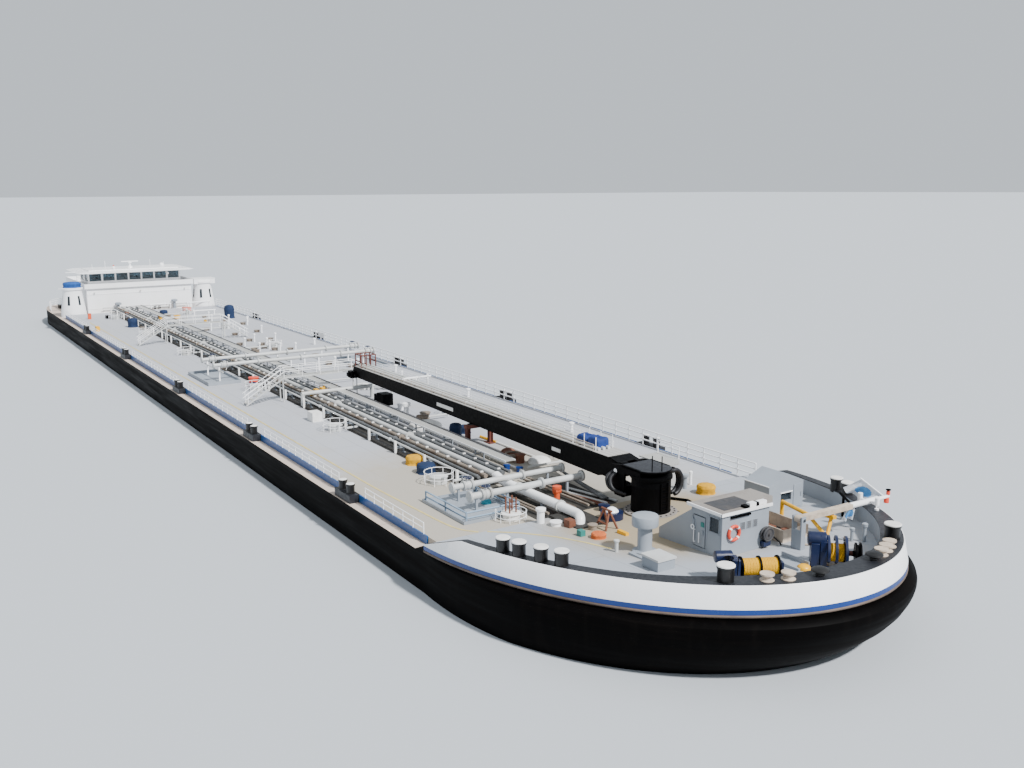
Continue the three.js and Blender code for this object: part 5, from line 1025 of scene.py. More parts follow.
# %% Slewing head
CHEEK = [(58.9, HEAD_TOP), (57.3, HEAD_TOP), (56.5, 9.15), (56.4, 8.6), (56.8, 7.5), (57.55, 7.5),
         (57.65, 8.84), (58.9, 8.84)]
FOOT_BLOCK = [(56.9, 7.5), (57.5, 7.5), (57.5, 8.05), (56.9, 8.05)]
HEAD_PLAN = [(57.35, -1.07), (58.9, -1.07), (59.3, -0.85), (59.55, -0.5), (59.7, 0), (59.55, 0.5),
             (59.3, 0.85), (58.9, 1.07), (57.35, 1.07)]
LEDGE = [(56.4, 0.95), (58.9, 0.95), (58.9, 1.75), (58.2, 2.35), (56.4, 2.35)]
LEDGE_RAIL_Y, LEDGE_RAIL_X = 2.3, (56.45, 58.2)


def heel_bend(x):
    """A rubber-coated bend of pipe, fixed to the head at both ends: an arc of an ellipse."""
    a = math.pi * (0.6 - np.linspace(0, 1.1, 22))
    arc = np.stack([0 * a + x, 1.55 + 0.5 * np.cos(a), 8.25 + 0.68 * np.sin(a)], -1)
    return tube(np.vstack([[(x, 1.0, 9.1)], arc]), 0.12, 14)


def side_bend(x):
    """A thinner bend on the head's other side, from its top down to the pedestal."""
    return tube(eased([(x, -1.0, 8.75), (x - 0.1, -1.45, 8.5), (x + 0.2, -1.5, 7.9), (x + 0.7, -0.9, 7.66)],
                      0.5), 0.1, 12)


piece("slewing_head", [
    (crane_black,
     lathe([(1.13, 0.003), (1.15, 0.02), (1.15, 0.17), (1.12, 0.19)], (SLEW_X, 0, PEDESTAL_TOP), 56),
     *two_plates(CHEEK, 0.95, 1.07), *two_plates(FOOT_BLOCK, SLOT_HALF, 0.97),
     boxes((57.8, 58.9, -0.6, 0.6, 8.9, 9.25)), plate(HEAD_PLAN, HEAD_TOP - 0.1, HEAD_TOP - 0.03)),
    (margin_black, plate(np.array(HEAD_PLAN) * (1, 0.97), HEAD_TOP - 0.03, HEAD_TOP)),
    (grating, plate(LEDGE, HEAD_TOP - 0.06, HEAD_TOP)),
    (rod_chrome, bars([run(LUFF_X, (-1.11, 1.11), LUFF_Z)], 0.14, 20),
     bars([run(FOOT_X, (-0.5, 0.5), FOOT_Z)], 0.1, 16)),
    (hose_rubber, heel_bend(58.45), heel_bend(58.75), side_bend(56.6), side_bend(56.9)),
    (crane_black, bars([run(59.3, -0.55, (HEAD_TOP - 0.05, HEAD_TOP + 0.85)),
                        run(59.5, -0.05, (HEAD_TOP - 0.05, HEAD_TOP + 0.8))], 0.03, 6)),
    (white_gloss, bars([*[run(x, LEDGE_RAIL_Y, (HEAD_TOP, HEAD_TOP + 0.7)) for x in LEDGE_RAIL_X],
                        run(LEDGE_RAIL_X, LEDGE_RAIL_Y, HEAD_TOP + 0.68)], 0.03, 6)),
], body="crane_slew", place=ON_BOOM, slot="crane_black", stands_for=["slew_head"])

# %% Girder plates with the slot for the cylinder
bottom_tip, bottom_slot = boom_bottom(TIP_X), boom_bottom(SLOT_AFT)
SIDE_OUTLINE = [(TIP_X, BOOM_TOP), (LUFF_X - 0.9, BOOM_TOP), (LUFF_X - 0.25, LUFF_Z + 0.34),
                (LUFF_X - 0.42, LUFF_Z), (LUFF_X - 0.3, LUFF_Z - 0.3), (FULL_X, BOOM_TOP - DEEP),
                (TIP_X, BOOM_TOP - SHALLOW)]
STRIP = [(SLOT_AFT, bottom_slot), (FULL_X, BOOM_TOP - DEEP), (LUFF_X - 0.3, LUFF_Z - 0.3),
         (LUFF_X - 0.3, LUFF_Z - 0.26), (FULL_X, BOOM_TOP - DEEP + 0.04), (SLOT_AFT, bottom_slot + 0.04)]
WEB = [(SLOT_AFT, bottom_slot + 0.02), (FULL_X, BOOM_TOP - DEEP + 0.02), (LUFF_X - 0.35, LUFF_Z - 0.3),
       (LUFF_X - 0.4, LUFF_Z), (56.5, SLOT_TOP - 0.02), (EYE_X + 0.7, SLOT_TOP), (EYE_X - 0.75, SLOT_TOP)]
BELLY = [(TIP_X, bottom_tip), (SLOT_AFT, bottom_slot), (SLOT_AFT, bottom_slot + 0.04),
         (TIP_X, bottom_tip + 0.04)]
HEEL_CAP = [(LUFF_X - 0.95, BOOM_TOP - 0.01), (LUFF_X - 0.2, LUFF_Z + 0.36), (LUFF_X - 0.25, LUFF_Z + 0.3),
            (LUFF_X - 0.95, BOOM_TOP - 0.06)]
girder = [
    *two_plates(SIDE_OUTLINE, GIRDER_HALF, GIRDER_HALF - 0.03), *two_plates(STRIP, SLOT_HALF, GIRDER_HALF),
    *two_plates(WEB, SLOT_HALF, SLOT_HALF + 0.02),
    *[plate(outline, -GIRDER_HALF, GIRDER_HALF, 1) for outline in (BELLY, HEEL_CAP)],
    *[collar(0.148, HEEL, *sorted((side * SLOT_HALF, side * GIRDER_HALF)), (LUFF_X, 0, LUFF_Z))
      for side in (-1, 1)],
    boxes((TIP_X, LUFF_X - 0.9, -GIRDER_HALF, GIRDER_HALF, BOOM_TOP - 0.05, BOOM_TOP - 0.01),
          (EYE_X - 0.75, LUFF_X - 0.5, -SLOT_HALF, SLOT_HALF, SLOT_TOP, SLOT_TOP + 0.04),
          (TIP_X, TIP_X + 0.04, -GIRDER_HALF, GIRDER_HALF, BOOM_TOP - SHALLOW, BOOM_TOP))]

# %% Gear at the tip: a forked nose with a roller, black blocks, red guards and a white arm
tip_gear = [
    boxes(*[(TIP_X - 0.5, TIP_X + 0.01, y, y + 0.05, BOOM_TOP - SHALLOW, BOOM_TOP + 0.05)
            for y in (-0.55, 0.5)],
          (TIP_X - 0.5, TIP_X + 0.01, -0.5, 0.5, BOOM_TOP - 0.05, BOOM_TOP + 0.05),
          (20.55, 21.2, -1.15, -0.76, 8.35, 8.95), (20.6, 21.0, -1.3, -1.15, 8.5, 8.8),
          (21.3, 21.7, -0.95, -0.76, 8.45, 8.75)),
    bars([run(TIP_X - 0.45, (-0.5, 0.5), BOOM_TOP - 0.5)], 0.28, 24)]
GUARD_X, GUARD_HALF, GUARD_TOP, ARM_X, ARM_Z = (21.1, 22.3), 0.65, BOOM_TOP + 1.05, 30.0, BOOM_TOP + 0.3
guards = [run(x, y, (BOOM_TOP, GUARD_TOP)) for x in GUARD_X for y in (-GUARD_HALF, -0.2, 0.2, GUARD_HALF)]
guards += [run(GUARD_X, y, z) for y in (-GUARD_HALF, GUARD_HALF) for z in (BOOM_TOP + 0.5, GUARD_TOP)]
guards += [run(x, (-GUARD_HALF, GUARD_HALF), GUARD_TOP) for x in GUARD_X]
white_arm = [run(ARM_X, (-0.75, 1.8), ARM_Z), run(ARM_X, 1.5, (ARM_Z + 0.2, BOOM_TOP - 0.4)),
             run(ARM_X, -0.5, (BOOM_TOP, ARM_Z)), run(ARM_X, 0.5, (BOOM_TOP, ARM_Z))]

# %% Girder with its walkway, pipes and rails
TOP_PIPES_Y, TOP_PIPE_Z, skin = (-0.45, -0.1, 0.25), BOOM_TOP + 0.11, -GIRDER_HALF - 0.02
clamp_x = np.arange(TIP_X + 2, 54.5, 3.0)
near_rail, far_rail = (rail(TIP_X + 0.9, 54.4, y, BOOM_TOP, 0.38, (0.5, 1), 1.6, 0.02) for y in (-0.72, 0.72))
piece("boom_girder", [
    (crane_black, *girder, *tip_gear),
    (boom_beige, boxes((TIP_X + 0.1, LUFF_X - 1.1, -GIRDER_HALF - 0.03, GIRDER_HALF + 0.03,
                        BOOM_TOP - 0.01, BOOM_TOP + 0.02))),
    (pipe_grey, bars([run((TIP_X + 0.6, 54.6), y, TOP_PIPE_Z) for y in TOP_PIPES_Y], 0.1, 14),
     *[flange(x, y, TOP_PIPE_Z, 0.075, 0) for x in (30.0, 39.5, 49.0) for y in TOP_PIPES_Y]),
    (dark_steel, blocks(clamp_x, -0.1, 0.08, 1.0, BOOM_TOP + 0.02, BOOM_TOP + 0.14)),
    (roller_beige, near_rail), (white_gloss, far_rail, bars(white_arm, 0.08, 8)),
    (primer_red, bars(guards, 0.05, 8)),
    (cap_white, boxes((35.7, 38.1, skin, -GIRDER_HALF, 8.6, 8.86),
                      (50.3, 51.2, skin, -GIRDER_HALF, 8.52, 8.74))),
], body="crane_boom", place=ON_BOOM, slot="crane_black", stands_for=["boom"])
LUG = [(EYE_X - 0.35, EYE_Z + 0.567), (EYE_X - 0.2, EYE_Z - 0.2), (EYE_X + 0.2, EYE_Z - 0.2),
       (EYE_X + 0.3, EYE_Z + 0.567)]
piece("cylinder_bracket", [
    (crane_black, *two_plates(LUG, 0.16, 0.26),
     boxes((EYE_X - 0.35, EYE_X + 0.3, -0.26, 0.26, EYE_Z + 0.49, EYE_Z + 0.567))),
    (rod_chrome, bars([run(EYE_X, (-0.28, 0.28), EYE_Z)], 0.07, 16)),
], body="crane_boom", place=ON_BOOM, slot="crane_black", stands_for=["boom_eye"])

# %% Cloth covers on the boom
def soft_block(x0, x1, y0, y1, z0, z1, power=0.28, sag=0.05):
    """A boxy cloth cover: a superellipse in plan and in height, with the cloth sagging on top."""
    u = circle(44)
    v = np.linspace(0, math.pi / 2, 12)[:, None]
    bow = lambda t: np.sign(t) * np.abs(t) ** power
    x = (x0 + x1) / 2 + (x1 - x0) / 2 * bow(np.cos(u)) * np.cos(v) ** power
    y = (y0 + y1) / 2 + (y1 - y0) / 2 * bow(np.sin(u)) * np.cos(v) ** power
    z = z0 + (z1 - z0) * (np.sin(v) ** power * (1 - sag * (1 + np.cos(3 * u + 1))) + 0 * u)
    return rod(np.stack([x, y, z], -1))


piece("boom_covers", [
    (cover_royal, *[soft_block(x, x + 1, -0.45, 0.45, BOOM_TOP + 0.02, BOOM_TOP + height)
                    for x, height in ((52.3, 0.6), (53.4, 0.68))]),
    (white_gloss, bars([run(x, y, (BOOM_TOP, BOOM_TOP + 0.8)) for x in (52.25, 53.35, 54.45)
                        for y in (-0.6, 0.6)], 0.025, 6)),
], body="crane_boom", place=ON_BOOM, slot="stripe_blue")

# %% Luffing cylinder and boom rest
reach = math.hypot(EYE_X - FOOT_X, EYE_Z - FOOT_Z)


def on_rod(s, y=0.0, over=0.0):
    """The point at s metres from the foot pin towards the eye, moved by y and over."""
    return FOOT_X + (EYE_X - FOOT_X) * s / reach, y, FOOT_Z + (EYE_Z - FOOT_Z) * s / reach + over


piece("cylinder_barrel", [(
    cylinder_grey,
    tube([on_rod(s) for s in (0.25, 0.4, 3.1, 3.12, 3.28, 3.3)],
         np.array([0.15, 0.17, 0.17, 0.2, 0.2, 0.15]), 24),
    collar(0.108, 0.26, -0.24, 0.24, (FOOT_X, 0, FOOT_Z)),
    bars([[on_rod(0.5, 0.18, 0.06), on_rod(3.0, 0.18, 0.06)]], 0.03, 6))],
    body="luff_barrel", place=ON_BOOM, slot="bare_steel", stands_for=["luff_cylinder"])
piece("cylinder_rod", [(rod_chrome, tube([on_rod(3.25), on_rod(reach - 0.3)], 0.1, 20)),
                       (cylinder_grey, collar(0.24, 0.34, -0.09, 0.09, (EYE_X, 0, EYE_Z)))],
      body="luff_rod", place=ON_BOOM, slot="rod_chrome", stands_for=["luff_rod"])
REST_X, REST_LEGS_Y = 40.4, (-0.9, 0.9)
rest_top = boom_bottom(REST_X + 0.3) - 0.05
rest_leg = (TRUNK_Z + 0.06, rest_top - 0.3)
flanges_y = [y + side * 0.13 for y in REST_LEGS_Y for side in (-1, 1)]
piece("boom_rest_frame", [
    (primer_red, blocks(REST_X, flanges_y, 0.3, 0.04, *rest_leg),
     blocks(REST_X, REST_LEGS_Y, 0.04, 0.22, *rest_leg),
     blocks(REST_X, REST_LEGS_Y, 0.8, 0.6, TRUNK_Z + CLEAR, TRUNK_Z + 0.06),
     blocks(REST_X, 0, 0.4, 2.2, rest_top - 0.3, rest_top - 0.05)),
    (hose_rubber, blocks(REST_X, 0, 0.4, 1.7, rest_top - 0.05, rest_top))],
    place=ON_BOOM, slot="rest_red", stands_for=["boom_rest"])

# %% [markdown]
# ## Foredeck houses and vent
#
# The CAD houses are already true in form: hollow, with a door and a window cut out. Only what is
# too fine for them is added here, such as the pane, louvres, lamps and gutters. Remaking a wall
# that is right would gain nothing, so these CAD solids stay and only get their paint.

# %% Big mushroom vent, its hatch and the covered tub
VENT = [(0.58, -0.02), (0.58, 0.07), (0.38, 0.1), (0.35, 0.16), (0.35, 1.22), (0.4, 1.28), (0.62, 1.3),
        (0.635, 1.34), (0.635, 1.74), (0.61, 1.8), (0.5, 1.84), (0.03, 1.86)]
VENT_X, VENT_Y, TUB_X, TUB_Y = 63.65, -3.5, 57.7, 6.07
vent_z, hatch_z, tub_z = (float(deck_z(x)) for x in (VENT_X, 65.8, TUB_X))
piece("mushroom_vent", [
    (house_grey, lathe(VENT, (VENT_X, VENT_Y, vent_z), 48),
     boxes((65.25, 66.35, -5.0, -4.0, hatch_z + 0.01, hatch_z + 0.5),
           (63.75, 65.3, -4.4, -4.2, vent_z - 0.02, vent_z + 0.11),
           (63.55, 63.75, -4.4, -3.8, vent_z - 0.02, vent_z + 0.11))),
    (pipe_grey, boxes((65.2, 66.4, -5.05, -3.95, hatch_z + 0.5, hatch_z + 0.6)),
     bars([run((65.4, 66.2), -3.98, hatch_z + 0.3)], 0.03, 6),
     lathe([(0.09, 0), (0.09, 0.5), (0.14, 0.52), (0.14, 0.6), (0.02, 0.63)],
           (62.9, -4.6, deck_z(62.9)), 14)),
], slot="house_grey", stands_for=["fore_vent"])
piece("covered_tub", [(cover_yellow, cloth_cover(TUB_X, TUB_Y, 0.6, 0.58, tub_z)),
                      (dark_steel, lathe([(0.45, -0.02), (0.45, 0.1)], (TUB_X, TUB_Y, tub_z), 24))],
      slot="drum_yellow", stands_for=["rope_tub"])

# %% Finer pieces on the fore house
pane_dark = painted_steel("window glass, dark and closed in", "#1B242B", "#2C3942", 0.12, 900, 0.5,
                          dimple=0.02)
WALL_X, WALL_Y, ROOF_TOP = 66.65, -1.45, 9.25     # fore house: its bow wall, starboard wall and roof
LOUVRE_Y, REEL_Y, REEL_Z = (-0.25, 0.15, 0.55), 1.3, 7.95
louvres = [(WALL_X, WALL_X + 0.035, y, y + 0.24, z, z + 0.018) for y in LOUVRE_Y
           for z in np.arange(8.42, 8.72, 0.05)]
louvre_frames = [(WALL_X, WALL_X + 0.02, y - 0.03, y + 0.27, 8.38, 8.76) for y in LOUVRE_Y]
seams = [(x, x + 0.02, WALL_Y - 0.012, WALL_Y, 7.25, 9.2) for x in (64.66, 65.68, 66.55)]
window_frame = [(x0, x1, WALL_Y - 0.03, WALL_Y, z0, z1) for x0, x1, z0, z1 in (
    (65.82, 66.48, 9.05, 9.09), (65.82, 66.48, 8.31, 8.35), (65.81, 65.85, 8.31, 9.09),
    (66.45, 66.49, 8.31, 9.09))]
reel = [hoop((x, REEL_Y, REEL_Z), 0.3, 0.05, 0, 28, 8) for x in (66.95, 66.75)]
reel += [collar(0.06, 0.24, 0.06, 0.28, (66.7, REEL_Y, REEL_Z), 0),
         bars([run((66.65, 67.05), REEL_Y, REEL_Z)], 0.05, 10)]
handles = [run(64.9, -1.56, (7.55, 8.15)), run(65.25, -1.56, (7.6, 8.1)),
           run(64.9, (-1.46, -1.56), 7.55), run(64.9, (-1.46, -1.56), 8.15)]
piece("fore_house_fittings", [
    (white_gloss, boxes((64.38, 66.74, -1.58, -1.52, ROOF_TOP, ROOF_TOP + 0.14),
                        (66.7, 66.76, -1.58, 1.7, ROOF_TOP, ROOF_TOP + 0.14),
                        (66.35, 66.6, 0.35, 0.75, ROOF_TOP + 0.1, ROOF_TOP + 0.3),
                        (66.35, 66.6, 0.95, 1.45, ROOF_TOP + 0.1, ROOF_TOP + 0.28)),
     bars(handles, 0.025, 6), hoop((64.85, -1.6, 8.29), 0.1, 0.03, 1, 16, 6)),
    (crane_black, boxes((66.66, 66.74, -0.95, 0.3, 9.06, 9.15),
                        (66.3, 66.62, 0.78, 0.93, ROOF_TOP + 0.1, ROOF_TOP + 0.26),
                        (66.3, 66.62, 0.05, 0.3, ROOF_TOP + 0.1, ROOF_TOP + 0.22)),
     bars([[(66.65, 1.62, 7.9), (67.1, 1.9, 7.5)], [(67.1, 1.9, 7.5), (67.15, 1.95, 7.35)]], 0.04, 8)),
    (dark_steel, boxes(*louvres, (64.9, 66.3, -1.0, 1.0, ROOF_TOP + 0.1, ROOF_TOP + 0.112)), *reel),
    (house_grey, boxes(*louvre_frames, *seams, *window_frame)),
    (pane_dark, boxes((65.86, 66.44, WALL_Y + 0.03, WALL_Y + 0.05, 8.36, 9.04))),
    (green_paint, boxes((65.3, 65.5, WALL_Y - 0.06, WALL_Y, 8.4, 8.62))),
    (winch_navy, boxes((66.66, 66.9, 1.05, 1.5, 7.35, 7.6))),
], slot="house_grey")

# %% Finer pieces on the stores house, and the life ring
piece("stores_house_fittings", [
    (pane_dark, boxes((62.87, 62.9, 6.42, 7.18, 7.62, 8.03))),
    (white_gloss, boxes((62.96, 63.04, 6.34, 7.26, 8.05, 8.1)),
     bars([run((63.0, 61.2), 5.46, 8.55)], 0.03, 6)),
    (house_grey, boxes((62.99, 63.03, 7.35, 7.95, 7.15, 8.4)), bars([run(63.05, 7.9, (7.7, 7.95))], 0.02, 6)),
], slot="house_grey")
life_ring_red = painted_steel("moulded plastic, life ring red", "#E2492F", "#C93C26", 0.45, 200, 0.4)
RING, RING_BIG = (WALL_X + 0.08, -0.75, 8.35), 0.33


def ring_band(middle):
    """A white band round the life ring: a short piece of a slightly thicker ring."""
    a = middle + np.array([-0.12, 0, 0.12])
    return tube(np.stack([0 * a, RING_BIG * np.cos(a), RING_BIG * np.sin(a)], -1) + RING, 0.079, 14)


piece("life_ring_skin", [
    (life_ring_red, hoop(RING, RING_BIG, 0.075, 0, 40, 14)),
    (white_gloss, *[ring_band(a + math.pi / 4) for a in circle(4)]),
], slot="ring_red", stands_for=["life_ring"])

# %% [markdown]
# ## Winches
#
# Each winch has a geared end in navy and a drum of yellow rope between dark flanges. The wound
# rope is not modelled turn by turn: the drum's profile rises and falls once for each turn, and
# turning that profile round the shaft gives the same look with few faces. A winch is given about
# its own shaft, which lies along Y, and is then turned and moved to its place as a whole.

# %% Frames and drums
ROPE, RIDGE, ROPE_STEP = 0.07, 0.018, 0.02     # width of a turn, its rise, and the profile's step


def drum(low, high, flange_r, core, flanges_at, spans):
    """Two shapes: flanges at the given places, and a core from low to high that carries rope over the
    spans, where the radius is core + ridge times |sin| with one arch for each turn."""
    flanges = joined(*[collar(0.09, flange_r, y, y + 0.07, sides=36) for y in flanges_at])
    ropes = [lathe([(core * 0.9, low), (core * 0.9, high)], sides=24, axis=1)]
    for y0, y1 in spans:
        y = np.linspace(y0, y1, int((y1 - y0) / ROPE_STEP) + 1)
        r = core + RIDGE * np.abs(np.sin((y - y0) / ROPE * math.pi))
        ropes.append(lathe(np.stack([r, y], -1), sides=32, axis=1))
    return flanges, joined(*ropes)


MOORING = {"place": (69.4, -2.3, float(deck_z(69.4)) + 0.55), "turn": -27.3}
ANCHOR = {"place": (70.5, 1.9, float(deck_z(70.5)) + 0.6), "turn": -45}
piece("mooring_frame", [
    (winch_navy, boxes((-0.42, 0.42, -1.4, -1.04, -0.5, 0.3), (-0.36, 0.36, -0.98, -0.62, -0.5, 0.42),
                       (-0.45, 0.45, -1.4, 1.36, -0.54, -0.48), (-0.16, 0.16, 1.24, 1.36, -0.5, 0.18),
                       (-0.3, 0.3, -1.04, -0.98, -0.5, 0.2)),
     lathe([(0.2, -0.45), (0.26, -0.42), (0.26, 0.3), (0.2, 0.34), (0.05, 0.36)],
           (-0.15, -1.2, 0.45), 20, 1)),
    (rod_chrome, bars([run(0, (-0.62, 1.3), 0)], 0.08, 14)),
    (crane_black, bars([[(0.45, -1.2, -0.2), (0.55, -1.25, 0.75)],
                        [(0.45, -0.8, -0.2), (0.52, -0.8, 0.7)]], 0.025, 6),
     hand_wheel(0.3, -1.15, 0.55, 0.2)),
], slot="winch_navy", stands_for=["mooring_winch_frame"], bevel=0.02, **MOORING)
flanges, wound = drum(-0.5, 1.1, 0.46, 0.36, (-0.56, 0.25, 1.08), ((-0.49, 0.25), (0.32, 1.08)))
piece("mooring_rope_drum", [(crane_black, flanges), (rope_yellow, wound)],
      body="mooring_drum", slot="drum_yellow", stands_for=["mooring_winch_drum"], **MOORING)
chain_wheel = lathe([(0.12, 0.6), (0.14, 0.68), (0.5, 0.7), (0.5, 0.78), (0.4, 0.8), (0.4, 0.88), (0.5, 0.9),
                     (0.5, 0.98), (0.12, 1.0)], sides=36, axis=1)
swing = np.linspace(-0.3, 2.6, 14)     # angles of the hood over the drum
hood = np.concatenate([np.stack([r * np.cos(s), r * np.sin(s)], -1)
                       for r, s in ((0.76, swing), (0.65, swing[::-1]))])
piece("anchor_frame", [
    (winch_navy, boxes((-0.5, 0.5, -1.2, -0.84, -0.55, 0.5), (-0.44, 0.44, -0.8, -0.5, -0.55, 0.6),
                       (-0.5, 0.5, -1.2, 0.46, -0.61, -0.565), (-0.18, 0.18, 0.36, 0.46, -0.55, 0.2),
                       (-0.3, 0.3, -0.84, -0.8, -0.5, 0.4)),
     lathe([(0.24, -0.5), (0.32, -0.46), (0.32, 0.28), (0.24, 0.33), (0.05, 0.35)],
           (0.1, -0.85, 0.62), 24, 1),
     *[plate(hood, y, y + 0.12, 1) for y in (-0.5, -0.17, 0.25)]),
    (primer_red, bars([run(0, (0.33, 0.75), 0)], 0.12, 14)),
    (crane_black, chain_wheel, bars([[(-0.5, -0.9, -0.2), (-0.62, -0.95, 0.7)]], 0.025, 6)),
], slot="winch_navy", stands_for=["anchor_winch_frame"], bevel=0.02, **ANCHOR)
flanges, wound = drum(-0.4, 0.25, 0.5, 0.4, (-0.44, -0.12, 0.23), ((-0.37, -0.12), (-0.05, 0.23)))
piece("anchor_rope_drum", [(crane_black, flanges), (rope_yellow, wound)],
      body="anchor_drum", slot="winch_navy", stands_for=["anchor_winch_drum"], **ANCHOR)

# %% [markdown]
# ## Folded mast and its flags
#
# The fore mast lies to port on a crutch. Two plain flags hang near its tip. A flag is a sheet, and
# its folds are a wave that grows towards the free edge. A cloth simulation would settle it too, but
# a formula gives the same folds each time.

# %% Mast, foot and crutch
MAST_X, MAST_Y, MAST_Z, MAST_TIP, CRUTCH_Y = 67.78, 2.4, 8.75, 8.9, 4.6
deck_at_mast = float(deck_z(MAST_X))
trestle_foot = (67.5, 4.75, deck_at_mast)
trestle_top = [(66.95, 3.95, MAST_Z - 0.3), (67.05, 5.65, MAST_Z - 0.3)]
trestle = [*[[end, trestle_foot] for end in trestle_top], trestle_top,
           run((67.0, MAST_X + 0.2), CRUTCH_Y, MAST_Z - 0.28)]
strut_top = (64.95, 4.35, 8.5)
struts = [[strut_top, trestle_top[0]], [strut_top, (64.95, 4.35, float(deck_z(64.95)))]]
piece("mast_stand", [
    (house_grey, boxes(*[(x, x + 0.08, -0.16, 0.13, deck_at_mast - MAST_Z, 0.16) for x in (0.22, -0.3)],
                       (-0.22, 0.22, -0.16, -0.1, deck_at_mast - MAST_Z, -0.5))),
    (rod_chrome, bars([run((-0.33, 0.33), 0, 0)], 0.08, 14)),
    (yellow_paint, bars(np.subtract(trestle, (MAST_X, MAST_Y, MAST_Z)), 0.09, 10),
     bars(np.subtract(struts, (MAST_X, MAST_Y, MAST_Z)), 0.1, 10),
     blocks(0, CRUTCH_Y - MAST_Y, 0.5, 0.24, -0.36, -0.2)),
], place=(MAST_X, MAST_Y, MAST_Z), slot="house_grey", stands_for=["mast_foot"])
piece("mast_spar", [
    (roller_beige, boxes((-0.17, 0.17, MAST_Y + 0.1, 6.0, -0.12, 0.12)),
     bars([run((-0.17, 0.17), MAST_Y, 0)], 0.17, 18)),
    (white_gloss, tube([(0, y, 0) for y in (5.95, 8.0, 8.1, MAST_TIP)],
                       np.array([0.15, 0.15, 0.1, 0.08]), 20),
     boxes((-0.6, 0.6, 7.3, 7.4, -0.05, 0.05)),
     *[lathe([(0.02, -0.2), (0.12, -0.18), (0.12, 0.18), (0.02, 0.2)], (x, 7.35, 0.12), 18)
       for x in (-0.5, 0.5)],
     bars([[(0, 8.6, 0), (-0.88, 7.75, 0.92)], [(0, 7.9, 0), (0.1, 7.9, -0.5)]], 0.03, 8),
     lathe([(0.02, -0.16), (0.11, -0.14), (0.11, 0.1), (0.02, 0.14)], (0.1, 7.9, -0.55), 16)),
    (life_ring_red, lathe([(0.05, -0.14), (0.13, -0.12), (0.13, 0.12), (0.05, 0.14)], (0, 8.75, -0.2), 18),
     lathe([(0.03, 0), (0.1, 0.03), (0.1, 0.2), (0.03, 0.24)], (0, 8.85, 0.06), 16)),
    (crane_black, lathe([(0.05, 0), (0.13, 0.02), (0.13, 0.06), (0.05, 0.08)], (0, 8.85, 0.3), 16)),
], body="fore_mast", place=(MAST_X, 0, MAST_Z), slot="white_paint", stands_for=["fore_mast"])

# %% Two flags
flag_white = cloth_finish("flag cloth, white", "#F2F3F6", "#C9D2DE", 0.75, 260)
flag_blue = cloth_finish("flag cloth, light blue", "#6FB6EA", "#3A7CC6", 0.75, 260)


def flag(name, start, end, fall, phase, disc):
    """Cloth held by one edge, which streams aft as it falls: a point goes along the edge by u and
    along fall by v, and moves sideways by 0.14 w v^1.3 sin(9 u + phase) for an edge of length w, so
    folds grow towards the free edge. The middle, within disc of the centre in u and v, is blue."""
    start, edge, fall = np.array(start), np.subtract(end, start), np.array(fall)
    u, v = np.meshgrid(np.linspace(0, 1, 36), np.linspace(0, 1, 26), indexing="ij")
    side = np.cross(edge, fall) / np.linalg.norm(np.cross(edge, fall))
    swing = np.linalg.norm(edge) * (0.14 * v ** 1.3 * np.sin(9 * u + phase) + 0.03 * v * np.sin(17 * u))
    points = start + u[..., None] * edge + v[..., None] * fall + swing[..., None] * side
    skin, (faces,) = grid(points)
    middle = np.hypot(u - 0.5, v - 0.5).ravel()[faces].mean(1) < disc
    cloth = piece(name, [(flag_white, (skin, [faces[~middle]])), (flag_blue, (skin, [faces[middle]]))],
                  body="fore_mast", slot="white_paint", open_sheet=True, sharp=180)


flag("flag_large", (67.72, 8.55, 8.83), (66.94, 7.8, 9.6), (-0.8, -0.35, -0.6), 0.4, 0.3)
flag("flag_small", (67.78, 6.4, 8.6), (67.78, 5.75, 8.6), (-0.25, 0.05, -0.65), 1.3, 0.42)

# %% [markdown]
# ## Aft house and wheelhouse
#
# The aft house is a wide white box with a parapet, between two round-shouldered towers. The
# wheelhouse stands in a well in its roof and can be lifted. Walls, roofs and doors come from the
# CAD solids; panes, frames, vents, lamps and rails are added, each as rows of small boxes or bars.

# %% Panes, frames and front fittings of the house
FRONT, HOUSE_HALF, HOUSE_DECK = -55.6, 7.4, 10.17
glass_dark = painted_steel("ship window glass with a dark room behind", "#161D22", "#27333B", 0.08, 1500,
                           0.4, dimple=0.02)
WINDOW_X, FRAME = (-60.2, -65.6, -68.4), 0.06
side_panes = [(x - 0.49, x + 0.49, *sorted((s * 7.32, s * 7.35)), 7.51, 8.39)
              for x in WINDOW_X for s in (-1, 1)]
side_frames = [(x + a, x + b, *sorted((s * HOUSE_HALF, s * (HOUSE_HALF + 0.04))), z0, z1)
               for x in WINDOW_X for s in (-1, 1)
               for a, b, z0, z1 in ((-0.56, 0.56, 8.4, 8.4 + FRAME), (-0.56, 0.56, 7.5 - FRAME, 7.5),
                                    (-0.56, -0.56 + FRAME, 7.5, 8.4), (0.56 - FRAME, 0.56, 7.5, 8.4))]
mouldings = [(FRONT, FRONT + 0.05, -HOUSE_HALF, HOUSE_HALF, z, z + 0.05) for z in (7.1, 9.2, 9.85)]
seam_lines = [(FRONT, FRONT + 0.02, y - 0.015, y + 0.015, 6.25, 9.9) for y in np.arange(-6, 6.1, 2.4)]
HOUSE_VENT = [(0.3, 0), (0.3, 0.05), (0.2, 0.08), (0.2, 0.95), (0.45, 1.02), (0.47, 1.25), (0.3, 1.36),
              (0.03, 1.38)]
FUNNEL = [(0.35, 0), (0.35, 1.5), (0.3, 1.6), (0.26, 1.6), (0.26, 1.5), (0.02, 1.4)]
FRONT_VENTS = [(-54.9, -3.4, TRUNK_Z), (-54.9, 4.6, TRUNK_Z)]
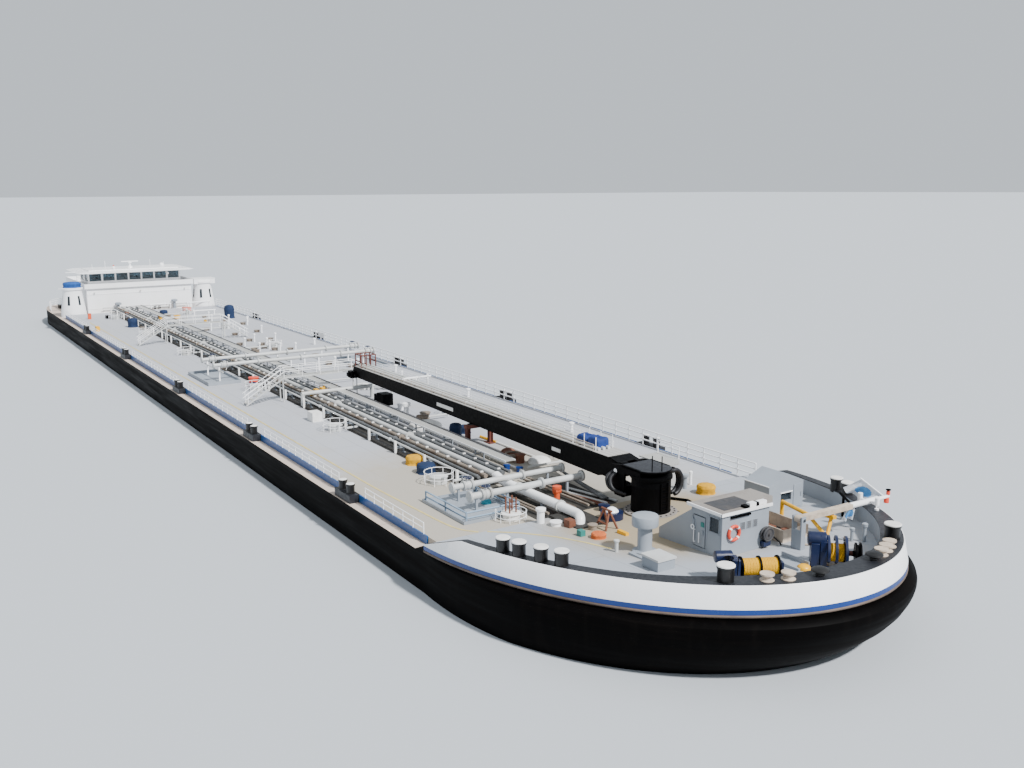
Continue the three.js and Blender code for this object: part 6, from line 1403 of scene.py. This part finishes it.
ROOF_VENTS = [(x, y, HOUSE_DECK)
              for x, y in ((-68.2, -4.5), (-68.8, 3.0), (-69.6, 5.2), (-67.2, 6.0), (-69.4, -1.2))]
LAMPS = [(-55.35, y, 9.5) for y in (-6.4, 0.0, 6.4)]
PIPE_X, FRONT_PIPES_Z = -55.1, (7.25, 6.9)
piece("house_fittings", [
    (white_gloss, boxes(*side_frames, *mouldings, *seam_lines),
     repeated(lathe(np.array(HOUSE_VENT) * (0.8, 0.7), sides=22), ROOF_VENTS),
     boxes((-70.5, -69.5, -6.3, -5.2, HOUSE_DECK, 10.9), (-68.0, -67.0, -1.6, 0.4, HOUSE_DECK, 10.7))),
    (glass_dark, boxes(*side_panes)),
    (dark_steel, *[lathe(FUNNEL, (-69.9, y, HOUSE_DECK), 22) for y in (-3.2, 1.2)]),
    (cap_white, repeated(lathe([(0.06, -0.1), (0.11, -0.04), (0.11, 0.1), (0.03, 0.14)], sides=14), LAMPS)),
    (house_grey, repeated(lathe(HOUSE_VENT, sides=26), FRONT_VENTS)),
    (pipe_grey, bars([run(PIPE_X, (-5.5, 6.5), z) for z in FRONT_PIPES_Z], 0.05, 8),
     bars([run(PIPE_X, y, (TRUNK_Z, 7.27)) for y in np.arange(-5.5, 6.6, 1.5)], 0.035, 6)),
    (dark_steel, boxes(*[(-55.45, -55.2, y, y + 0.35, 6.63, 7.05) for y in (-1.6, -0.9, 1.7, 2.3)])),
], slot="white_paint")

# %% Corner towers
TOWER_X, TOWER_Y = -56.2, 9.25
TOWER_WALL = [(1.72, CLEAR), (1.7, 0.08), (1.69, 0.4), (1.6, 1.2), (1.46, 2.2), (1.34, 3.1), (1.3, 3.6),
              (1.3, 3.8), (1.45, 3.88), (1.46, 4.12), (1.3, 4.16)]
# Angles of each tower's windows in radians, and what tops it, in metres about the tower's foot.
WINDOW_ANGLES = {-1: (0.45, -0.55, -1.7), 1: (-0.45, 0.55, -1.4)}
TOWER_TOP = {
    -1: [(cover_blue, cloth_cover(0, 0, 1.32, 0.84, 4.16)),
         (white_gloss, bars([run(0.9, (TOWER_Y - 10.2, TOWER_Y - 11.2), 4.1)], 0.03, 6))],
    1: [(white_gloss, boxes((-1.1, 1.1, -1.5, 1.65, 3.8, 4.55), (-1.15, 1.15, -1.52, 1.7, 4.55, 4.6)))]}


def tower_window(angle, low=1.7, high=3.0, width=0.34):
    """A dark pane bent to the tower's wall: rows of points at the wall's radius plus 15 mm, backed by
    rows that lie 20 mm inside the wall."""
    z = np.linspace(low, high, 6)[:, None]
    a = angle + np.linspace(-0.5, 0.5, 5)[None] * width / 1.5
    radius, height = np.transpose(TOWER_WALL)
    r = np.interp(z, height, radius)
    outer, inner = (np.stack([(r + d) * np.cos(a), (r + d) * np.sin(a), z + 0 * a], -1)
                    for d in (0.015, -0.02))
    return rod(np.concatenate([outer, inner[:, ::-1]], 1))


for word, side in (("starboard", -1), ("port", 1)):
    piece(f"tower_skin_{word}", [
        (white_gloss, lathe([*TOWER_WALL, (0.9, 4.17), (0.03, 4.18)], sides=64)),
        (glass_dark, *[tower_window(a) for a in WINDOW_ANGLES[side]]), *TOWER_TOP[side],
    ], place=(TOWER_X, side * TOWER_Y, SIDE_DECK_Z), slot="white_paint", stands_for=[f"tower_{word}"])

# %% Wheelhouse details
AFT_PANE, FORE_PANE, SILL, HEAD, CABIN_TOP = -64.9, -58.5, 10.85, 11.95, 12.4
PANE_Y = (-5.6, -3.7, -1.85, 0, 1.85, 3.7, 5.6)
pane_frames = [(x0, x1, y - 0.86, y + 0.86, z - 0.02, z + 0.03) for y in PANE_Y for z in (SILL, HEAD)
               for x0, x1 in ((FORE_PANE, FORE_PANE + 0.03), (AFT_PANE - 0.03, AFT_PANE))
               if y or x0 == FORE_PANE]
wipers = [run(FORE_PANE + 0.05, (y, y + 0.35), (HEAD - 0.05, SILL + 0.3)) for y in PANE_Y]
AERIALS = [(-63.5, -3.2, 13.45), (-63.5, 3.4, 13.45), (-61.5, -5.4, 13.2), (-60, 4.6, 13.3)]    # x, y and top
aerials = [run(x, y, (CABIN_TOP, top)) for x, y, top in AERIALS]
piece("wheelhouse_fittings", [
    (white_gloss, boxes(*pane_frames), bars(aerials, 0.03, 6),
     bars([run((-63.9, -63.1), 3.4, 13.0), run((-63.9, -63.1), -3.2, 13.1)], 0.025, 6),
     lathe([(0.3, 0), (0.34, 0.05), (0.34, 0.25), (0.2, 0.42), (0.03, 0.47)], (-62.8, 5.0, 12.46), 24),
     lathe([(0.12, 0), (0.12, 0.08), (0.2, 0.12), (0.2, 0.3), (0.1, 0.38), (0.02, 0.4)],
           (-60.3, -2.6, 12.46), 20),
     lathe([(0.02, -0.12), (0.16, -0.1), (0.19, 0), (0.16, 0.08), (0.02, 0.1)], (-58.25, 4.7, 11.6), 20, 0)),
    (crane_black, bars(wipers, 0.018, 5),
     boxes((-62.2, -60.8, -0.5, 0.5, 9.7, 10.6), (-62.0, -61.0, -2.6, -1.6, 9.58, 10.5))),
    (life_ring_red, lathe([(0.1, 0), (0.1, 0.1), (0.02, 0.18)], (-60.3, -2.6, 12.86), 14)),
    (winch_navy, boxes((-59.9, -59.2, -4.6, 4.6, 9.6, 10.55))),
], body="wheelhouse", slot="white_paint")
RADAR_PLAN = [(-0.1, -1.2), (-0.06, -1.24), (0.06, -1.24), (0.1, -1.2),
              (0.1, 1.2), (0.06, 1.24), (-0.06, 1.24), (-0.1, 1.2)]
piece("radar_bar", [(white_gloss, plate(RADAR_PLAN, 13.33, 13.47),
                     lathe([(0.12, 0), (0.12, 0.1), (0.07, 0.12), (0.07, 0.2)], (0, 0, 13.263), 16))],
      body="radar_scanner", place=(-61.5, 0, 0), slot="white_paint", stands_for=["radar_scanner"])

# %% Aft deck: rail and bollards
# Half of the rail's line as x and y, from where it starts at the side to the stern's middle.
RAIL_LINE = [(-64.5, 11.1), (-68.5, 10.75), (-71.5, 10.1), (-73.3, 9.0), (-73.55, 6), (-73.55, 0)]
line = np.array([(x, -y) for x, y in RAIL_LINE] + RAIL_LINE[-2::-1])
RAIL_LEVELS, RAIL_POSTS = (0.1, 0.4, 0.7, 1.02), 44
levels = [tube(eased(np.column_stack([line, np.full(len(line), h)]), 0.5, 4), 0.026, 8) for h in RAIL_LEVELS]
post_x, post_y = (np.interp(np.arange(0, 1, 1 / RAIL_POSTS), np.linspace(0, 1, len(line)), column)
                  for column in line.T)
post_ends = np.stack([np.column_stack([post_x, post_y, 0 * post_x + h]) for h in (CLEAR, CLEAR + 1.02)], 1)
AFT_BOLLARDS = [(x, side * 9.3, 0) for x in (-67.6, -68.7) for side in (-1, 1)]
ON_AFT_DECK = (0, 0, SIDE_DECK_Z)
piece("stern_rail_bars", [
    (white_gloss, *levels, bars(post_ends, 0.026, 6)),
    (fitting_black, repeated(lathe(MOORING_POST, sides=22), AFT_BOLLARDS)),
    (cap_white, repeated(lathe(POST_CAP, sides=22), AFT_BOLLARDS)),
], place=ON_AFT_DECK, slot="white_paint", stands_for=["stern_rail"])

# %% Workboat on its chocks
# Sections of the boat as y, half width at the gunwale and height of the keel.
BOAT = np.array([(-2.5, 0.3, 0.45), (-1.9, 0.55, 0.22), (-1.2, 0.7, 0.1), (0.6, 0.8, 0.05), (1.9, 0.55, 0.15),
                 (2.35, 0.3, 0.3), (2.6, 0.1, 0.5)])
BOAT_X, GUNWALE, BOAT_WALL = -72.35, 0.85, 0.06
# Shape of a section, from the keel out: shares of its half width and of its height.
SECTION = [(0.0, 0), (0.5, 0.02), (0.8, 0.3), (0.95, 0.65), (1.0, 1.0)]


def boat_shell():
    """Sections of the boat: a flat bottom that curves up to the gunwale, outside and 60 mm inside."""
    y, half_width, keel = BOAT.T
    outer, inner = ([np.stack([np.maximum(half_width - inset, 0.03) * out, y,
                               keel + inset * (1 - up) + up * (GUNWALE - keel)], -1) for out, up in SECTION]
                    for inset in (0.0, BOAT_WALL))
    loop = [row * (-1, 1, 1) for row in outer[::-1]] + outer[1:] + inner[::-1]
    loop += [row * (-1, 1, 1) for row in inner[1:]]
    return rod(np.stack(loop, 1) + (0, 0, 0.45))


piece("workboat_skin", [
    (white_gloss, boat_shell()),
    (primer_red, boxes((-0.6, 0.6, -1.3, -1.1, 0.95, 1.0), (-0.65, 0.65, 0.7, 0.95, 0.95, 1.0))),
    (dark_steel, boxes((-0.55, 0.55, -1.28, -1.12, CLEAR, 0.56), (-0.55, 0.55, 0.92, 1.08, CLEAR, 0.51),
                       (-0.15, 0.15, 2.45, 2.75, 0.9, 1.5))),
], place=(BOAT_X, 0, SIDE_DECK_Z), slot="white_paint", stands_for=["workboat"])

# %% [markdown]
# ## Paint for the CAD solids that stay
#
# The solids that no piece stands for still show, so each gets a finish too. Their own materials
# are one flat colour each; the table swaps them for the noise-built ones by node name. Solids that
# aren't in the table get the coated steel of the parts under water.

# %% Table of finishes for carried-over solids
bronze = painted_steel("machined bronze", "#A5813C", "#7A6A3C", 0.28, 500, 0.6, dimple=0.05, Metallic=1.0)
coated_steel = painted_steel("coated underwater steel", "#5B5E63", "#46413C", 0.5, 900, 0.7)


def pane_finish():
    """Tinted pane: mostly clear, with a faint smear that changes the gloss."""
    material, tree, shader = finish_material("tinted window glass", "#6F8894", 0.05, Transmission_Weight=0.85)
    place = add(tree, "TexCoord")["Object"]
    smear = noise(tree, place, 900, 3.0)
    tree.links.new(mixed(tree, smear, linear("#5E7682"), linear("#7C95A1")), shader.inputs["Base Color"])
    tree.links.new(ranged(tree, smear, 0, 1, 0.02, 0.12), shader.inputs["Roughness"])
    return material


window_glass = pane_finish()
WORDS_OF = {
    white_gloss: "bow_band house_walls house_roof house_door_starboard house_door_port wheelhouse_walls "
                 "wheelhouse_roof wheelhouse_door",
    house_grey: "fore_house fore_house_door stores_house", stripe_blue: "bow_stripe",
    strake_brown: "rubbing_strake", fore_grey: "foredeck", roof_brown: "fore_house_roof",
    window_glass: "wheelhouse_glass", crane_black: "davit_post davit_arm",
    bronze: "propeller_starboard propeller_port"}
finish_of = {node: finish for finish, nodes in WORDS_OF.items() for node in nodes.split()}
for name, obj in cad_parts.items():
    for spot in obj.material_slots:
        spot.material = finish_of.get(name, coated_steel)
print("painted", len(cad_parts), "CAD solids")

# %% [markdown]
# ## Gear on the decks
#
# A working deck is never bare. Small vents, drums, covers, valves and frames stand between the big
# pieces, and without them the model would look like a toy. Each is one of a few forms, placed from a
# table of real positions, and each stands on the deck below it. None is tall enough for the boom.

# %% Forms of small gear
def pot(x, y, radius, height, lid=1.2):
    """A post, drum or small vent: a round body with a wider lid."""
    return lathe([(radius, -0.01), (radius, height * 0.78), (radius * lid, height * 0.8),
                  (radius * lid, height * 0.95), (radius * 0.6, height)], (x, y, deck_z(x)), 18)


def dome(x, y, radius, height):
    """A shallow dome on a short wall: a quarter of an ellipse turned round."""
    a = np.linspace(0, math.pi / 2 - 0.05, 7)
    return lathe([(radius, -0.01)] + [(radius * math.cos(t), height * (0.3 + 0.7 * math.sin(t))) for t in a],
                 (x, y, deck_z(x)), 28)


def crate(x, y, long, wide, height):
    """A closed box that stands on the deck."""
    return blocks(x, y, long, wide, deck_z(x) - 0.02, deck_z(x) + height)


def cover(x, y, radius, height):
    """A cloth cover that stands on the deck."""
    return cloth_cover(x, y, radius, height, deck_z(x))


def on_deck(*path, rise=0.08):
    """A path along the deck, at a small height over it, from x and y pairs."""
    return [(x, y, deck_z(x) + rise) for x, y in path]


def gear(finish, *shapes, pots=(), domes=(), crates=(), covers=()):
    """A part of a piece: its finish, any shapes, and one form for each row of the tables. A row is x
    and y, then for a pot its radius, height and lid share, for a dome or cover its radius and height,
    and for a crate its length, width and height."""
    tables = ((pot, pots), (dome, domes), (crate, crates), (cover, covers))
    return (finish, *shapes, *[form(*row) for form, rows in tables for row in rows])


# %% Gear on the tank deck
rust = painted_steel("rusty fitting steel", "#7A4A35", "#4D3024", 0.75, 300, 0.7)
teal_paint = painted_steel("satin marine paint, teal", "#1F8CA0", "#176473", 0.4, 400, 0.4)
VENTS = [(-27.8, 1.7), (-28.4, 4.1), (-21.4, 3.3), (-15.6, 3.2), (-13.2, 1.3), (-11.8, 3.4), (-9.5, 2.9),
         (-8.7, 1.5), (-7.5, 3.4), (-6.5, 4.8), (-15.0, 5.5), (-36.5, 4.3), (-35.2, 6.2), (-40.0, 4.9),
         (4.5, 4.8), (7.0, 6.2), (12.0, 5.4), (15.5, 6.8), (-1.0, 5.6), (-22.5, 6.4), (-30.5, 7.2)]
GATES = [(-43.4, 5.8), (-55.0, 2.6), (-54.6, 8.2)]        # white frames of a bar on two posts
COLLECTORS = (-45, -27, -9, 14, 32, 48)                   # x of the short cross pipes
TEST_X, TEST_Y = 55.1, -5.6                               # the drum in its own ring guard
gate_bars = [run(x, (y - 1.6, y + 1.6), TRUNK_Z + 0.7) for x, y in GATES]
gate_bars += [run(x, y + dy, (TRUNK_Z, TRUNK_Z + 0.7)) for x, y in GATES for dy in (-1.4, 1.4)]
collector_bars = [run(x, ends, TRUNK_Z + 0.3) for x in COLLECTORS for ends in ((0.2, 3.3), (-5.1, -4.2))]
high_pipe = [run((21.7, 21.6), (-4.6, 1.9), TRUNK_Z + 1.0), run(21.7, -4.5, (TRUNK_Z, TRUNK_Z + 1.0)),
             run(21.6, 1.7, (TRUNK_Z, TRUNK_Z + 1.0))]
dark_lines = [on_deck((49.0 + k, 1.7 - k * 0.25), (55.6, 0.55 - k * 0.25), rise=0.25) for k in (0, 0.6, 1.2)]
rust_lines = [on_deck((52.4 + k, -0.9 + k * 0.6), (55.9, -0.2 + k * 0.55)) for k in (0, 0.5, 1.1)]
grey_lines = [on_deck((52.2, y), (55.9, y + 0.9)) for y in (-0.6, 0.1)]
drum_legs = [run(TEST_X + dx, TEST_Y + dy, (TRUNK_Z + 0.4, TRUNK_Z + 1.25))
             for dx in (-0.2, 0.2) for dy in (-0.2, 0.2)]
drum_on_stand = lathe([(0.02, -0.2), (0.2, -0.18), (0.2, 0.18), (0.02, 0.2)], (53.9, -1.75, 7.25), 16, 1)
valve_boxes = joined(*[blocks(x, y, 0.5, 0.3, PIPE_Z + 0.1, PIPE_Z + 0.42)
                       for x, y in ((20.6, -2.9), (21.3, -3.6), (20.2, -2.2))])
piece("tank_deck_gear", [
    gear(pipe_brown, pots=[(x, y, 0.34, 0.3) for x, y in VENTS]),
    gear(white_gloss, bars(gate_bars, 0.09, 10),
         repeated(ring_guard(0.85, 0.5, 10), [(TEST_X, TEST_Y, TRUNK_Z)]),
         pots=[*[(x + 0.9, y + 0.3, 0.08, 1.0, 1.7) for x, y in VENTS],
               *[(x, 8.6, 0.12, 0.75, 1.7) for x in (-33, -9, 12, 26, 41)],
               (31.5, 0.0, 0.2, 1.55, 1.7), (27.4, 1.6, 0.3, 0.5), (26.0, -0.2, 0.16, 0.7, 1.6),
               (55.6, 6.8, 0.09, 0.85)]),
    gear(crane_black, crates=[(24.9, 1.35, 1.2, 0.9, 0.95), (23.3, 1.7, 0.7, 0.9, 0.6),
                              (-16.6, -1.9, 0.9, 0.7, 0.6), (-47.6, -6.3, 1.1, 0.5, 0.4)]),
    gear(pipe_grey, bars(high_pipe, 0.17, 14), bars(grey_lines, 0.07, 8), bars(collector_bars, 0.08, 8)),
    gear(orange_paint, drum_on_stand, pots=[(53.9, -1.75, 0.17, 0.95, 1.5)],
         crates=[(-50.4, 5.2, 1.4, 1.0, 0.5), (-48.0, -8.6, 0.5, 0.4, 0.8)]),
    gear(yellow_paint, bars([on_deck((38.8, 2.2), (40.8, 2.3))], 0.1, 10), valve_boxes,
         pots=[(-42.3, -0.4, 0.45, 0.6), (-42.2, 1.7, 0.4, 0.45), (16.1, -0.3, 0.2, 0.7),
               (17.0, 0.25, 0.16, 0.5)],
         domes=[(-36.6, 4.2, 0.4, 0.35)], crates=[(-34.7, -10.0, 0.9, 0.4, 0.6)]),
    gear(rust, bars(drum_legs, 0.045, 6), bars(rust_lines, 0.055, 8), crates=[(-46.7, -3.95, 0.6, 0.5, 0.75)],
         pots=[(44.7, 0.95, 0.4, 0.45), (45.9, 0.95, 0.3, 0.6)], domes=[(43.6, 1.5, 0.5, 0.4)]),
    gear(pipe_dark, bars(dark_lines, 0.07, 8)),
    gear(cap_white, bars([on_deck((40.8, 2.3), (46.6, 2.4))], 0.07, 8), pots=[(TEST_X, TEST_Y, 0.45, 0.42)],
         domes=[(34.1, 0.25, 1.25, 0.6), (46.6, 2.0, 0.75, 0.42), (17.6, 2.6, 0.8, 0.5),
                (23.6, 0.4, 0.5, 0.4)],
         crates=[(27.2, -5.65, 1.1, 0.8, 0.7)]),
    gear(pipe_brown, hoop((45.4, 0.75, TRUNK_Z + 0.5), 0.5, 0.07), domes=[(45.4, 0.75, 0.55, 0.45)],
         pots=[(31.3, 1.7, 0.36, 0.55), (33.2, 0.5, 0.4, 0.8),
               *[(x, y, 0.3, 0.35)
                 for x, y in ((-44, 1.0), (-33, -5.0), (-7, 1.2), (2, -5.2), (10.5, 0.6))]]),
    gear(cover_navy, covers=[(37.6, 0.85, 0.5, 1.05), (-47.5, 1.2, 0.6, 0.7), (36.9, 2.0, 0.5, 0.6),
                             (11.8, -5.4, 0.4, 0.5)]),
    gear(stripe_blue, pots=[(46.9, -0.7, 0.2, 0.35), (47.7, -0.25, 0.2, 0.35)]),
    gear(teal_paint, domes=[(52.2, -5.4, 0.3, 0.4)]),
    gear(life_ring_red, pots=[(10.6, -4.95, 0.42, 0.75, 1.1)]),
    gear(cap_white, boxes((-12.6, -10.9, COAMING_Y - 0.08, COAMING_Y - 0.03, 7.0, 7.5))),
], slot="pipe_grey")

# %% A painted walkway line
# A pale yellow line marks the way from the tank deck's edge round the working space to the casing.
def painted_line(path, width=0.14):
    """A flat strip along a path: at each point, a low rectangle across the path, from half the width
    on one side to half the width on the other, and the rectangles joined by a skin."""
    path = np.array(path, float)
    ahead = np.gradient(path, axis=0)
    across = np.stack([-ahead[:, 1], ahead[:, 0]], -1) / np.linalg.norm(ahead, axis=1)[:, None] * width / 2
    low, high = deck_z(path[:, 0]) - 0.01, deck_z(path[:, 0]) + 0.015
    return rod(np.stack([np.column_stack([path + side * across, z])
                         for side, z in ((1, low), (1, high), (-1, high), (-1, low))], 1))


line_yellow = painted_steel("deck marking paint, pale yellow", "#CDBB7C", "#A69A78", 0.7, 600, 0.7)
sweep = eased([(-44.0, -9.3, 0), (10.0, -9.3, 0), (46.0, -9.3, 0), (54.9, -8.9, 0),
               (55.9, -8.1, 0)], 2.0)[:, :2]
onward = [(56.3, -7.8), (57.5, -6.6), (59.2, -5.5), (60.8, -4.9), (62.4, -4.5)]
piece("walkway_lines", [(line_yellow, painted_line(sweep), painted_line(onward))], slot="deck_grey")

# %% Gear on the foredeck
TRIPOD = np.array([(70.9, 0.5), (71.75, 0.75), (71.1, 1.25)])      # corners of the low white frame
TROUGH = (64.0, 66.8, 2.45, 4.21)                                  # x and y limits of the open trough
tripod = np.column_stack([TRIPOD, np.full(3, float(deck_z(71.2)) + 0.06)])
trough_z = float(deck_z(65.4)) - 0.04
a_frame = [[(x0, y, z0), (x1, -2.6, 7.85)] for x0, x1, z0 in ((59.1, 59.35, 6.78), (60.0, 59.75, 6.8))
           for y in (-3.0, -2.2)]
a_frame += [run((59.15, 59.95), -2.6, 7.85), run((59.2, 59.9), -2.85, 7.2)]
black_rack = [[(65.3, 8.3, 8.35), (66.6, 7.9, 7.95)], run(65.6, 8.2, (8.25, 7.2)),
              run(66.3, 8.0, (8.05, 7.25))]
black_lines = [on_deck((56.9, 3.3), (58.4, 4.0), rise=0.09), on_deck((58.4, 4.0), (60.2, 3.5), rise=0.09)]
x0, x1, y0, y1 = TROUGH
trough_walls = [(x0, x1, y0, y0 + 0.06), (x0, x1, y1 - 0.06, y1), (x0, x0 + 0.06, y0 + 0.06, y1 - 0.06),
                (x1 - 0.06, x1, y0 + 0.06, y1 - 0.06)]
net_orange = cloth_finish("heaped net, orange", "#E0773A", "#9C4420", 0.9, 160)
piece("foredeck_gear", [
    gear(rust, bars(a_frame, 0.06, 8),
         crates=[(58.2, -3.95, 0.5, 0.4, 0.4), (64.9, 3.3, 0.9, 0.5, 0.35), (66.0, 3.6, 0.5, 0.4, 0.3)]),
    gear(winch_navy, pots=[(58.4, -1.35, 0.62, 0.42, 1.0), (56.9, -0.7, 0.28, 0.34)],
         crates=[(62.2, -0.2, 0.3, 0.25, 0.3)]),
    gear(white_gloss, bars(np.stack([tripod, np.roll(tripod, -1, axis=0)], 1), 0.05, 8),
         pots=[(56.7, -4.75, 0.2, 0.85, 1.35), (57.6, -4.4, 0.28, 0.25)], domes=[(58.4, -1.35, 0.42, 0.66)]),
    gear(net_orange, covers=[(60.6, -3.9, 0.42, 0.3)]),
    gear(yellow_paint, crates=[(60.9, -2.6, 0.7, 0.2, 0.16)], domes=[(69.95, 0.35, 0.3, 0.24)]),
    gear(green_paint, crates=[(59.8, -4.4, 0.35, 0.3, 0.3)]),
    gear(pipe_brown, pots=[(59.3, -3.3, 0.22, 0.3), (60.7, 4.0, 0.26, 0.45)]),
    gear(crane_black, bars(black_lines, 0.08, 10), bars(black_rack, 0.07, 8)),
    gear(house_grey, boxes((68.4, 70.0, -0.05, 0.65, deck_z(69) - 0.02, deck_z(69) + 0.16),
                           (68.4, 70.0, 0.6, 0.65, deck_z(69), deck_z(69) + 0.35)),
         pots=[(56.2, 5.8, 0.13, 0.9, 1.7), (69.0, 5.6, 0.09, 0.95, 1.6), (68.6, 5.2, 0.08, 0.7, 1.6)]),
    gear(roller_beige, boxes(*[(*limits, trough_z, trough_z + 0.74) for limits in trough_walls]),
         bars([on_deck((67.4, 2.7), (68.1, 3.4), rise=0.05)], 0.05, 6)),
    gear(dark_steel, boxes((x0 + 0.06, x1 - 0.06, y0 + 0.06, y1 - 0.06, trough_z, trough_z + 0.1))),
], slot="house_grey")

# %% [markdown]
# ## Floor and light
#
# The floor is a plain pale sheet at the waterline, so the hull floats in it. One large soft sun
# stands for clear daylight from ahead and a little to port, so the house's starboard wall lies in
# shade as in the photograph, and a pale world fills the shadows.

# %% Stage
FLOOR_HALF = 300.0           # model metres, far past the horizon of the view
floor_mesh = bpy.data.meshes.new("floor")
floor_mesh.from_pydata([(x * FLOOR_HALF, y * FLOOR_HALF, WATERLINE * SCALE)
                        for x, y in ((-1, -1), (1, -1), (1, 1), (-1, 1))], [], [(0, 1, 2, 3)])
floor = bpy.data.objects.new("floor", floor_mesh)
bpy.context.scene.collection.objects.link(floor)
floor_material, _, _ = finish_material("plain pale studio floor", "#B7BCC1", 0.9)
floor_mesh.materials.append(floor_material)
world = bpy.data.worlds.new("studio")
world.use_nodes = True
world.node_tree.nodes["Background"].inputs["Color"].default_value = linear("#D6DEE6")
world.node_tree.nodes["Background"].inputs["Strength"].default_value = 1.05
bpy.context.scene.world = world
sun = bpy.data.objects.new("sun", bpy.data.lights.new("sun", "SUN"))
sun.data.energy, sun.data.angle = 6.8, math.radians(4)
sun.rotation_euler = (math.radians(44), 0, math.radians(106))
bpy.context.scene.collection.objects.link(sun)
print("sun from", [round(math.degrees(a)) for a in sun.rotation_euler])
